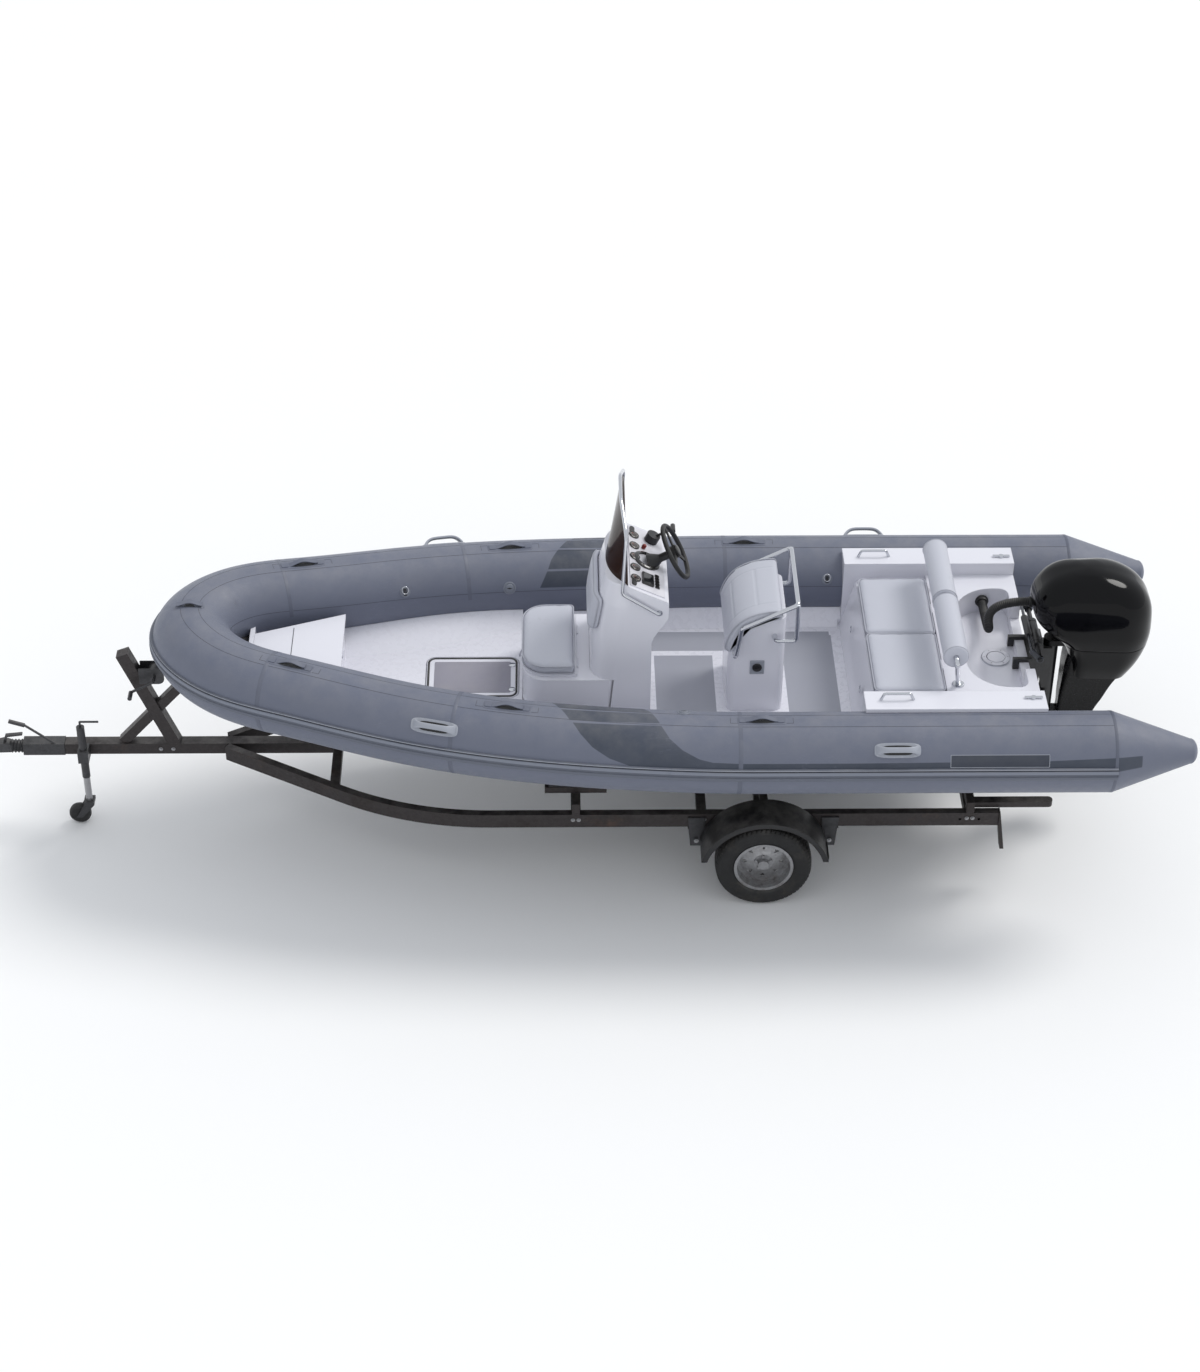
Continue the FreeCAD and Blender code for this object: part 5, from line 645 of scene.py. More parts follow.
def dressed(name, look):
    """A finish from its look: base colour, then patches, dust and scuffs over it, roughness that follows
    them, and grain or weave as height."""
    material, t, shader = blank(name)
    where = t.add("ShaderNodeTexCoord").outputs
    place = where["Object"]
    colour, rough, metal, height = look.colour, None, look.metal, None
    if look.pattern:
        colour, rough, metal, height = look.pattern(t, where, look)
    soil = effect(t, "soiling", Vector=place, Scale=look.soil_scale, Amount=look.soil_amount)
    colour = t.mix(soil, colour, look.soil or lighter(look.colour, 0.45))
    if look.dust:
        colour = t.mix(effect(t, "dust", Vector=place, Scale=DUST_SCALE, Amount=look.dust), colour,
                       DUST_COLOUR)
    if look.scuffs:
        mask = t.calc("MULTIPLY", effect(t, "scuffs", Vector=place, Scale=SCUFF_SCALE), look.scuffs)
        colour = t.mix(mask, colour, lighter(look.colour, 1.6, 0.06))
    t.feed(shader.inputs["Base Color"], colour)
    spread = t.range(t.noise(place, GLOSS_SCALE, 4.0), 0.25, 0.75,
                     max(0.02, look.rough - look.rough_spread), min(1, look.rough + look.rough_spread))
    if rough is not None:
        spread = t.calc("ADD", spread, rough, clamp=True)
    t.feed(shader.inputs["Roughness"], t.calc("MULTIPLY_ADD", soil, SOIL_DULLS, spread, clamp=True))
    t.feed(shader.inputs["Metallic"], metal)
    for label, value in (("Coat Weight", look.coat), ("Sheen Weight", look.sheen),
                         ("Transmission Weight", look.transmission),
                         ("Specular IOR Level", look.specular), ("IOR", look.ior),
                         ("Coat Roughness", COAT_ROUGH)):
        t.feed(shader.inputs[label], value)
    normal = None
    if look.edge:
        normal = t.call("ShaderNodeBevel", "Normal", {"samples": EDGE_SAMPLES}, Radius=look.edge)
    reliefs = [height] if height is not None else []
    if look.grain:
        reliefs.append(effect(t, "grain", Vector=place, Scale=float(look.grain)))
    if look.weave:
        reliefs.append(effect(t, "weave", Vector=where["UV"], Threads=float(look.weave)))
    if reliefs:
        height = reliefs[0]
        for relief in reliefs[1:]:
            height = t.calc("ADD", height, relief)
        bump = t.add("ShaderNodeBump")
        bump.inputs["Distance"].default_value = look.grain_rise or PLAIN_RISE
        bump.inputs["Strength"].default_value = 1.0
        t.feed(bump.inputs["Height"], height)
        if normal:
            t.feed(bump.inputs["Normal"], normal)
        normal = bump.outputs[0]
    if normal:
        t.feed(shader.inputs["Normal"], normal)
    return material


def curve_of(t, value, pairs):
    """A curve node through pairs, both axes 0 to 1."""
    node = t.add("ShaderNodeFloatCurve")
    line = node.mapping.curves[0]
    line.points[0].location, line.points[1].location = pairs[0], pairs[-1]
    for x, y in pairs[1:-1]:
        line.points.new(x, y)
    for point in line.points:
        point.handle_type = "VECTOR"
    node.mapping.update()
    t.feed(node.inputs["Value"], value)
    return node.outputs[0]


# The collar's bands: curves of degrees up and metres ahead, gaps as middle, place, slope and half-width
AHEAD_LOW, AHEAD_SPAN = -2.4, 4.0
STRIPE_FORE = ((12, 0.687), (14, 0.776), (24, 0.909), (38, 1.011), (55.6, 1.087), (72, 1.137), (76, 1.156),
               (98.6, 1.222), (104, 1.24), (119, 1.283), (134, 1.31), (161, 1.371), (180, 1.40))
STRIPE_AFT = ((0, -2.3), (17.5, -2.3), (19.2, -0.6), (20.5, 0.134), (22.6, 0.267), (28.3, 0.375),
              (40.4, 0.477), (55.6, 0.553), (74.3, 0.604), (80.5, 0.617), (105.5, 0.674), (117, 0.706),
              (134, 0.74), (180, 0.86))
STRIPE_LOW, STRIPE_HIGH = 13.0, 161.5
LOWER_TOP = ((-2.4, 30.5), (-2.145, 29.0), (-1.72, 25.0), (-0.58, 23.0), (0.134, 23.0), (0.28, 24.0),
             (1.6, 24.0))
LOWER_ENDS = (-2.30, 0.30)
STRIPE_GAPS = ((77.6, 0.6, -6.3, 2.2), (103.0, 0.6, -6.5, 1.5), (135.5, 1.2, 0.0, 1.6))
PATCH_ENDS = (-1.727, -1.131)
PATCH_FOOT, PATCH_TOP = 16.4, 34.0
# painted light on the strake, as bands of its section's length: a highlight on the upper rib, shade in the
# groove under the narrow rib, a highlight along the narrow rib's top
STRAKE_GROOVE_SHADE, STRAKE_RIB_HIGHLIGHT, STRAKE_TOP_HIGHLIGHT = (0.0945, 0.1020), (0.068, 0.089), (0.1045, 0.1075)
WEAVE_THREADS = 260.0
END_SOFT, SIDE_SOFT, BAND_FOOT, BAND_TALL = 0.002, 0.3, 8.0, 40.0


def tube_pattern(t, where, look):
    """Darker bands on the collar from its own map: distance ahead and degrees up from the outer side.
    A band lies between a fore and an aft curve of the degrees, and thin gaps part it."""
    ahead, turn, _ = t.split(where["UV"])
    degrees = t.calc("MULTIPLY", turn, 360.0)
    share = t.calc("DIVIDE", degrees, 180.0)
    ends = []
    for pairs in (STRIPE_FORE, STRIPE_AFT):
        shares = [(a / 180, (s - AHEAD_LOW) / AHEAD_SPAN) for a, s in pairs]
        ends.append(t.calc("MULTIPLY_ADD", curve_of(t, share, shares), AHEAD_SPAN, AHEAD_LOW))
    fore = t.range(t.calc("SUBTRACT", ends[0], ahead), -END_SOFT, END_SOFT)
    aft = t.range(t.calc("SUBTRACT", ahead, ends[1]), -END_SOFT, END_SOFT)
    band = t.calc("MULTIPLY", t.calc("MULTIPLY", fore, aft),
                  t.between(degrees, STRIPE_LOW, STRIPE_HIGH, SIDE_SOFT))
    for middle, at, slope, half in STRIPE_GAPS:
        line = t.calc("MULTIPLY_ADD", t.calc("SUBTRACT", ahead, at), slope, middle)
        off = t.calc("ABSOLUTE", t.calc("SUBTRACT", degrees, line))
        band = t.calc("MULTIPLY", band, t.range(off, half - SIDE_SOFT, half + SIDE_SOFT))
    along = t.calc("DIVIDE", t.calc("SUBTRACT", ahead, AHEAD_LOW), AHEAD_SPAN)
    tops = [((s - AHEAD_LOW) / AHEAD_SPAN, a / 180) for s, a in LOWER_TOP]
    edge = t.calc("MULTIPLY", curve_of(t, along, tops), 180.0)
    lower = t.between(t.calc("SUBTRACT", edge, degrees), 0.0, BAND_TALL, SIDE_SOFT)
    lower = t.calc("MULTIPLY", lower, t.between(ahead, *LOWER_ENDS, END_SOFT))
    lower = t.calc("MULTIPLY", lower, t.range(degrees, BAND_FOOT, BAND_FOOT + 1.0))
    band = t.calc("MAXIMUM", band, lower)
    colour = t.mix(band, look.colour, tuple(bpy.context.scene.boat_colours.stripe))
    plate = t.calc("MULTIPLY", t.between(ahead, *PATCH_ENDS, 0.001),
                   t.between(degrees, BAND_FOOT, PATCH_TOP, SIDE_SOFT))
    colour = t.mix(plate, colour, srgb(40, 46, 58))
    # a sun-bleached tone, broad and faint
    tone = t.range(t.noise(where["Object"], 1.3, 3.0), 0.3, 0.7, 0.0, 0.22)
    colour = t.mix(tone, colour, lighter(look.colour, 1.25))
    cloth = t.call("ShaderNodeMapping", "Vector", None, Vector=where["UV"],
                   Scale=(1.0, 2 * math.pi * TUBE_R, 1.0))
    relief = effect(t, "weave", Vector=cloth, Threads=WEAVE_THREADS)
    return colour, t.range(band, 0.0, 1.0, 0.0, 0.10), look.metal, relief


# Non-slip panels: X and Y bounds, Y on both sides where it doesn't cross the middle
FLOOR_PANELS = ((-1.66, 0.30, 0.39, 0.60), (-1.67, -1.34, -0.56, 0.56), (-0.88, -0.50, -0.34, 0.34))
FLOOR_LEVEL = (1.012, 1.016)


def floor_pattern(t, where, look):
    """Grey non-slip panels let into the white floor, by place, with a fine diamond relief on them."""
    x, y, z = t.split(where["Object"])
    level = t.range(z, *FLOOR_LEVEL, 1.0, 0.0)
    half = t.calc("ABSOLUTE", y)
    masks = [t.calc("MULTIPLY", t.between(x, x0, x1), t.between(half if y0 > 0 else y, y0, y1))
             for x0, x1, y0, y1 in FLOOR_PANELS]
    panel = masks[0]
    for other in masks[1:]:
        panel = t.calc("MAXIMUM", panel, other)
    panel = t.calc("MULTIPLY", panel, level)
    diamonds = t.call("ShaderNodeTexVoronoi", "Distance", {"distance": "MANHATTAN", "feature": "F1"},
                      Vector=where["Object"], Scale=150.0, Randomness=0.0)
    colour = t.mix(panel, look.colour, srgb(158, 160, 170))
    return colour, t.calc("MULTIPLY", panel, 0.35), look.metal, t.calc("MULTIPLY", diamonds, panel)


def split_pattern(half, other, soft=0.0005):
    """A second look further than a half-width from the middle: its colour, roughness and metal."""
    def paint(t, where, look):
        off = t.calc("ABSOLUTE", t.split(where["Object"])["Y"])
        mask = t.range(off, half - soft, half + soft)
        colour = t.mix(mask, look.colour, other.colour)
        metal = t.mix(mask, float(look.metal), float(other.metal), "FLOAT")
        return colour, t.calc("MULTIPLY", mask, other.rough - look.rough), metal, None
    return paint


def galvanised(t, where, look):
    """Zinc spangle: flat cells of slightly different tone, dulled in patches."""
    cells = t.call("ShaderNodeTexVoronoi", "Color", None, Vector=where["Object"], Scale=70.0)
    tone = t.range(t.split(cells)[0], 0.0, 1.0, 0.0, 0.45)
    colour = t.mix(tone, look.colour, lighter(look.colour, 1.5))
    rust = effect(t, "soiling", Vector=where["Object"], Scale=2.2, Amount=0.18)
    return t.mix(rust, colour, srgb(96, 74, 62)), t.calc("MULTIPLY", tone, -0.2), look.metal, None


def strake_pattern(t, where, look):
    """Bands along the strake from the map's second value: its section's own length."""
    v = t.split(where["UV"])[1]
    colour = look.colour
    # painted highlight on the upper rib, painted shade in the groove, painted highlight on the narrow rib's
    # top
    for bounds, soft, band in ((STRAKE_RIB_HIGHLIGHT, 0.002, srgb(122, 127, 140)),
                               (STRAKE_GROOVE_SHADE, 0.001, srgb(44, 48, 58)),
                               (STRAKE_TOP_HIGHLIGHT, 0.0006, srgb(190, 194, 204))):
        colour = t.mix(t.between(v, *bounds, soft), colour, band)
    return colour, None, look.metal, None


def dial_pattern(t, where, look):
    """A gauge face: tick marks every thirtieth of the turn, a rim line and a needle, from the map."""
    u, v, _ = t.split(where["UV"])
    ticks = t.between(t.calc("FRACT", t.calc("MULTIPLY", u, 30.0)), 0.0, 0.22, 0.02)
    ring = t.between(v, 0.72, 0.9, 0.01)
    needle = t.calc("MULTIPLY", t.between(u, 0.385, 0.402, 0.002), t.between(v, 0.0, 0.8, 0.01))
    colour = t.mix(t.calc("MULTIPLY", ticks, ring), look.colour, srgb(230, 226, 215))
    colour = t.mix(needle, colour, srgb(214, 70, 40))
    return colour, None, look.metal, None


def looks():
    """Every finish by name, from the colours that a user may set."""
    c = bpy.context.scene.boat_colours
    return {
        "tube_fabric": Look(tuple(c.tube), 0.50, grain=900, grain_rise=0.00025, soil_amount=0.12,
                            soil_scale=1.6, dust=0.16, scuffs=0.25, sheen=0.08, pattern=tube_pattern),
        "tape_fabric": Look(tuple(v * 0.86 for v in c.tube), 0.52, grain=900, grain_rise=0.00025, dust=0.15,
                            scuffs=0.2),
        "seam_line": Look(srgb(56, 60, 70), 0.6, grain=900, grain_rise=0.0002, dust=0.1),
        "strake_rubber": Look(tuple(c.strake), 0.5, grain=700, grain_rise=0.0003, dust=0.2, scuffs=0.5,
                              soil_amount=0.15, pattern=strake_pattern),
        "black_gelcoat": Look(srgb(20, 21, 25), 0.22, coat=0.4, scuffs=0.5, soil_amount=0.15, dust=0.3,
                              grain=60, grain_rise=0.0002, edge=0.004),
        "white_gelcoat": Look(tuple(c.gelcoat), 0.24, coat=0.35, soil_amount=0.02, soil=srgb(204, 202, 200),
                              dust=0.02, rough_spread=0.03, grain=500, grain_rise=0.00004, edge=0.007),
        "deck_gelcoat": Look(tuple(c.gelcoat), 0.28, coat=0.25, soil_amount=0.03,
                             soil=srgb(196, 194, 190), dust=0.03, rough_spread=0.04, grain_rise=0.0005,
                             edge=0.006, pattern=floor_pattern),
        "insert_weave": Look(tuple(c.hatch), 0.6, grain=300, grain_rise=0.0006, weave=170, dust=0.2,
                             soil_amount=0.15),
        "cushion_vinyl": Look(tuple(c.vinyl), 0.44, grain=520, grain_rise=0.0004, soil_amount=0.10,
                              soil=srgb(150, 150, 156), sheen=0.05, scuffs=0.1),
        "welt_vinyl": Look(tuple(v * 0.82 for v in c.vinyl), 0.42, grain=600, grain_rise=0.0002),
        "black_plastic": Look(srgb(24, 24, 27), 0.36, grain=420, grain_rise=0.0003, dust=0.12, scuffs=0.3,
                              edge=0.002),
        "dash_gelcoat": Look(srgb(222, 221, 228), 0.22, coat=0.4, dust=0.1, grain=60, grain_rise=0.0001,
                             edge=0.003),
        "smoked_acrylic": Look(srgb(62, 44, 38), 0.08, rough_spread=0.02, scuffs=0.1, transmission=0.55,
                               specular=0.2, ior=1.12),
        "grip_rubber": Look(srgb(22, 22, 23), 0.55, grain=700, grain_rise=0.0005, dust=0.08),
        "stainless": Look(srgb(205, 207, 212), 0.16, 1.0, 0.06, scuffs=0.4, soil_amount=0.1),
        "dull_steel": Look(srgb(96, 98, 102), 0.3, 1.0, scuffs=0.5, soil_amount=0.2),
        # painted shade: this dark finish colours only the patches under the strap arches
        "webbing": Look(srgb(34, 36, 41), 0.78, weave=420, grain_rise=0.0006, dust=0.15, sheen=0.2,
                        soil_amount=0.15),
        "handle_pad": Look(tuple(v * 0.93 for v in c.tube), 0.46, grain=900, grain_rise=0.0002, dust=0.12),
        "handle_moulding": Look(srgb(158, 162, 172), 0.4, grain=500, grain_rise=0.0003, dust=0.15,
                                scuffs=0.4),
        "fitting_plastic": Look(srgb(120, 125, 136), 0.45, grain=500, grain_rise=0.0003, dust=0.15),
        "engine_gloss": Look(srgb(7, 7, 9), 0.09, rough_spread=0.02, coat=0.06, scuffs=0.04, specular=0.16,
                             grain=14, grain_rise=0.0001),
        "engine_paint": Look(srgb(9, 9, 11), 0.26, dust=0.04, scuffs=0.3, soil_amount=0.12,
                             specular=0.2, grain=90, grain_rise=0.0002, edge=0.003),
        "bracket_paint": Look(srgb(22, 22, 25), 0.34, coat=0.2, dust=0.15, scuffs=0.5, soil_amount=0.2,
                              grain=160, grain_rise=0.0003, edge=0.003),
        "propeller_metal": Look(srgb(24, 25, 28), 0.24, coat=0.4, scuffs=0.8, soil_amount=0.2, grain=60,
                                grain_rise=0.0002, edge=0.002),
        "hose_rubber": Look(srgb(17, 17, 18), 0.46, grain=500, grain_rise=0.0003, dust=0.18),
        # painted shade: the dark base colour stands for the galvanised steel as it looks in shade
        "trailer_steel": Look(srgb(56, 52, 52), 0.5, 0.5, grain=240, grain_rise=0.0004, dust=0.3, scuffs=0.5,
                              soil_amount=0.3, soil=srgb(52, 46, 44), edge=0.004, pattern=galvanised),
        "bunk_carpet": Look(srgb(38, 38, 42), 0.95, grain=900, grain_rise=0.0025, dust=0.25, sheen=0.3,
                            soil_amount=0.2),
        "roller_rubber": Look(srgb(26, 26, 27), 0.6, grain=400, grain_rise=0.0004, dust=0.3, scuffs=0.3,
                              pattern=split_pattern(0.0702, Look(srgb(110, 108, 106), 0.5, 0.7))),
        "tyre_rubber": Look(srgb(25, 25, 26), 0.68, grain=420, grain_rise=0.0005, dust=0.35, soil_amount=0.25,
                            soil=srgb(64, 60, 55)),
        "rim_steel": Look(srgb(150, 150, 152), 0.42, 0.75, grain=200, grain_rise=0.0003, soil_amount=0.25,
                          soil=srgb(98, 90, 84), scuffs=0.3, edge=0.003, pattern=galvanised),
        "fender_plastic": Look(srgb(24, 24, 26), 0.4, grain=300, grain_rise=0.0004, dust=0.3, scuffs=0.4,
                               soil_amount=0.15, edge=0.002),
        "coupling_steel": Look(srgb(66, 66, 68), 0.45, 0.6, grain=240, grain_rise=0.0004, dust=0.2,
                               scuffs=0.5, soil_amount=0.25, edge=0.003, pattern=galvanised),
        "bolt_zinc": Look(srgb(168, 168, 170), 0.34, 0.9, grain=300, grain_rise=0.0002, soil_amount=0.2),
        "rubber_trim": Look(srgb(20, 20, 22), 0.5, grain=500, grain_rise=0.0003, dust=0.15),
        "grip_red": Look(srgb(132, 34, 28), 0.42, grain=400, grain_rise=0.0003, dust=0.15),
        "dial_face": Look(srgb(40, 24, 20), 0.18, coat=0.8, pattern=dial_pattern),
        "dial_bezel": Look(srgb(24, 22, 22), 0.22, coat=0.5, grain=300, grain_rise=0.0001),
        "display_glass": Look(srgb(20, 22, 26), 0.08, coat=1.0, rough_spread=0.02, dust=0.04),
        "strap_webbing": Look(srgb(46, 48, 54), 0.8, weave=300, grain_rise=0.0008, dust=0.2, sheen=0.2),
    }


FINISHED = {}


def finished(name):
    """The finish of that name, built at its first use."""
    if not FINISHED.get("looks"):
        FINISHED["looks"] = looks()
    if name not in FINISHED:
        FINISHED[name] = dressed(name, FINISHED["looks"][name])
    return FINISHED[name]


# ---- pieces

FINISH_NODES = {
    "black_gelcoat": ["hull"],
    "deck_gelcoat": ["deck_liner"],
    "white_gelcoat": ["deck_hatch", "bow_locker", "console_body", "console_seat_box", "console_seat_lid",
                      "seat_pod", "bench_base", "bench_lid", "aft_moulding"],
    "dash_gelcoat": ["dash_panel"],
    "smoked_acrylic": ["windscreen"],
    "black_plastic": ["helm_hub", "throttle"],
    "grip_rubber": ["steering_wheel", "jockey_wheel"],
    "stainless": ["screen_rail", "seat_rail", "backrest_bar", "deck_fittings"],
    "bracket_paint": ["engine_clamp", "engine_swivel", "steering_ram"],
    "dull_steel": ["steering_rod"],
    "engine_paint": ["engine_leg"],
    "propeller_metal": ["propeller"],
    "trailer_steel": ["trailer_side_rails", "trailer_drawbar", "trailer_cross_members", "bunk_posts",
                      "trailer_axle", "light_brackets", "winch_post"],
    "bunk_carpet": ["bunks"],
    "roller_rubber": ["keel_rollers"],
    "rim_steel": ["rim_port", "rim_starboard"],
    "coupling_steel": ["leaf_springs", "jockey_outer", "jockey_fork", "coupling", "winch"],
    "fender_plastic": ["fenders"],
    "bolt_zinc": ["jockey_leg"],
}


def build_finishes():
    """Puts each CAD node's finish in its material slots."""
    for finish, nodes in FINISH_NODES.items():
        for node in nodes:
            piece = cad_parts[node]
            for slot in piece.material_slots:
                slot.material = finished(finish)
            if not piece.material_slots:
                piece.data.materials.append(finished(finish))


SEAMS, SEAM_HALF, SEAM_RISE = (77.0, 103.0, 166.0), 0.0012, 0.0006
JOINTS, JOINT_HALF, JOINT_RISE = (0.13, 1.85, 3.05), 0.014, 0.0007
CONE_TAPE_HALF, CONE_TAPE_RISE = 0.016, 0.0009
STRAP_X = (0.0, 1538.0, 2866.0)
PAD_LINE_HALF_L, PAD_LINE_DEGREES, PAD_LINE_HALF = 0.19, (96, 84), 0.0011
PATCH_LINE_HALF, LINE_RISE = 0.0018, 0.0008


def build_collar():
    """The collar: a circle carried along the centreline from stern cone to stern cone, its radius
    falling down each cone and over its rounded cap. Seam lines and tapes lie on its skin."""
    cap = np.linspace(0, math.pi / 2, 9)[1:]
    cone = np.linspace(0, CONE_L, 24)[1:]
    back = np.concatenate([cone, CONE_L + CAP_L * np.sin(cap)])
    radius = np.concatenate([TUBE_R + (CONE_TIP_R - TUBE_R) * cone / CONE_L,
                             CONE_TIP_R * np.cos(cap) + 0.001])
    tail = np.outer(-back, X_AXIS)
    path = np.vstack([LINE[0] + tail[::-1], LINE, LINE[-1] + tail])
    r = np.concatenate([radius[::-1], np.full(len(LINE), TUBE_R), radius])[:, None, None]
    s = np.concatenate([(-STRAIGHT - back)[::-1], AHEAD, -STRAIGHT - back])
    step = np.gradient(LINE, axis=0)
    flat = unit(np.stack([-step[:, 1], step[:, 0], np.zeros(len(LINE))], -1))
    flat = np.pad(flat, ((len(back), len(back)), (0, 0)), mode="edge")
    degrees = np.linspace(0, 360, 121)
    angle = np.radians(degrees[:-1])[:, None]
    grid = path[:, None] + r * (np.cos(angle) * flat[:, None] + np.sin(angle) * Z_AXIS)
    uv = np.stack(np.broadcast_arrays(s[:, None], degrees / 360), -1)
    Form().skin(grid, uv=uv).make("collar", "rig", "tube_fabric", "tube_fabric", 60, ["tube_collar"])

    trim = Form()
    run = np.concatenate([np.linspace(-STRAIGHT + 0.01, 0, 30)[:-1], np.linspace(0, AHEAD.max(), 160)])
    for _, side in SIDES:
        for seam in SEAMS:
            tape(trim, run, seam, SEAM_HALF, SEAM_RISE, side, mark=1)
        for joint in JOINTS:
            tape(trim, joint, np.linspace(-58, 176, 70), JOINT_HALF, JOINT_RISE, side, across=True)
        tape(trim, -STRAIGHT + 0.004, np.linspace(0, 360, 90), CONE_TAPE_HALF, CONE_TAPE_RISE, side,
             across=True)
        for x in STRAP_X:
            low, high = ahead_at(x) - PAD_LINE_HALF_L, ahead_at(x) + PAD_LINE_HALF_L
            line = {"half_w": PAD_LINE_HALF, "lift": LINE_RISE, "side": side, "mark": 1}
            tape(trim, low, np.linspace(*PAD_LINE_DEGREES, 20), across=True, **line)
            tape(trim, np.linspace(low, high, 20), PAD_LINE_DEGREES[1], **line)
            tape(trim, high, np.linspace(*PAD_LINE_DEGREES[::-1], 20), across=True, **line)
    for _, side in SIDES:
        line = {"half_w": PATCH_LINE_HALF, "lift": LINE_RISE, "side": side, "mark": 2}
        for edge in (PATCH_TOP, PATCH_FOOT):
            tape(trim, np.linspace(*PATCH_ENDS, 30), edge, **line)
        for end in PATCH_ENDS:
            tape(trim, end, np.linspace(PATCH_FOOT, PATCH_TOP, 30), across=True, **line)
    trim.make("collar_tapes", "rig", ["tape_fabric", "seam_line", "handle_moulding"], "tube_fabric", 50)


STRAKE_SECTION = ((0.0003, -3.9), (0.012, -3.3), (0.017, -2.4), (0.0195, -1.2), (0.0198, 1.0),
                  (0.0185, 2.3), (0.0125, 3.0), (0.0115, 4.4), (0.0125, 5.8), (0.0185, 6.5),
                  (0.0198, 7.6), (0.0198, 9.6), (0.0185, 10.6), (0.0110, 11.2), (0.0100, 12.2),
                  (0.0140, 12.9), (0.0140, 13.7), (0.0100, 14.3), (0.0003, 14.9))


def build_strake():
    """The rubbing strake: a section of two broad ribs and a narrow one carried round the collar."""
    lift, degrees = np.transpose(STRAKE_SECTION)
    port = on_tube(AHEAD[:HALF, None], degrees, lift)
    Form().skin(np.vstack([port, port[-2::-1] * [1, -1, 1]])).make(
        "rubbing_band", "rig", "strake_rubber", "strake_rubber", 35, ["rubbing_strake"])


STRAP_HALF_W, STRAP_THICK = 0.020, 0.005
# the middle patch is painted shade: a dark patch where the strap arch's shade falls on the pad
PAD, STRAP_SHADE_PATCH, TAB = (0.150, 0.040, 0.0016), (0.082, 0.026, 0.0032), (0.022, 0.024, 0.0056)
ARCH_HALF_L, TAB_OUT, STEM_ARCH_HALF_L = 0.098, 0.116, 0.082


def strap_arch(form, seat, out, along, half_l, rise):
    """A flat strap sprung into an arch: its height is the rise times the squared cosine of its share."""
    u = np.linspace(-1, 1, 33)
    height = rise * np.cos(math.pi / 2 * u) ** 2
    path = np.stack([u * half_l, 0 * u, height + STRAP_THICK], -1)
    flat, face = STRAP_HALF_W * 0.96, STRAP_THICK / 2
    section = [(STRAP_HALF_W, 0), (flat, face), (-flat, face), (-STRAP_HALF_W, 0), (-flat, -face),
               (flat, -face)]
    form.skin(placed(carried(path, section, Y_AXIS), seat, out, along), mark=1)


def build_webbing():
    """Strap handles: a bonded pad on the skin, a strap arch over it and a moulded tab at each end."""
    form = Form()
    for _, side in SIDES:
        for x in STRAP_X:
            here = ahead_at(x)
            patch(form, here, 90, *PAD, side, 0.2, mark=1)
            # painted shade under the strap arch, in the dark finish named webbing
            patch(form, here, 90, *STRAP_SHADE_PATCH, side, 0.75)
            strap_arch(form, *tube_seat(x, 90, side), ARCH_HALF_L, 0.024)
            for end in (-TAB_OUT, TAB_OUT):
                patch(form, here + end, 90, *TAB, side, 0.4, mark=1)
    stem = datum(BOW_REACH * 1000, 0, BOW_RISE * 1000)
    strap_arch(form, stem, Z_AXIS, X_AXIS, STEM_ARCH_HALF_L, 0.022)
    pad = turned([(0.001, -0.012), (0.060, -0.012), (0.062, 0.0005), (0.058, 0.002), (0.001, 0.0022)],
                 40) * [1.5, 0.62, 1.0]
    pad[..., 2] -= (0.5 * pad[..., 1] ** 2 + 0.42 * pad[..., 0] ** 2) / TUBE_R
    form.skin(placed(pad, stem, Z_AXIS, X_AXIS), mark=1)
    # painted shade: a dark inner disc under the stem strap
    form.skin(placed(pad * [0.72, 0.62, 1.0] + [0, 0, 0.0016], stem, Z_AXIS, X_AXIS))
    # the first finish, named webbing, colours only the painted shade under the straps
    form.make("strap_handles", "rig", ["webbing", "handle_pad", "handle_moulding"], "webbing", 50,
              ["webbing_handles"])


CARRY_X, CARRY_DEGREES = (1940.0, -810.0), 41
# the second patch is painted shade: a dark patch under the grip where its shade falls
FLANGE, GRIP_SHADE_PATCH = (0.142, 0.046, 0.006), (0.096, 0.030, 0.0075)
GRIP_HALF_L, GRIP_RISE, GRIP_HALF_THICK = 0.124, 0.050, 0.0095
FOOT_SCREW_OUT, FOOT_SCREW_ACROSS = 0.12544, 0.0088


def build_carry():
    """Moulded carrying handles: an oval flange on the skin and a grip arched over it, whose height is
    one less the 4.5th power of its share, with two screws in each foot."""
    form = Form()
    u = np.linspace(-1, 1, 41)
    path = np.stack([u * GRIP_HALF_L, 0 * u, GRIP_RISE * (1 - np.abs(u) ** 4.5) + 0.002], -1)
    grip = carried(path, np.stack(superellipse(20, 0.7), -1) * [1.0, GRIP_HALF_THICK], Y_AXIS)
    grip[..., 1] *= (0.017 + 0.016 * np.abs(u) ** 5)[:, None]
    head = turned([(0.001, 0.0), (0.0055, 0.0), (0.005, 0.003), (0.001, 0.0042)], 12)
    for _, side in SIDES:
        for x in CARRY_X:
            here = ahead_at(x)
            seat, out, along = tube_seat(x, CARRY_DEGREES, side)
            patch(form, here, CARRY_DEGREES, *FLANGE, side, 0.75)
            # painted shade: a dark patch under the grip, in rubber_trim
            patch(form, here, CARRY_DEGREES, *GRIP_SHADE_PATCH, side, 0.75, mark=1)
            form.skin(placed(grip, seat, out, along))
            for end in (-FOOT_SCREW_OUT, FOOT_SCREW_OUT):
                for across in (-FOOT_SCREW_ACROSS, FOOT_SCREW_ACROSS):
                    spot = seat + along * end + np.cross(out, along) * across + out * 0.0045
                    form.skin(placed(head, spot, out, along), mark=2)
    # rubber_trim here colours the painted shade under the grips
    form.make("carrying_handles", "rig", ["handle_moulding", "rubber_trim", "bolt_zinc"],
              "handle_moulding", 45, ["carry_handles"])


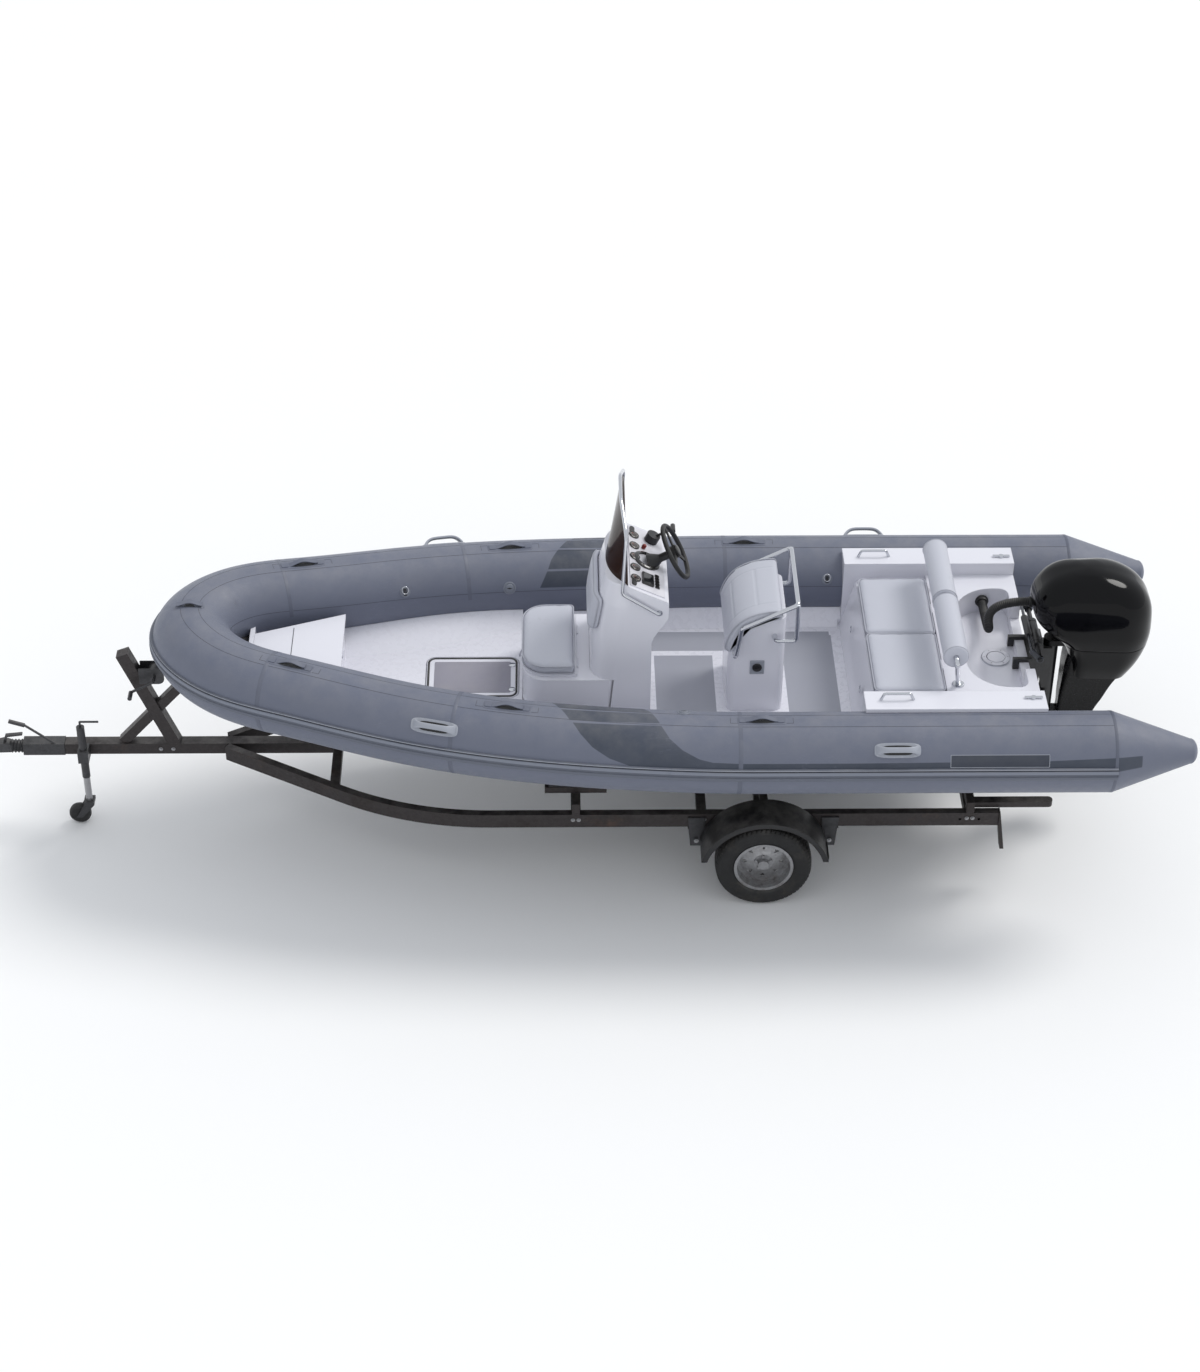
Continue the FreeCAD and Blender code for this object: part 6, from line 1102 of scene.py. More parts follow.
VALVE_SPOTS, RING_SPOTS = ((471.0, 111.0), (1573.0, 160.0)), ((2270.0, 155.0), (-540.0, 155.0))
RING_PATCH, RING_LOOP = (0.036, 0.036, 0.003), (0.011, 0.024, 0.0062)
VALVE = ((0.001, -0.02), (0.042, -0.02), (0.042, 0.001), (0.040, 0.003), (0.034, 0.0035),
         (0.033, 0.002), (0.028, 0.002), (0.027, 0.0065), (0.024, 0.0085), (0.001, 0.009))
# the cap's slot is painted shade: a thin dark bar standing for the shadowed slot
CAP_SLOT_SHADE = ((0.001, 0.0082), (0.019, 0.0082), (0.019, 0.0096), (0.001, 0.0096))


def build_valves():
    """Inflation valves with a slotted cap, and ring patches with a steel ring in a strap loop."""
    form = Form()
    across, down = superellipse(32, 1)
    line = np.stack([0.021 * across, 0.024 * down - 0.012, np.full(32, 0.007)], -1)
    ring = carried(line, 0.003, Z_AXIS, closed=True)
    for _, side in SIDES:
        for x, degrees in VALVE_SPOTS:
            seat = tube_seat(x, degrees, side)
            form.lathe(VALVE, 40, seat)
            # painted shade of the cap's slot, as a thin dark bar
            form.lathe(CAP_SLOT_SHADE, 4, seat, [1.0, 0.28, 1.0], mark=1)
        for x, degrees in RING_SPOTS:
            patch(form, ahead_at(x), degrees, *RING_PATCH, side, 1.0)
            patch(form, ahead_at(x), degrees, *RING_LOOP, side, 0.4, mark=3)
            form.skin(placed(ring, *tube_seat(x, degrees, side)), endless=True, mark=2)
    form.make("valves_and_rings", "rig", ["fitting_plastic", "rubber_trim", "stainless", "strap_webbing"],
              "fitting_plastic", 45, ["tube_fittings"])


def pad_rows(loop, low, high, edge, crown, steps=9):
    """A stuffed cover's rows from the middle of its underside to the middle of its top. The sides are
    half an ellipse out and back in, the top rises to its crown as one minus the cube of the share."""
    out = outward_of(loop)
    middle = loop.mean(0)
    turn = np.linspace(-math.pi / 2, math.pi / 2, 13)
    inset = edge * (1 - np.cos(turn))
    level = np.where(turn < 0, low + edge * (1 + np.sin(turn)), high - edge * (1 - np.sin(turn)))
    sides = loop[None] - out[None] * inset[:, None, None]
    rim = loop - out * edge
    share = np.linspace(0.03, 1, steps)[:-1]
    under = middle + (rim - middle) * share[:, None, None]
    plan = np.concatenate([under, sides, under[::-1]])
    rise = crown * (1 - share[::-1] ** 3)
    z = np.concatenate([np.full(len(share), low), level, high + rise])
    return np.concatenate([plan, np.broadcast_to(z[:, None, None], (*plan.shape[:2], 1))], -1)


def points_of(mesh):
    """A mesh's points as an array."""
    points = np.zeros(len(mesh.vertices) * 3)
    mesh.vertices.foreach_get("co", points)
    return points.reshape(-1, 3)


def evaluated(piece):
    """A piece as its modifiers leave it."""
    bpy.context.view_layer.update()
    return piece.evaluated_get(bpy.context.evaluated_depsgraph_get())


COVER_VOXEL, COVER_PRESSURE, COVER_STIFFNESS, COVER_FRAMES = 0.009, 3.0, 20, 12


def swollen(piece):
    """A cover filled by cloth simulation: the shell is remeshed evenly, air pressure swells it for a
    few frames, and no point moves further than the swell."""
    scene = bpy.context.scene
    remesh = piece.modifiers.new("even", "REMESH")
    remesh.mode, remesh.voxel_size = "VOXEL", COVER_VOXEL
    even = bpy.data.meshes.new_from_object(evaluated(piece))
    piece.modifiers.clear()
    if not even.materials:
        even.materials.append(piece.data.materials[0])
    piece.data = even
    rest = moved = points_of(even)
    cloth = piece.modifiers.new("cover", "CLOTH").settings
    cloth.use_pressure = True
    cloth.uniform_pressure_force = COVER_PRESSURE
    cloth.effector_weights.gravity = 0
    cloth.quality = 4
    cloth.tension_stiffness = cloth.compression_stiffness = COVER_STIFFNESS
    for number in range(1, COVER_FRAMES + 1):
        scene.frame_set(number)
    moved = points_of(piece.evaluated_get(bpy.context.evaluated_depsgraph_get()).data)
    piece.modifiers.clear()
    scene.frame_set(1)
    shift = moved - rest
    far = np.linalg.norm(shift, axis=1, keepdims=True)
    shift *= np.minimum(1, scene.boat_sizes.swell / np.maximum(far, 1e-9))
    even.vertices.foreach_set("co", (rest + shift).ravel())
    even.update()
    smooth = piece.modifiers.new("even_skin", "SMOOTH")
    smooth.factor, smooth.iterations = 0.5, 4
    piece.data = bpy.data.meshes.new_from_object(evaluated(piece))
    piece.modifiers.clear()
    piece.data.name = piece.name
    piece.data.shade_smooth()


def vinyl(form, name, body, smooth=60, replaced=()):
    """A piece in the cushions' vinyl."""
    return form.make(name, body, "cushion_vinyl", "cushion_vinyl", smooth, replaced)


def piping(form, name, body):
    """The piping of a cushion or two, in its own darker vinyl."""
    form.make(name, body, "welt_vinyl", "cushion_vinyl", 60)


def cushion(name, body, loop, low, high, edge, replaced=()):
    """A cushion over a plan outline, swollen by the simulation."""
    shell = pad_rows(loop, low, high, edge, bpy.context.scene.boat_sizes.crown)
    piece = vinyl(Form().skin(shell), name, body, replaced=replaced)
    swollen(piece)


def welt_line(form, loop, z, radius, inset):
    """Piping round an outline: a small circle carried along it."""
    loop = evened(loop, 180)
    line = loop - outward_of(loop) * inset
    path = np.column_stack([line, np.full(len(line), z)])
    form.skin(carried(path, radius, Z_AXIS, closed=True), endless=True)


def datum_loop(corners, radii, arc=8, count=160):
    """A plan outline in the packed frame from datum corners in millimetres."""
    loop = rounded_loop(np.array(corners) / 1000, [r / 1000 for r in radii], arc)
    return evened(loop + [DATUM_X, 0], count)


BENCH_TOP, LID_THICK, BENCH_CUSHION = -0.125, 0.025, 0.060
BENCH_X, BENCH_Y, BENCH_CORNERS = (-723, -1161), (2.5, 605.0), (28, 42, 30, 20)
SEAT_TOP, SEAT_LID_THICK, SEAT_CUSHION = -0.145, 0.022, 0.080
SEAT_X, SEAT_Y, SEAT_CORNERS = (1127, 1452), 332, (26, 150, 150, 26)
LOWER_WELT = 0.8


def build_bench():
    """The two halves of the bench cushion, with piping round their tops and undersides."""
    welt = bpy.context.scene.boat_sizes.welt
    low = DATUM_Z + BENCH_TOP + LID_THICK + 2 * SEAT_GAP
    high = low + BENCH_CUSHION
    trim = Form()
    for name, side in SIDES:
        (fore, aft), (inner, outer) = BENCH_X, (y * side for y in BENCH_Y)
        loop = datum_loop([(fore, inner), (fore, outer), (aft, outer), (aft, inner)], BENCH_CORNERS)
        cushion(f"bench_cushion_{name}", "aft_bench_lid", loop, low, high - 0.004, 0.016,
                ["bench_cushions"] if side > 0 else [])
        welt_line(trim, loop, high - 0.012, welt, 0.001)
        welt_line(trim, loop, low + 0.006, welt * LOWER_WELT, 0.001)
    piping(trim, "bench_welts", "aft_bench_lid")


def build_console_seat():
    """The cushion on the console locker, rounded at the front, with piping round its top and underside."""
    welt = bpy.context.scene.boat_sizes.welt
    low = DATUM_Z + SEAT_TOP + SEAT_LID_THICK + 2 * SEAT_GAP
    high = low + SEAT_CUSHION
    aft, fore = SEAT_X
    loop = datum_loop([(aft, SEAT_Y), (fore, SEAT_Y), (fore, -SEAT_Y), (aft, -SEAT_Y)], SEAT_CORNERS)
    cushion("console_cushion", "seat_lid", loop, low, high - 0.005, 0.020, ["console_seat_cushion"])
    trim = Form()
    welt_line(trim, loop, high - 0.016, welt, 0.0005)
    welt_line(trim, loop, low + 0.010, welt * LOWER_WELT, 0.0005)
    piping(trim, "console_welts", "seat_lid")


# The console's front in the datum: height, foremost X and corner radius
CONSOLE_LEVELS = np.array([(-470, 1030, 120), (-145, 1030, 150), (150, 1012, 170), (400, 975, 180),
                           (545, 935, 185), (640, 895, 190)]) / 1000
CONSOLE_HALF_W = 0.355
PAD_Z, PAD_HALF_H, PAD_HALF_W = 0.3025, 0.119, 0.286


def console_face(z, y, grow):
    """X of the console's rounded front at a height and half-width: straight, then an arc at each side."""
    front = np.interp(z, CONSOLE_LEVELS[:, 0], CONSOLE_LEVELS[:, 1])
    radius = np.interp(z, CONSOLE_LEVELS[:, 0], CONSOLE_LEVELS[:, 2])
    past = np.clip(np.abs(y) - (CONSOLE_HALF_W - radius), 0, None)
    return front - radius + np.sqrt(np.clip(radius ** 2 - past ** 2, 0, None)) + grow


def build_console_pad():
    """The backrest pad round the console's front: its outer face follows the console's own curve,
    42 mm out, and thins towards each end as the 0.4th power of one less the share to the 14th."""
    across = np.linspace(-1, 1, 61)[:, None]
    deep, tall = superellipse(48, 0.45)
    end = (1 - np.abs(across) ** 14) ** 0.4 * 0.98 + 0.02
    y = across * PAD_HALF_W + 0 * tall
    z = PAD_Z + tall * PAD_HALF_H * (0.6 + 0.4 * end)
    crown = 0.004 * (1 - across ** 2) * (1 - tall ** 2)
    x = console_face(z, y, 0.0008) + (0.0215 + deep * (0.0205 * end + crown))
    pad = Form().skin(np.stack([x + DATUM_X, y, z + DATUM_Z], -1))
    vinyl(pad, "console_pad", "rig", replaced=["console_backrest"])
    y, z = superellipse(160, 0.16)
    y, z = 0.281 * y, PAD_Z + 0.1145 * z
    path = np.stack([console_face(z, y, 0.0375) + DATUM_X, y, z + DATUM_Z], -1)
    piping(Form().skin(carried(path, 0.0042, X_AXIS, closed=True), endless=True), "console_pad_welt", "rig")


SADDLE_TOP = ((200.0, 45.0), (168.0, 150.0), (110.0, 240.0), (5.0, 305.0), (-160.0, 335.0))
SADDLE_UNDER = ((125.0, 10.0), (88.0, 120.0), (40.0, 185.0), (-40.0, 232.0), (-160.0, 250.0))
SADDLE_HALF_W, SADDLE_POINTS = 0.294, 60
SIDE_CHANNELS, CROSS_CHANNELS, CHANNEL_DEPTH = 0.66, (0.36, 0.70), 0.0045


def build_saddle():
    """The helm cushion: upper and lower side curves joined across and drawn in to their middle line at
    the ends and flanks, with sewn channels pressed in as narrow bell curves."""
    count = SADDLE_POINTS
    top, under = (spline(np.array([(x, 0, z) for x, z in curve]) / 1000, count)[:, [0, 2]]
                  for curve in (SADDLE_TOP, SADDLE_UNDER))
    share = np.linspace(0, 1, count)
    middle = (top + under) / 2
    ends = (1 - np.abs(2 * share - 1) ** 16)[:, None] ** 0.5 * 0.94 + 0.06
    upper = middle + (top - middle) * ends
    lower = middle + (under - middle) * ends
    side_loop = np.vstack([upper, lower[::-1]])
    spine = np.vstack([middle, middle[::-1]])
    v = np.concatenate([np.linspace(-1, -0.94, 8)[:-1], np.linspace(-0.94, 0.94, 80),
                        np.linspace(0.94, 1, 8)[1:]])
    drawn = (1 - np.abs(v) ** 24) ** 0.4 * 0.9 + 0.1
    plan = spine + (side_loop - spine) * drawn[:, None, None]
    dip = np.zeros((len(v), len(side_loop)))
    on_top = np.arange(len(side_loop)) < count
    for seam in (-SIDE_CHANNELS, SIDE_CHANNELS):
        dip += np.exp(-((v - seam) / 0.008) ** 2)[:, None] * on_top
    place = np.concatenate([share, -np.ones(count)])
    for spot in CROSS_CHANNELS:
        dip += np.exp(-((place - spot) / 0.010) ** 2) * (np.abs(v) < SIDE_CHANNELS)[:, None]
    away = unit(np.vstack([top - under, np.zeros((count, 2)) + 1e-6]))
    plan = plan - away * (np.clip(dip, 0, 1) * CHANNEL_DEPTH)[..., None]
    crown = (0.003 * (1 - (v / SIDE_CHANNELS) ** 2).clip(0)[:, None]
             * np.concatenate([np.sin(share * math.pi), np.zeros(count)]))
    plan = plan + away * crown[..., None] * on_top[:, None]
    y = np.broadcast_to((v * SADDLE_HALF_W)[:, None], plan.shape[:2])
    grid = np.stack([plan[..., 0] + DATUM_X, y, plan[..., 1] + DATUM_Z], -1)
    vinyl(Form().skin(grid), "helm_saddle", "rig", 70, ["seat_cushion"])
    trim = Form()
    for edge in (-0.288, 0.288):
        line = np.stack([upper[:, 0] + DATUM_X, np.full(count, edge), upper[:, 1] + DATUM_Z - 0.0015], -1)
        trim.skin(carried(line, 0.004, Y_AXIS))
    piping(trim, "saddle_welts", "rig")


ROLL_R, ROLL_BORE, ROLL_EDGE, ROLL_START, ROLL_END = 0.0775, 0.0168, 0.014, 0.009, 0.591


def build_rolls():
    """The backrest rolls: closed foam sleeves turned about the bar, their ends a quarter circle, with a
    welt round each end and a sewn seam along the underside."""
    centre = datum(-1205, 0, 195)
    turn = np.linspace(0, math.pi / 2, 7)
    rounding = ROLL_EDGE * (1 - np.cos(turn))
    drop = ROLL_EDGE * (1 - np.sin(turn))
    straight = np.linspace(ROLL_START + ROLL_EDGE, ROLL_END - ROLL_EDGE, 40)[1:-1]
    h = np.concatenate([ROLL_START + rounding, straight, ROLL_END - rounding[::-1]])
    r = np.concatenate([ROLL_R - drop, np.full(len(straight), ROLL_R), ROLL_R - drop[::-1]])
    r -= 0.0006 * np.sin((h - ROLL_START) / (ROLL_END - ROLL_START) * math.pi * 3) ** 2
    half_way = (ROLL_START + ROLL_END) / 2
    r = np.concatenate([[ROLL_BORE] * 2, r, [ROLL_BORE] * 2])
    h = np.concatenate([[half_way, ROLL_START], h, [ROLL_END, half_way + 0.001]])
    body = turned(np.stack([r, h], -1), 72)
    dent = 0.0016 * np.exp(-((np.linspace(0, 360, 72, endpoint=False) - 270) / 3.0) ** 2)
    body[..., :2] *= (1 - dent / np.maximum(np.linalg.norm(body[..., :2], axis=-1), 0.02))[..., None]
    across, up = superellipse(90, 1)
    trim = Form()
    for name, side in SIDES:
        sleeve = Form().skin(placed(body, centre, Y_AXIS * side, Z_AXIS), caps=False, endless=True)
        vinyl(sleeve, f"backrest_roll_{name}", "rig",
                        replaced=["backrest_rolls"] if side > 0 else [])
        for spot in (ROLL_START + 0.010, ROLL_END - 0.010):
            path = np.stack([0.0768 * across, 0.0768 * up, np.full(90, spot)], -1)
            trim.skin(placed(carried(path, 0.0034, Z_AXIS, closed=True), centre, Y_AXIS * side, Z_AXIS),
                      endless=True)
    piping(trim, "roll_welts", "rig")


# The tyre's section from bead to shoulder: distance from its middle plane, radius
TYRE_WALL = ((0.0546, 0.1762), (0.066, 0.186), (0.080, 0.205), (0.0876, 0.235), (0.0872, 0.256),
             (0.0818, 0.279), (0.0745, 0.2905), (0.0640, 0.3000))
SLOT_STEP, SLOT_HALF, SLOT_FROM, SLOT_TO = 6, 0.55, 0.030, 0.078
GROOVE_OUT, GROOVE_HALF, SHOULDER_R = 0.021, 0.0026, 0.283


def build_tyres():
    """Road tyres: a section from bead over sidewall and tread, turned about the axle. The tread is cut
    by two grooves round it and by slanted slots that repeat every six degrees."""
    depth = bpy.context.scene.boat_sizes.tread
    (bead_y, bead_r), (tread_half, tread_edge) = TYRE_WALL[0], TYRE_WALL[-1]
    wall = spline(np.column_stack([TYRE_WALL, np.zeros(len(TYRE_WALL))]), 22)[:, :2]
    tread_y = np.linspace(tread_half, -tread_half, 58)[1:-1]
    tread_r = tread_edge + 0.005 * (1 - (tread_y / tread_half) ** 2) ** 0.9
    y = np.concatenate([wall[:, 0], tread_y, -wall[::-1, 0], np.linspace(-bead_y, bead_y, 8)[1:-1]])
    r = np.concatenate([wall[:, 1], tread_r, wall[::-1, 1], np.full(6, bead_r)])
    turn = np.linspace(0, 2 * math.pi, 480, endpoint=False)[:, None]
    row = np.abs(y)
    groove = np.clip(1.6 - np.abs(row - GROOVE_OUT) / GROOVE_HALF, 0, 1) * (row < 0.06)
    slant = (np.degrees(turn) + np.sign(y) * (row - SLOT_FROM) * 60) % SLOT_STEP
    slot = (np.clip(1.5 - np.abs(slant - SLOT_STEP / 2) / SLOT_HALF, 0, 1)
            * ((row > SLOT_FROM) & (row < SLOT_TO)))
    top = r > SHOULDER_R
    reach = r - np.maximum(groove, slot * 0.9) * top * depth
    ribs = 0.0008 * np.clip(np.sin((r - 0.19) / 0.045 * math.pi * 2), 0, 1) * ~top * (row > 0.06)
    out = y + np.sign(y) * ribs
    grid = np.stack([reach * np.cos(turn), out + 0 * turn, reach * np.sin(turn)], -1)
    stem = ((0.001, -0.01), (0.0045, -0.01), (0.0045, 0.012), (0.0035, 0.024), (0.001, 0.025))
    for name, side in SIDES:
        centre = datum(-60, 895 * side, -1165)
        Form().skin(grid + centre, endless=True).make(
            f"road_tyre_{name}", f"wheel_{name}", "tyre_rubber", "tyre_rubber", 32, [f"tyre_{name}"])
        Form().lathe(stem, 12, (centre + [0.0, 0.040 * side, 0.150], Y_AXIS * side, X_AXIS)).make(
            f"tyre_valve_{name}", f"wheel_{name}", "rubber_trim", "tyre_rubber", 40)


# The cowl's level outlines in the datum: height, fore and aft ends, half-width at the aft end
COWL_LEVELS = ((-330.0, -2035.0, -2396.0, 128.0), (-250.0, -2020.0, -2440.0, 160.0),
               (-150.0, -2000.0, -2480.0, 190.0), (-60.0, -1950.0, -2501.0, 214.0),
               (20.0, -1862.0, -2509.0, 234.0), (110.0, -1778.0, -2506.0, 244.0),
               (220.0, -1748.0, -2490.0, 245.0), (330.0, -1785.0, -2428.0, 222.0),
               (410.0, -1865.0, -2310.0, 172.0), (448.0, -1975.0, -2185.0, 100.0))
PARTING_Z, PARTING_DEPTH, PARTING_HALF = -0.060, 0.0045, 0.0016


def build_cowl():
    """The cowl: level outlines with large rounded corners, their ends and widths a cubic of the height,
    closed by a low dome. A parting groove runs round it."""
    fine = spline(np.array(COWL_LEVELS) / 1000, 90)
    z = np.sort(np.concatenate([fine[:, 0], PARTING_Z + np.array([-0.003, -0.0015, 0.0, 0.0015, 0.003])]))
    sides = []
    for height, fore, aft, half in np.stack([np.interp(z, fine[:, 0], fine[:, k]) for k in range(4)], -1):
        near = 0.85 * half
        loop = rounded_loop([(fore, near), (aft, half), (aft, -half), (fore, -near)],
                            [0.75 * near, 0.92 * near, 0.92 * near, 0.75 * near], 12)
        loop = evened(loop, 128)
        loop = loop - outward_of(loop) * PARTING_DEPTH * math.exp(-((height - PARTING_Z) / PARTING_HALF) ** 2)
        sides.append(np.column_stack([loop, np.full(len(loop), height)]))
    top, bottom = sides[-1][:, :2], sides[0][:, :2]
    dome = stacked(top, [(share, z[-1] + 0.010 * (1 - share ** 2)) for share in (0.8, 0.55, 0.3, 0.1)],
                   top.mean(0))
    pan = stacked(bottom, [(share, z[0] + 0.006 * (share - 1)) for share in (0.2, 0.7, 0.96)],
                  bottom.mean(0))
    Form().skin(np.concatenate([pan, np.stack(sides), dome]) + [DATUM_X, 0, DATUM_Z]).make(
        "cowl", "engine", "engine_gloss", "engine_gloss", 50, ["engine_cowl"])
    trim = Form()
    latch = ((0.001, -0.02), (0.036, -0.02), (0.036, 0.004), (0.030, 0.008), (0.001, 0.009))
    trim.lathe(latch, 32, (datum(-2418, 0, 320), [-0.9, 0, 0.45], Y_AXIS), [1, 0.5, 1])
    boss = [datum(x, -60, 150) for x in (-1744.4, -1760, -1800)]
    trim.skin(carried(boss, np.array([0.034, 0.036, 0.036]), Y_AXIS))
    trim.make("cowl_trim", "engine", "rubber_trim", "engine_gloss", 40)


HOSE_POINTS = ((-1530, -513, -165), (-1530, -60, -165), (-1474, -60, 150), (-1744, -60, 150))
HOSE_R, RIB_STEP = 0.030, 0.011
HOSE_COUNT, HOSE_BEND, HOSE_SPLIT = 700, 320, 600


def hose_route():
    """The hose's line at even steps: a quadratic B-spline through its four corners."""
    curve = bpy.data.curves.new("hose_route", "CURVE")
    curve.dimensions, curve.resolution_u = "3D", 40
    line = curve.splines.new("NURBS")
    line.points.add(len(HOSE_POINTS) - 1)
    for point, place in zip(line.points, HOSE_POINTS):
        point.co = (*datum(*place), 1)
    line.order_u, line.use_endpoint_u = 3, True
    holder = linked("hose_route", curve)
    route = points_of(bpy.data.meshes.new_from_object(evaluated(holder)))
    bpy.data.objects.remove(holder)
    along = walked(route)
    at = np.linspace(0, along[-1], HOSE_COUNT)
    return np.stack([np.interp(at, along, route[:, k]) for k in range(3)], -1), at


def build_hose():
    """The rigging hose: a ribbed tube carried along a smooth line through its route, in two lengths that
    meet by the cowl. Each rib is a raised cosine of the distance walked."""
    route, at = hose_route()
    ahead = unit(np.gradient(route, axis=0))
    side = np.tile(X_AXIS, (HOSE_COUNT, 1))
    for i in range(1, HOSE_COUNT):
        side[i] = unit(side[i - 1] - (side[i - 1] @ ahead[i]) * ahead[i])
    rib = bpy.context.scene.boat_sizes.rib
    radius = HOSE_R - rib * (0.5 - 0.5 * np.cos(2 * math.pi * at / RIB_STEP)) ** 0.7
    lower, upper = (
        Form().skin(carried(route[span], radius[span], side[span])).make(
            name, None, "hose_rubber", "hose_rubber", 50, replaced)
        for name, span, replaced in (("hose_lower", slice(0, HOSE_SPLIT + 1), ["rigging_hose"]),
                                     ("hose_upper", slice(HOSE_SPLIT, HOSE_COUNT), [])))
    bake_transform(lower)
    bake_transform(upper)
    ring = ((0.0301, 0.0), (0.040, 0.0), (0.044, 0.004), (0.044, 0.012), (0.0385, 0.017),
            (0.0385, 0.028), (0.0355, 0.032), (0.0302, 0.032))
    Form().lathe(ring, 36, (datum(-1530, -519.5, -165), Y_AXIS, Z_AXIS), endless=True).make(
        "hose_fitting", "rig", "rubber_trim", "hose_rubber", 40)


DIALS, DIAL_STEP, DIAL_DOWN = 5, 0.118, 0.068
SWITCHES, SWITCH_Y, SWITCH_STEP = 5, 0.130, 0.030
PLATE_FACE, HELM_DOWN = 0.0067, 0.150


def build_dash():
    """Dials with rims, switches, a display and vents on the instrument plate, the helm's rim and the
    wheel's cap, and the stop switch."""
    origin = datum(815, 0, 570)
    down = unit(np.array([548 - 815, 0, 442 - 570]))
    out = np.array([down[2], 0, -down[0]])

    def seat(along, across, rise=PLATE_FACE):
        """A place on the plate by its distances down it, to port and out of it, with its directions."""
        return origin + down * along + Y_AXIS * across + out * rise, out, down

    form = Form()
    bezel = ((0.0314, 0.0), (0.0345, 0.0), (0.0350, 0.006), (0.0335, 0.0105), (0.0300, 0.0115),
             (0.0275, 0.0100), (0.0275, 0.0094), (0.0314, 0.0093))
    face = turned([(0.0278, 0.0096), (0.026, 0.0100), (0.0008, 0.0100), (0.0008, 0.0097)], 40)
    shares = np.broadcast_arrays(np.linspace(0, 1, 41), np.array([1.05, 0.93, 0.02, 0.0])[:, None])
    for i in range(DIALS):
        spot = seat(DIAL_DOWN, (i - DIALS // 2) * DIAL_STEP, 0.0033)
        form.lathe(bezel, 40, spot, endless=True)
        form.skin(placed(face, *spot), uv=np.stack(shares, -1), mark=1)
    # down, to port, half-length, half-width, rise, finish and corner radius of each tablet
    tablets = [(0.150, 0.205, 0.040, 0.060, 0.012, 0, 0.008), (0.150, 0.205, 0.032, 0.051, 0.0135, 2, 0.004)]
    for k in range(SWITCHES):
        y = SWITCH_Y + SWITCH_STEP * k
        tablets += [(0.215, y, 0.015, 0.010, 0.006, 0, 0.003), (0.212, y, 0.008, 0.006, 0.009, 3, 0.002)]
    tablets += [(0.055, y, 0.016, 0.034, 0.008, 0, 0.014) for y in (0.285, -0.285)]
    for along, across, half_x, half_y, rise, mark, corner in tablets:
        rows = [(1.0, 0.0), (1.0, rise * 0.7), (0.96, rise), (0.5, rise), (0.05, rise)]
        form.skin(placed(stacked(block(half_x, half_y, corner), rows), *seat(along, across)), mark=mark)
    ring = ((0.0640, 0.0), (0.088, 0.0), (0.089, 0.005), (0.080, 0.011), (0.066, 0.013))
    form.lathe(ring, 48, seat(HELM_DOWN, 0), endless=True)
    form.make("dash_instruments", "rig", ["dial_bezel", "dial_face", "display_glass", "dial_bezel"],
              "black_plastic", 40)
    lean = math.radians(28)
    axis = np.array([-math.cos(lean), 0, math.sin(lean)])
    disc = ((0.001, 0.0), (0.036, 0.0), (0.038, 0.004), (0.034, 0.010), (0.020, 0.014), (0.001, 0.0150))
    Form().lathe(disc, 40, (datum(500, 0, 582) + axis * 0.0124, axis, Y_AXIS)).make(
        "wheel_cap", "helm_wheel", "black_plastic", "black_plastic", 40)
    knob = ((0.001, 0.0), (0.012, 0.0), (0.014, 0.006), (0.014, 0.022), (0.010, 0.027), (0.001, 0.028))
    Form().lathe(knob, 24, seat(0.130, -0.130)).make(
        "stop_switch", "rig", "grip_red", "black_plastic", 40)


HATCH_TOP, HATCH_X, HATCH_Y, HATCH_CORNER = -0.385, (1480, 2068), 213, 60
SEAL_IN, INSERT_IN, CATCH_X, CATCH_Y = 0.006, 0.050, 1.520, 0.13


def build_hatch():
    """The foredeck hatch's seal, woven insert and two flush catches."""
    z = DATUM_Z + HATCH_TOP
    form = Form()
    aft, fore = HATCH_X
    loop = datum_loop([(aft, HATCH_Y), (fore, HATCH_Y), (fore, -HATCH_Y), (aft, -HATCH_Y)],
                      [HATCH_CORNER] * 4, 12, 200)
    away = outward_of(loop)
    rows = [(0.0, 0.0), (0.0, 0.0030), (0.003, 0.0042), (0.010, 0.0042), (0.013, 0.0030), (0.013, 0.0)]
    form.skin([np.column_stack([loop - away * (SEAL_IN + inset), np.full(len(loop), z + SEAT_GAP + rise)])
               for inset, rise in rows], endless=True)
    core = loop - away * INSERT_IN
    rows = [(1.0, 0.0003), (1.0, 0.0022), (0.992, 0.0030), (0.6, 0.0030), (0.2, 0.0030), (0.02, 0.0030)]
    grid = stacked(core, [(share, z + rise) for share, rise in rows], core.mean(0))
    form.skin(grid, uv=np.concatenate([grid, grid[:, :1]], 1)[..., :2], mark=1)
    catch = ((0.001, 0.0), (0.021, 0.0), (0.022, 0.003), (0.018, 0.005), (0.001, 0.0055))
    for y in (-CATCH_Y, CATCH_Y):
        form.lathe(catch, 28, ([CATCH_X + DATUM_X, y, z + SEAT_GAP], Z_AXIS, X_AXIS), mark=2)
    form.make("hatch_trim", "foredeck_hatch", ["rubber_trim", "insert_weave", "stainless"],
              "black_plastic", 40)


def screw_heads(form, spots, out, radius=0.005, rise=0.003, mark=0):
    """Low domed heads: a small arc turned about the outward direction."""
    head = ((0.0006, -0.001), (radius, -0.001), (radius * 0.95, rise * 0.5), (radius * 0.6, rise * 0.9),
            (0.0006, rise))
    for spot in spots:
        form.lathe(head, 14, (spot, out, unit(np.cross(out, [0.3, 0.5, 0.8]))), mark=mark)


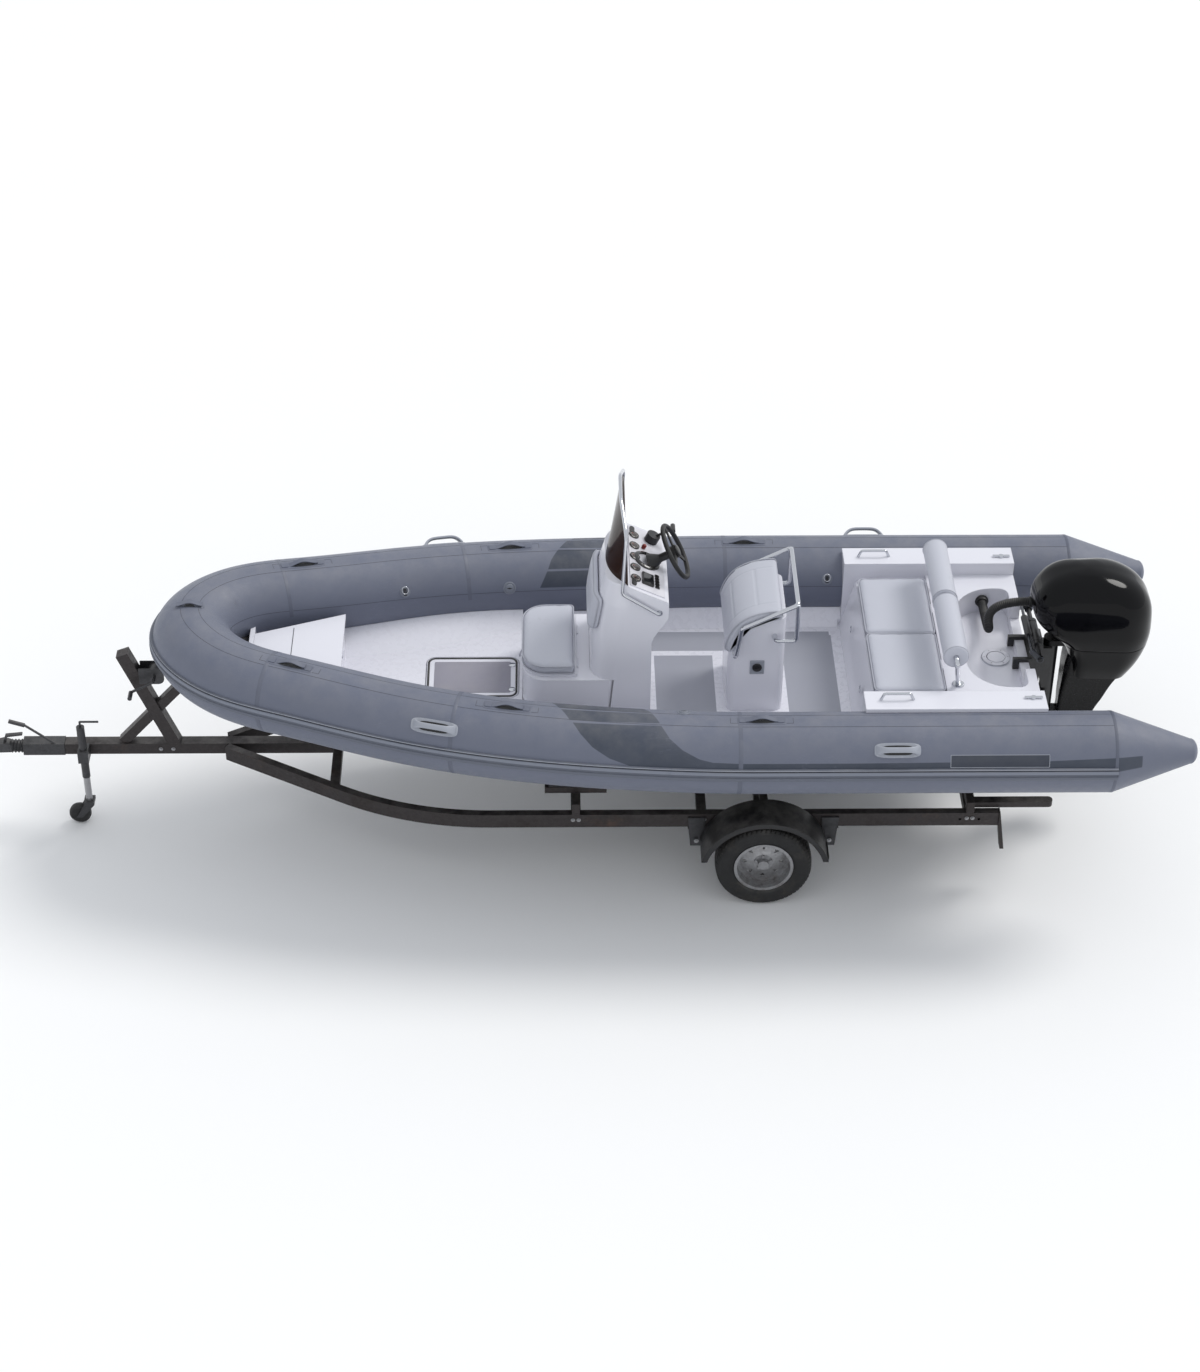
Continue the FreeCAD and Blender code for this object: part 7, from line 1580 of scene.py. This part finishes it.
def hex_bolt(form, spot, out, radius):
    """A washer and a six-sided head with a domed end."""
    washer = ((0.001, 0.0), (radius * 1.5, 0.0), (radius * 1.5, 0.0022), (0.001, 0.0022))
    head = ((0.001, 0.0022), (radius, 0.0022), (radius, 0.008), (radius * 0.86, 0.0095), (0.001, 0.0095))
    for shape, sides in ((washer, 20), (head, 6)):
        form.lathe(shape, sides, (spot, out, unit(np.cross(out, [0.31, 0.52, 0.79]))))


def circle_spots(centre, radius, angles, rise):
    """Places round a level circle."""
    return [centre + np.array([radius * math.cos(a), radius * math.sin(a), rise]) for a in angles]


def build_fittings():
    """The battery switch, the locker's seam, the well plate, and the latches and feet's screws."""
    form = Form()
    # battery switch in the helm plinth's port side
    spot = datum(-19, 250.6, -126)
    rows = [(1.0, 0.0), (1.0, 0.004), (0.94, 0.006), (0.80, 0.006), (0.78, 0.003), (0.05, 0.003)]
    form.skin(placed(stacked(block(0.045, 0.052, 0.006, 5), rows), spot, Y_AXIS, X_AXIS))
    knob = ((0.001, 0.003), (0.030, 0.003), (0.030, 0.010), (0.025, 0.014), (0.001, 0.014))
    form.lathe(knob, 32, (spot, Y_AXIS, X_AXIS), mark=1)
    grip = ((0.001, 0.013), (0.020, 0.013), (0.018, 0.024), (0.001, 0.025))
    form.lathe(grip, 4, (spot, Y_AXIS, X_AXIS), [1.0, 0.3, 1.0], mark=1)
    screw_heads(form, [spot + [dx, 0.005, dz] for dx in (-0.037, 0.037) for dz in (-0.044, 0.044)],
                Y_AXIS, 0.004, 0.002, mark=2)
    # catch and lever on the console seat's front
    catch_at = np.array([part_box("console_seat_box")[1].x + SEAT_GAP, 0.0, DATUM_Z - 0.172])
    base = ((0.001, 0.0), (0.017, 0.0), (0.018, 0.003), (0.015, 0.006), (0.001, 0.007))
    form.lathe(base, 28, (catch_at, X_AXIS, Z_AXIS), [1.5, 0.8, 1.0], mark=3)
    lever = [(0.0, 0.0, 0.006), (-0.012, 0.0, 0.014), (-0.030, 0.0, 0.020), (-0.046, 0.0, 0.018)]
    form.skin(placed(carried(lever, 0.0055, Y_AXIS), catch_at, X_AXIS, Z_AXIS), mark=3)
    form.make("battery_switch", "rig", ["handle_moulding", "black_plastic", "bolt_zinc", "stainless"],
              "black_plastic", 40)
    seam = datum(2905, 0, -100) + np.outer(np.linspace(-0.150, 0.150, 9), Y_AXIS) + Z_AXIS * 0.0004
    section = [(0.0022, 0.0006), (-0.0022, 0.0006), (-0.0022, -0.0012), (0.0022, -0.0012)]
    Form().skin(carried(seam, section, X_AXIS)).make("locker_seam", "rig", "seam_line", "white_gelcoat", 40)

    # the well's screw-out plate: its rim, its disc and a ring of screws
    plate = Form()
    centre = datum(-1564, 0, -250) + Z_AXIS * 0.0086
    rim = ((0.060, 0.0), (0.090, 0.0), (0.089, 0.003), (0.062, 0.004))
    plate.lathe(rim, 48, (centre, Z_AXIS, X_AXIS), endless=True)
    disc = ((0.001, 0.0), (0.057, 0.0), (0.055, 0.003), (0.001, 0.0035))
    plate.lathe(disc, 48, (centre, Z_AXIS, X_AXIS))
    screw_heads(plate, circle_spots(centre, 0.075, np.linspace(0, 2 * math.pi, 7)[:-1], 0.0035),
                Z_AXIS, 0.004, 0.0015, mark=1)
    plate.make("well_plate", "rig", ["white_gelcoat", "bolt_zinc"], "white_gelcoat", 40)

    # round pull latches on the bench front, and screws in the feet of the rolls' bar
    metal = Form()
    pull = ((0.001, 0.0), (0.024, 0.0), (0.025, 0.003), (0.018, 0.0045), (0.017, 0.0025), (0.001, 0.0025))
    for y in (-320.0, 320.0):
        metal.lathe(pull, 32, (datum(-668, y, -250), [1, 0, 0.15], Y_AXIS))
    for _, side in SIDES:
        screw_heads(metal, circle_spots(datum(-1250, 500 * side, -80), 0.028, (0.6, 2.7, 4.8), 0.0066),
                    Z_AXIS, 0.005, 0.0025)
    metal.make("latches", "rig", "stainless", "stainless", 40)


# X of the bolt groups, offsets within a group, Y, Z in millimetres, and the bolts' radius
BOLT_ROWS = (((1120, 330, -1360), (-18, 18), 779.3, -925, 0.009), ((-480, 360), (0,), 809.0, -1076, 0.010),
             ((3720, 3800), (0,), 40.3, -925, 0.009))


def build_trailer_bolts():
    """Bolts on the cross-members' ends, the spring hangers and the drawbar."""
    form = Form()
    for row, offsets, y, z, radius in BOLT_ROWS:
        for x in row:
            for _, side in SIDES:
                for dx in offsets:
                    hex_bolt(form, datum(x + dx, y * side, z), Y_AXIS * side, radius)
    form.make("trailer_bolts", "rig", "bolt_zinc", "trailer_steel", 35)


SENSOR_MM, FOCAL_PIXELS, PHOTO_PIXELS = 36.0, 2803.49, 1372
CAMERA_AT = (0.1703, 14.3227, 11.8433)
CAMERA_YAW, CAMERA_DIP, CAMERA_ROLL = -0.0219545, 0.6474058, 0.0091084
SUN_FROM = Vector((-0.75, -0.42, 1.0))


def build_stage():
    """A pale floor, an even sky, a soft sun from starboard aft and the camera of the photograph."""
    scene = bpy.context.scene
    stage = scene.boat_stage
    size = np.linspace(-60, 60, 9)
    x, y = np.meshgrid(size, size, indexing="ij")
    floor = Form().skin(np.stack([x, y, 0 * x - 0.0005], -1), around=False, caps=False).make(
        "floor", None, [], None, 60, outward=False)
    material, t, shader = blank("pale_floor")
    tone = t.range(t.noise(t.add("ShaderNodeTexCoord").outputs["Object"], 0.7, 4.0), 0.3, 0.7, 0.0, 0.05)
    t.feed(shader.inputs["Base Color"], t.mix(tone, tuple(stage.floor), tuple(0.9 * c for c in stage.floor)))
    t.feed(shader.inputs["Roughness"], 0.8)
    floor.data.materials.append(material)

    world = bpy.data.worlds.new("studio_sky")
    scene.world = world
    world.use_nodes = True
    world.node_tree.nodes.clear()
    t = Tree(world.node_tree)
    light = t.call("ShaderNodeBackground", 0, None, Color=(0.93, 0.96, 1.0, 1), Strength=stage.sky)
    shown = t.call("ShaderNodeBackground", 0, None, Color=(1.0, 1.0, 1.0, 1), Strength=1.0)
    mixer = t.add("ShaderNodeMixShader")
    seen = t.add("ShaderNodeLightPath").outputs["Is Camera Ray"]
    for socket, value in zip(mixer.inputs, (seen, light, shown)):
        t.feed(socket, value)
    t.feed(t.add("ShaderNodeOutputWorld").inputs[0], mixer.outputs[0])

    sun = bpy.data.lights.new("soft_sun", "SUN")
    sun.energy, sun.angle, sun.color = stage.key, stage.key_angle, (1.0, 0.985, 0.96)
    linked("soft_sun", sun).rotation_euler = SUN_FROM.to_track_quat("Z", "Y").to_euler()

    camera = bpy.data.cameras.new("photo_view")
    camera.sensor_width, camera.lens = SENSOR_MM, FOCAL_PIXELS * SENSOR_MM / PHOTO_PIXELS
    camera.clip_end = 200
    look = np.array([math.sin(CAMERA_YAW) * math.cos(CAMERA_DIP),
                     -math.cos(CAMERA_YAW) * math.cos(CAMERA_DIP), -math.sin(CAMERA_DIP)])
    right = unit(np.cross(look, Z_AXIS))
    up = np.cross(right, look)
    cos, sin = math.cos(CAMERA_ROLL), math.sin(CAMERA_ROLL)
    turn = Matrix(np.stack([cos * right + sin * up, cos * up - sin * right, -look], -1).tolist())
    scene.camera = linked("photo_view", camera)
    scene.camera.matrix_world = Matrix.Translation(CAMERA_AT) @ turn.to_4x4()
    scene.view_settings.view_transform = "Standard"


# ---- operators and panel


class BoatPiece:
    """Runs the builder of one piece or group of pieces"""
    bl_options = {"REGISTER", "UNDO"}
    builder = None

    def execute(self, context):
        type(self).builder()
        return {"FINISHED"}


def operator(name, label, builder):
    """An operator class for one builder, with the builder's own description."""
    body = {"bl_idname": f"boat.{name}", "bl_label": label, "__doc__": builder.__doc__.split(":")[0],
            "builder": staticmethod(builder)}
    return type(f"BOAT_OT_{name}", (BoatPiece, bpy.types.Operator), body)


OPERATORS = [operator(*row) for row in (
    ("stage", "Stage", build_stage), ("finishes", "Finishes", build_finishes),
    ("collar", "Collar", build_collar), ("strake", "Rubbing strake", build_strake),
    ("webbing", "Strap handles", build_webbing),
    ("carry", "Carrying handles", build_carry), ("valves", "Valves and rings", build_valves),
    ("bench", "Bench cushions", build_bench), ("console_seat", "Console cushion", build_console_seat),
    ("console_pad", "Console pad", build_console_pad), ("saddle", "Helm saddle", build_saddle),
    ("rolls", "Backrest rolls", build_rolls), ("tyres", "Tyres", build_tyres), ("cowl", "Cowl", build_cowl),
    ("hose", "Rigging hose", build_hose), ("dash", "Instruments", build_dash),
    ("hatch", "Hatch", build_hatch), ("fittings", "Deck fittings", build_fittings),
    ("bolts", "Trailer bolts", build_trailer_bolts),
)]


class BOAT_PT_panel(bpy.types.Panel):
    """Lists the boat's settings and the operators that build it"""
    bl_label = "Boat"
    bl_idname = "BOAT_PT_panel"
    bl_space_type = "VIEW_3D"
    bl_region_type = "UI"
    bl_category = "Boat"

    def draw(self, context):
        for settings in (context.scene.boat_colours, context.scene.boat_sizes, context.scene.boat_stage):
            box = self.layout.box()
            for name in settings.bl_rna.properties.keys():
                if name not in ("rna_type", "name"):
                    box.prop(settings, name)
        for kind in OPERATORS:
            self.layout.operator(kind.bl_idname)


CLASSES = [BoatColours, BoatSizes, BoatStage, *OPERATORS, BOAT_PT_panel]


def register():
    """Adds the classes and the scene's settings."""
    for kind in CLASSES:
        bpy.utils.register_class(kind)
    bpy.types.Scene.boat_colours = bpy.props.PointerProperty(type=BoatColours)
    bpy.types.Scene.boat_sizes = bpy.props.PointerProperty(type=BoatSizes)
    bpy.types.Scene.boat_stage = bpy.props.PointerProperty(type=BoatStage)


def unregister():
    """Takes them out again."""
    del bpy.types.Scene.boat_colours, bpy.types.Scene.boat_sizes, bpy.types.Scene.boat_stage
    for kind in reversed(CLASSES):
        bpy.utils.unregister_class(kind)


def main():
    """Builds every piece, and writes the box of the solids and that of the dressed boat."""
    register()
    for kind in OPERATORS:
        section, name = kind.bl_idname.split(".")
        getattr(getattr(bpy.ops, section), name)()


if __name__ == "__main__":
    main()
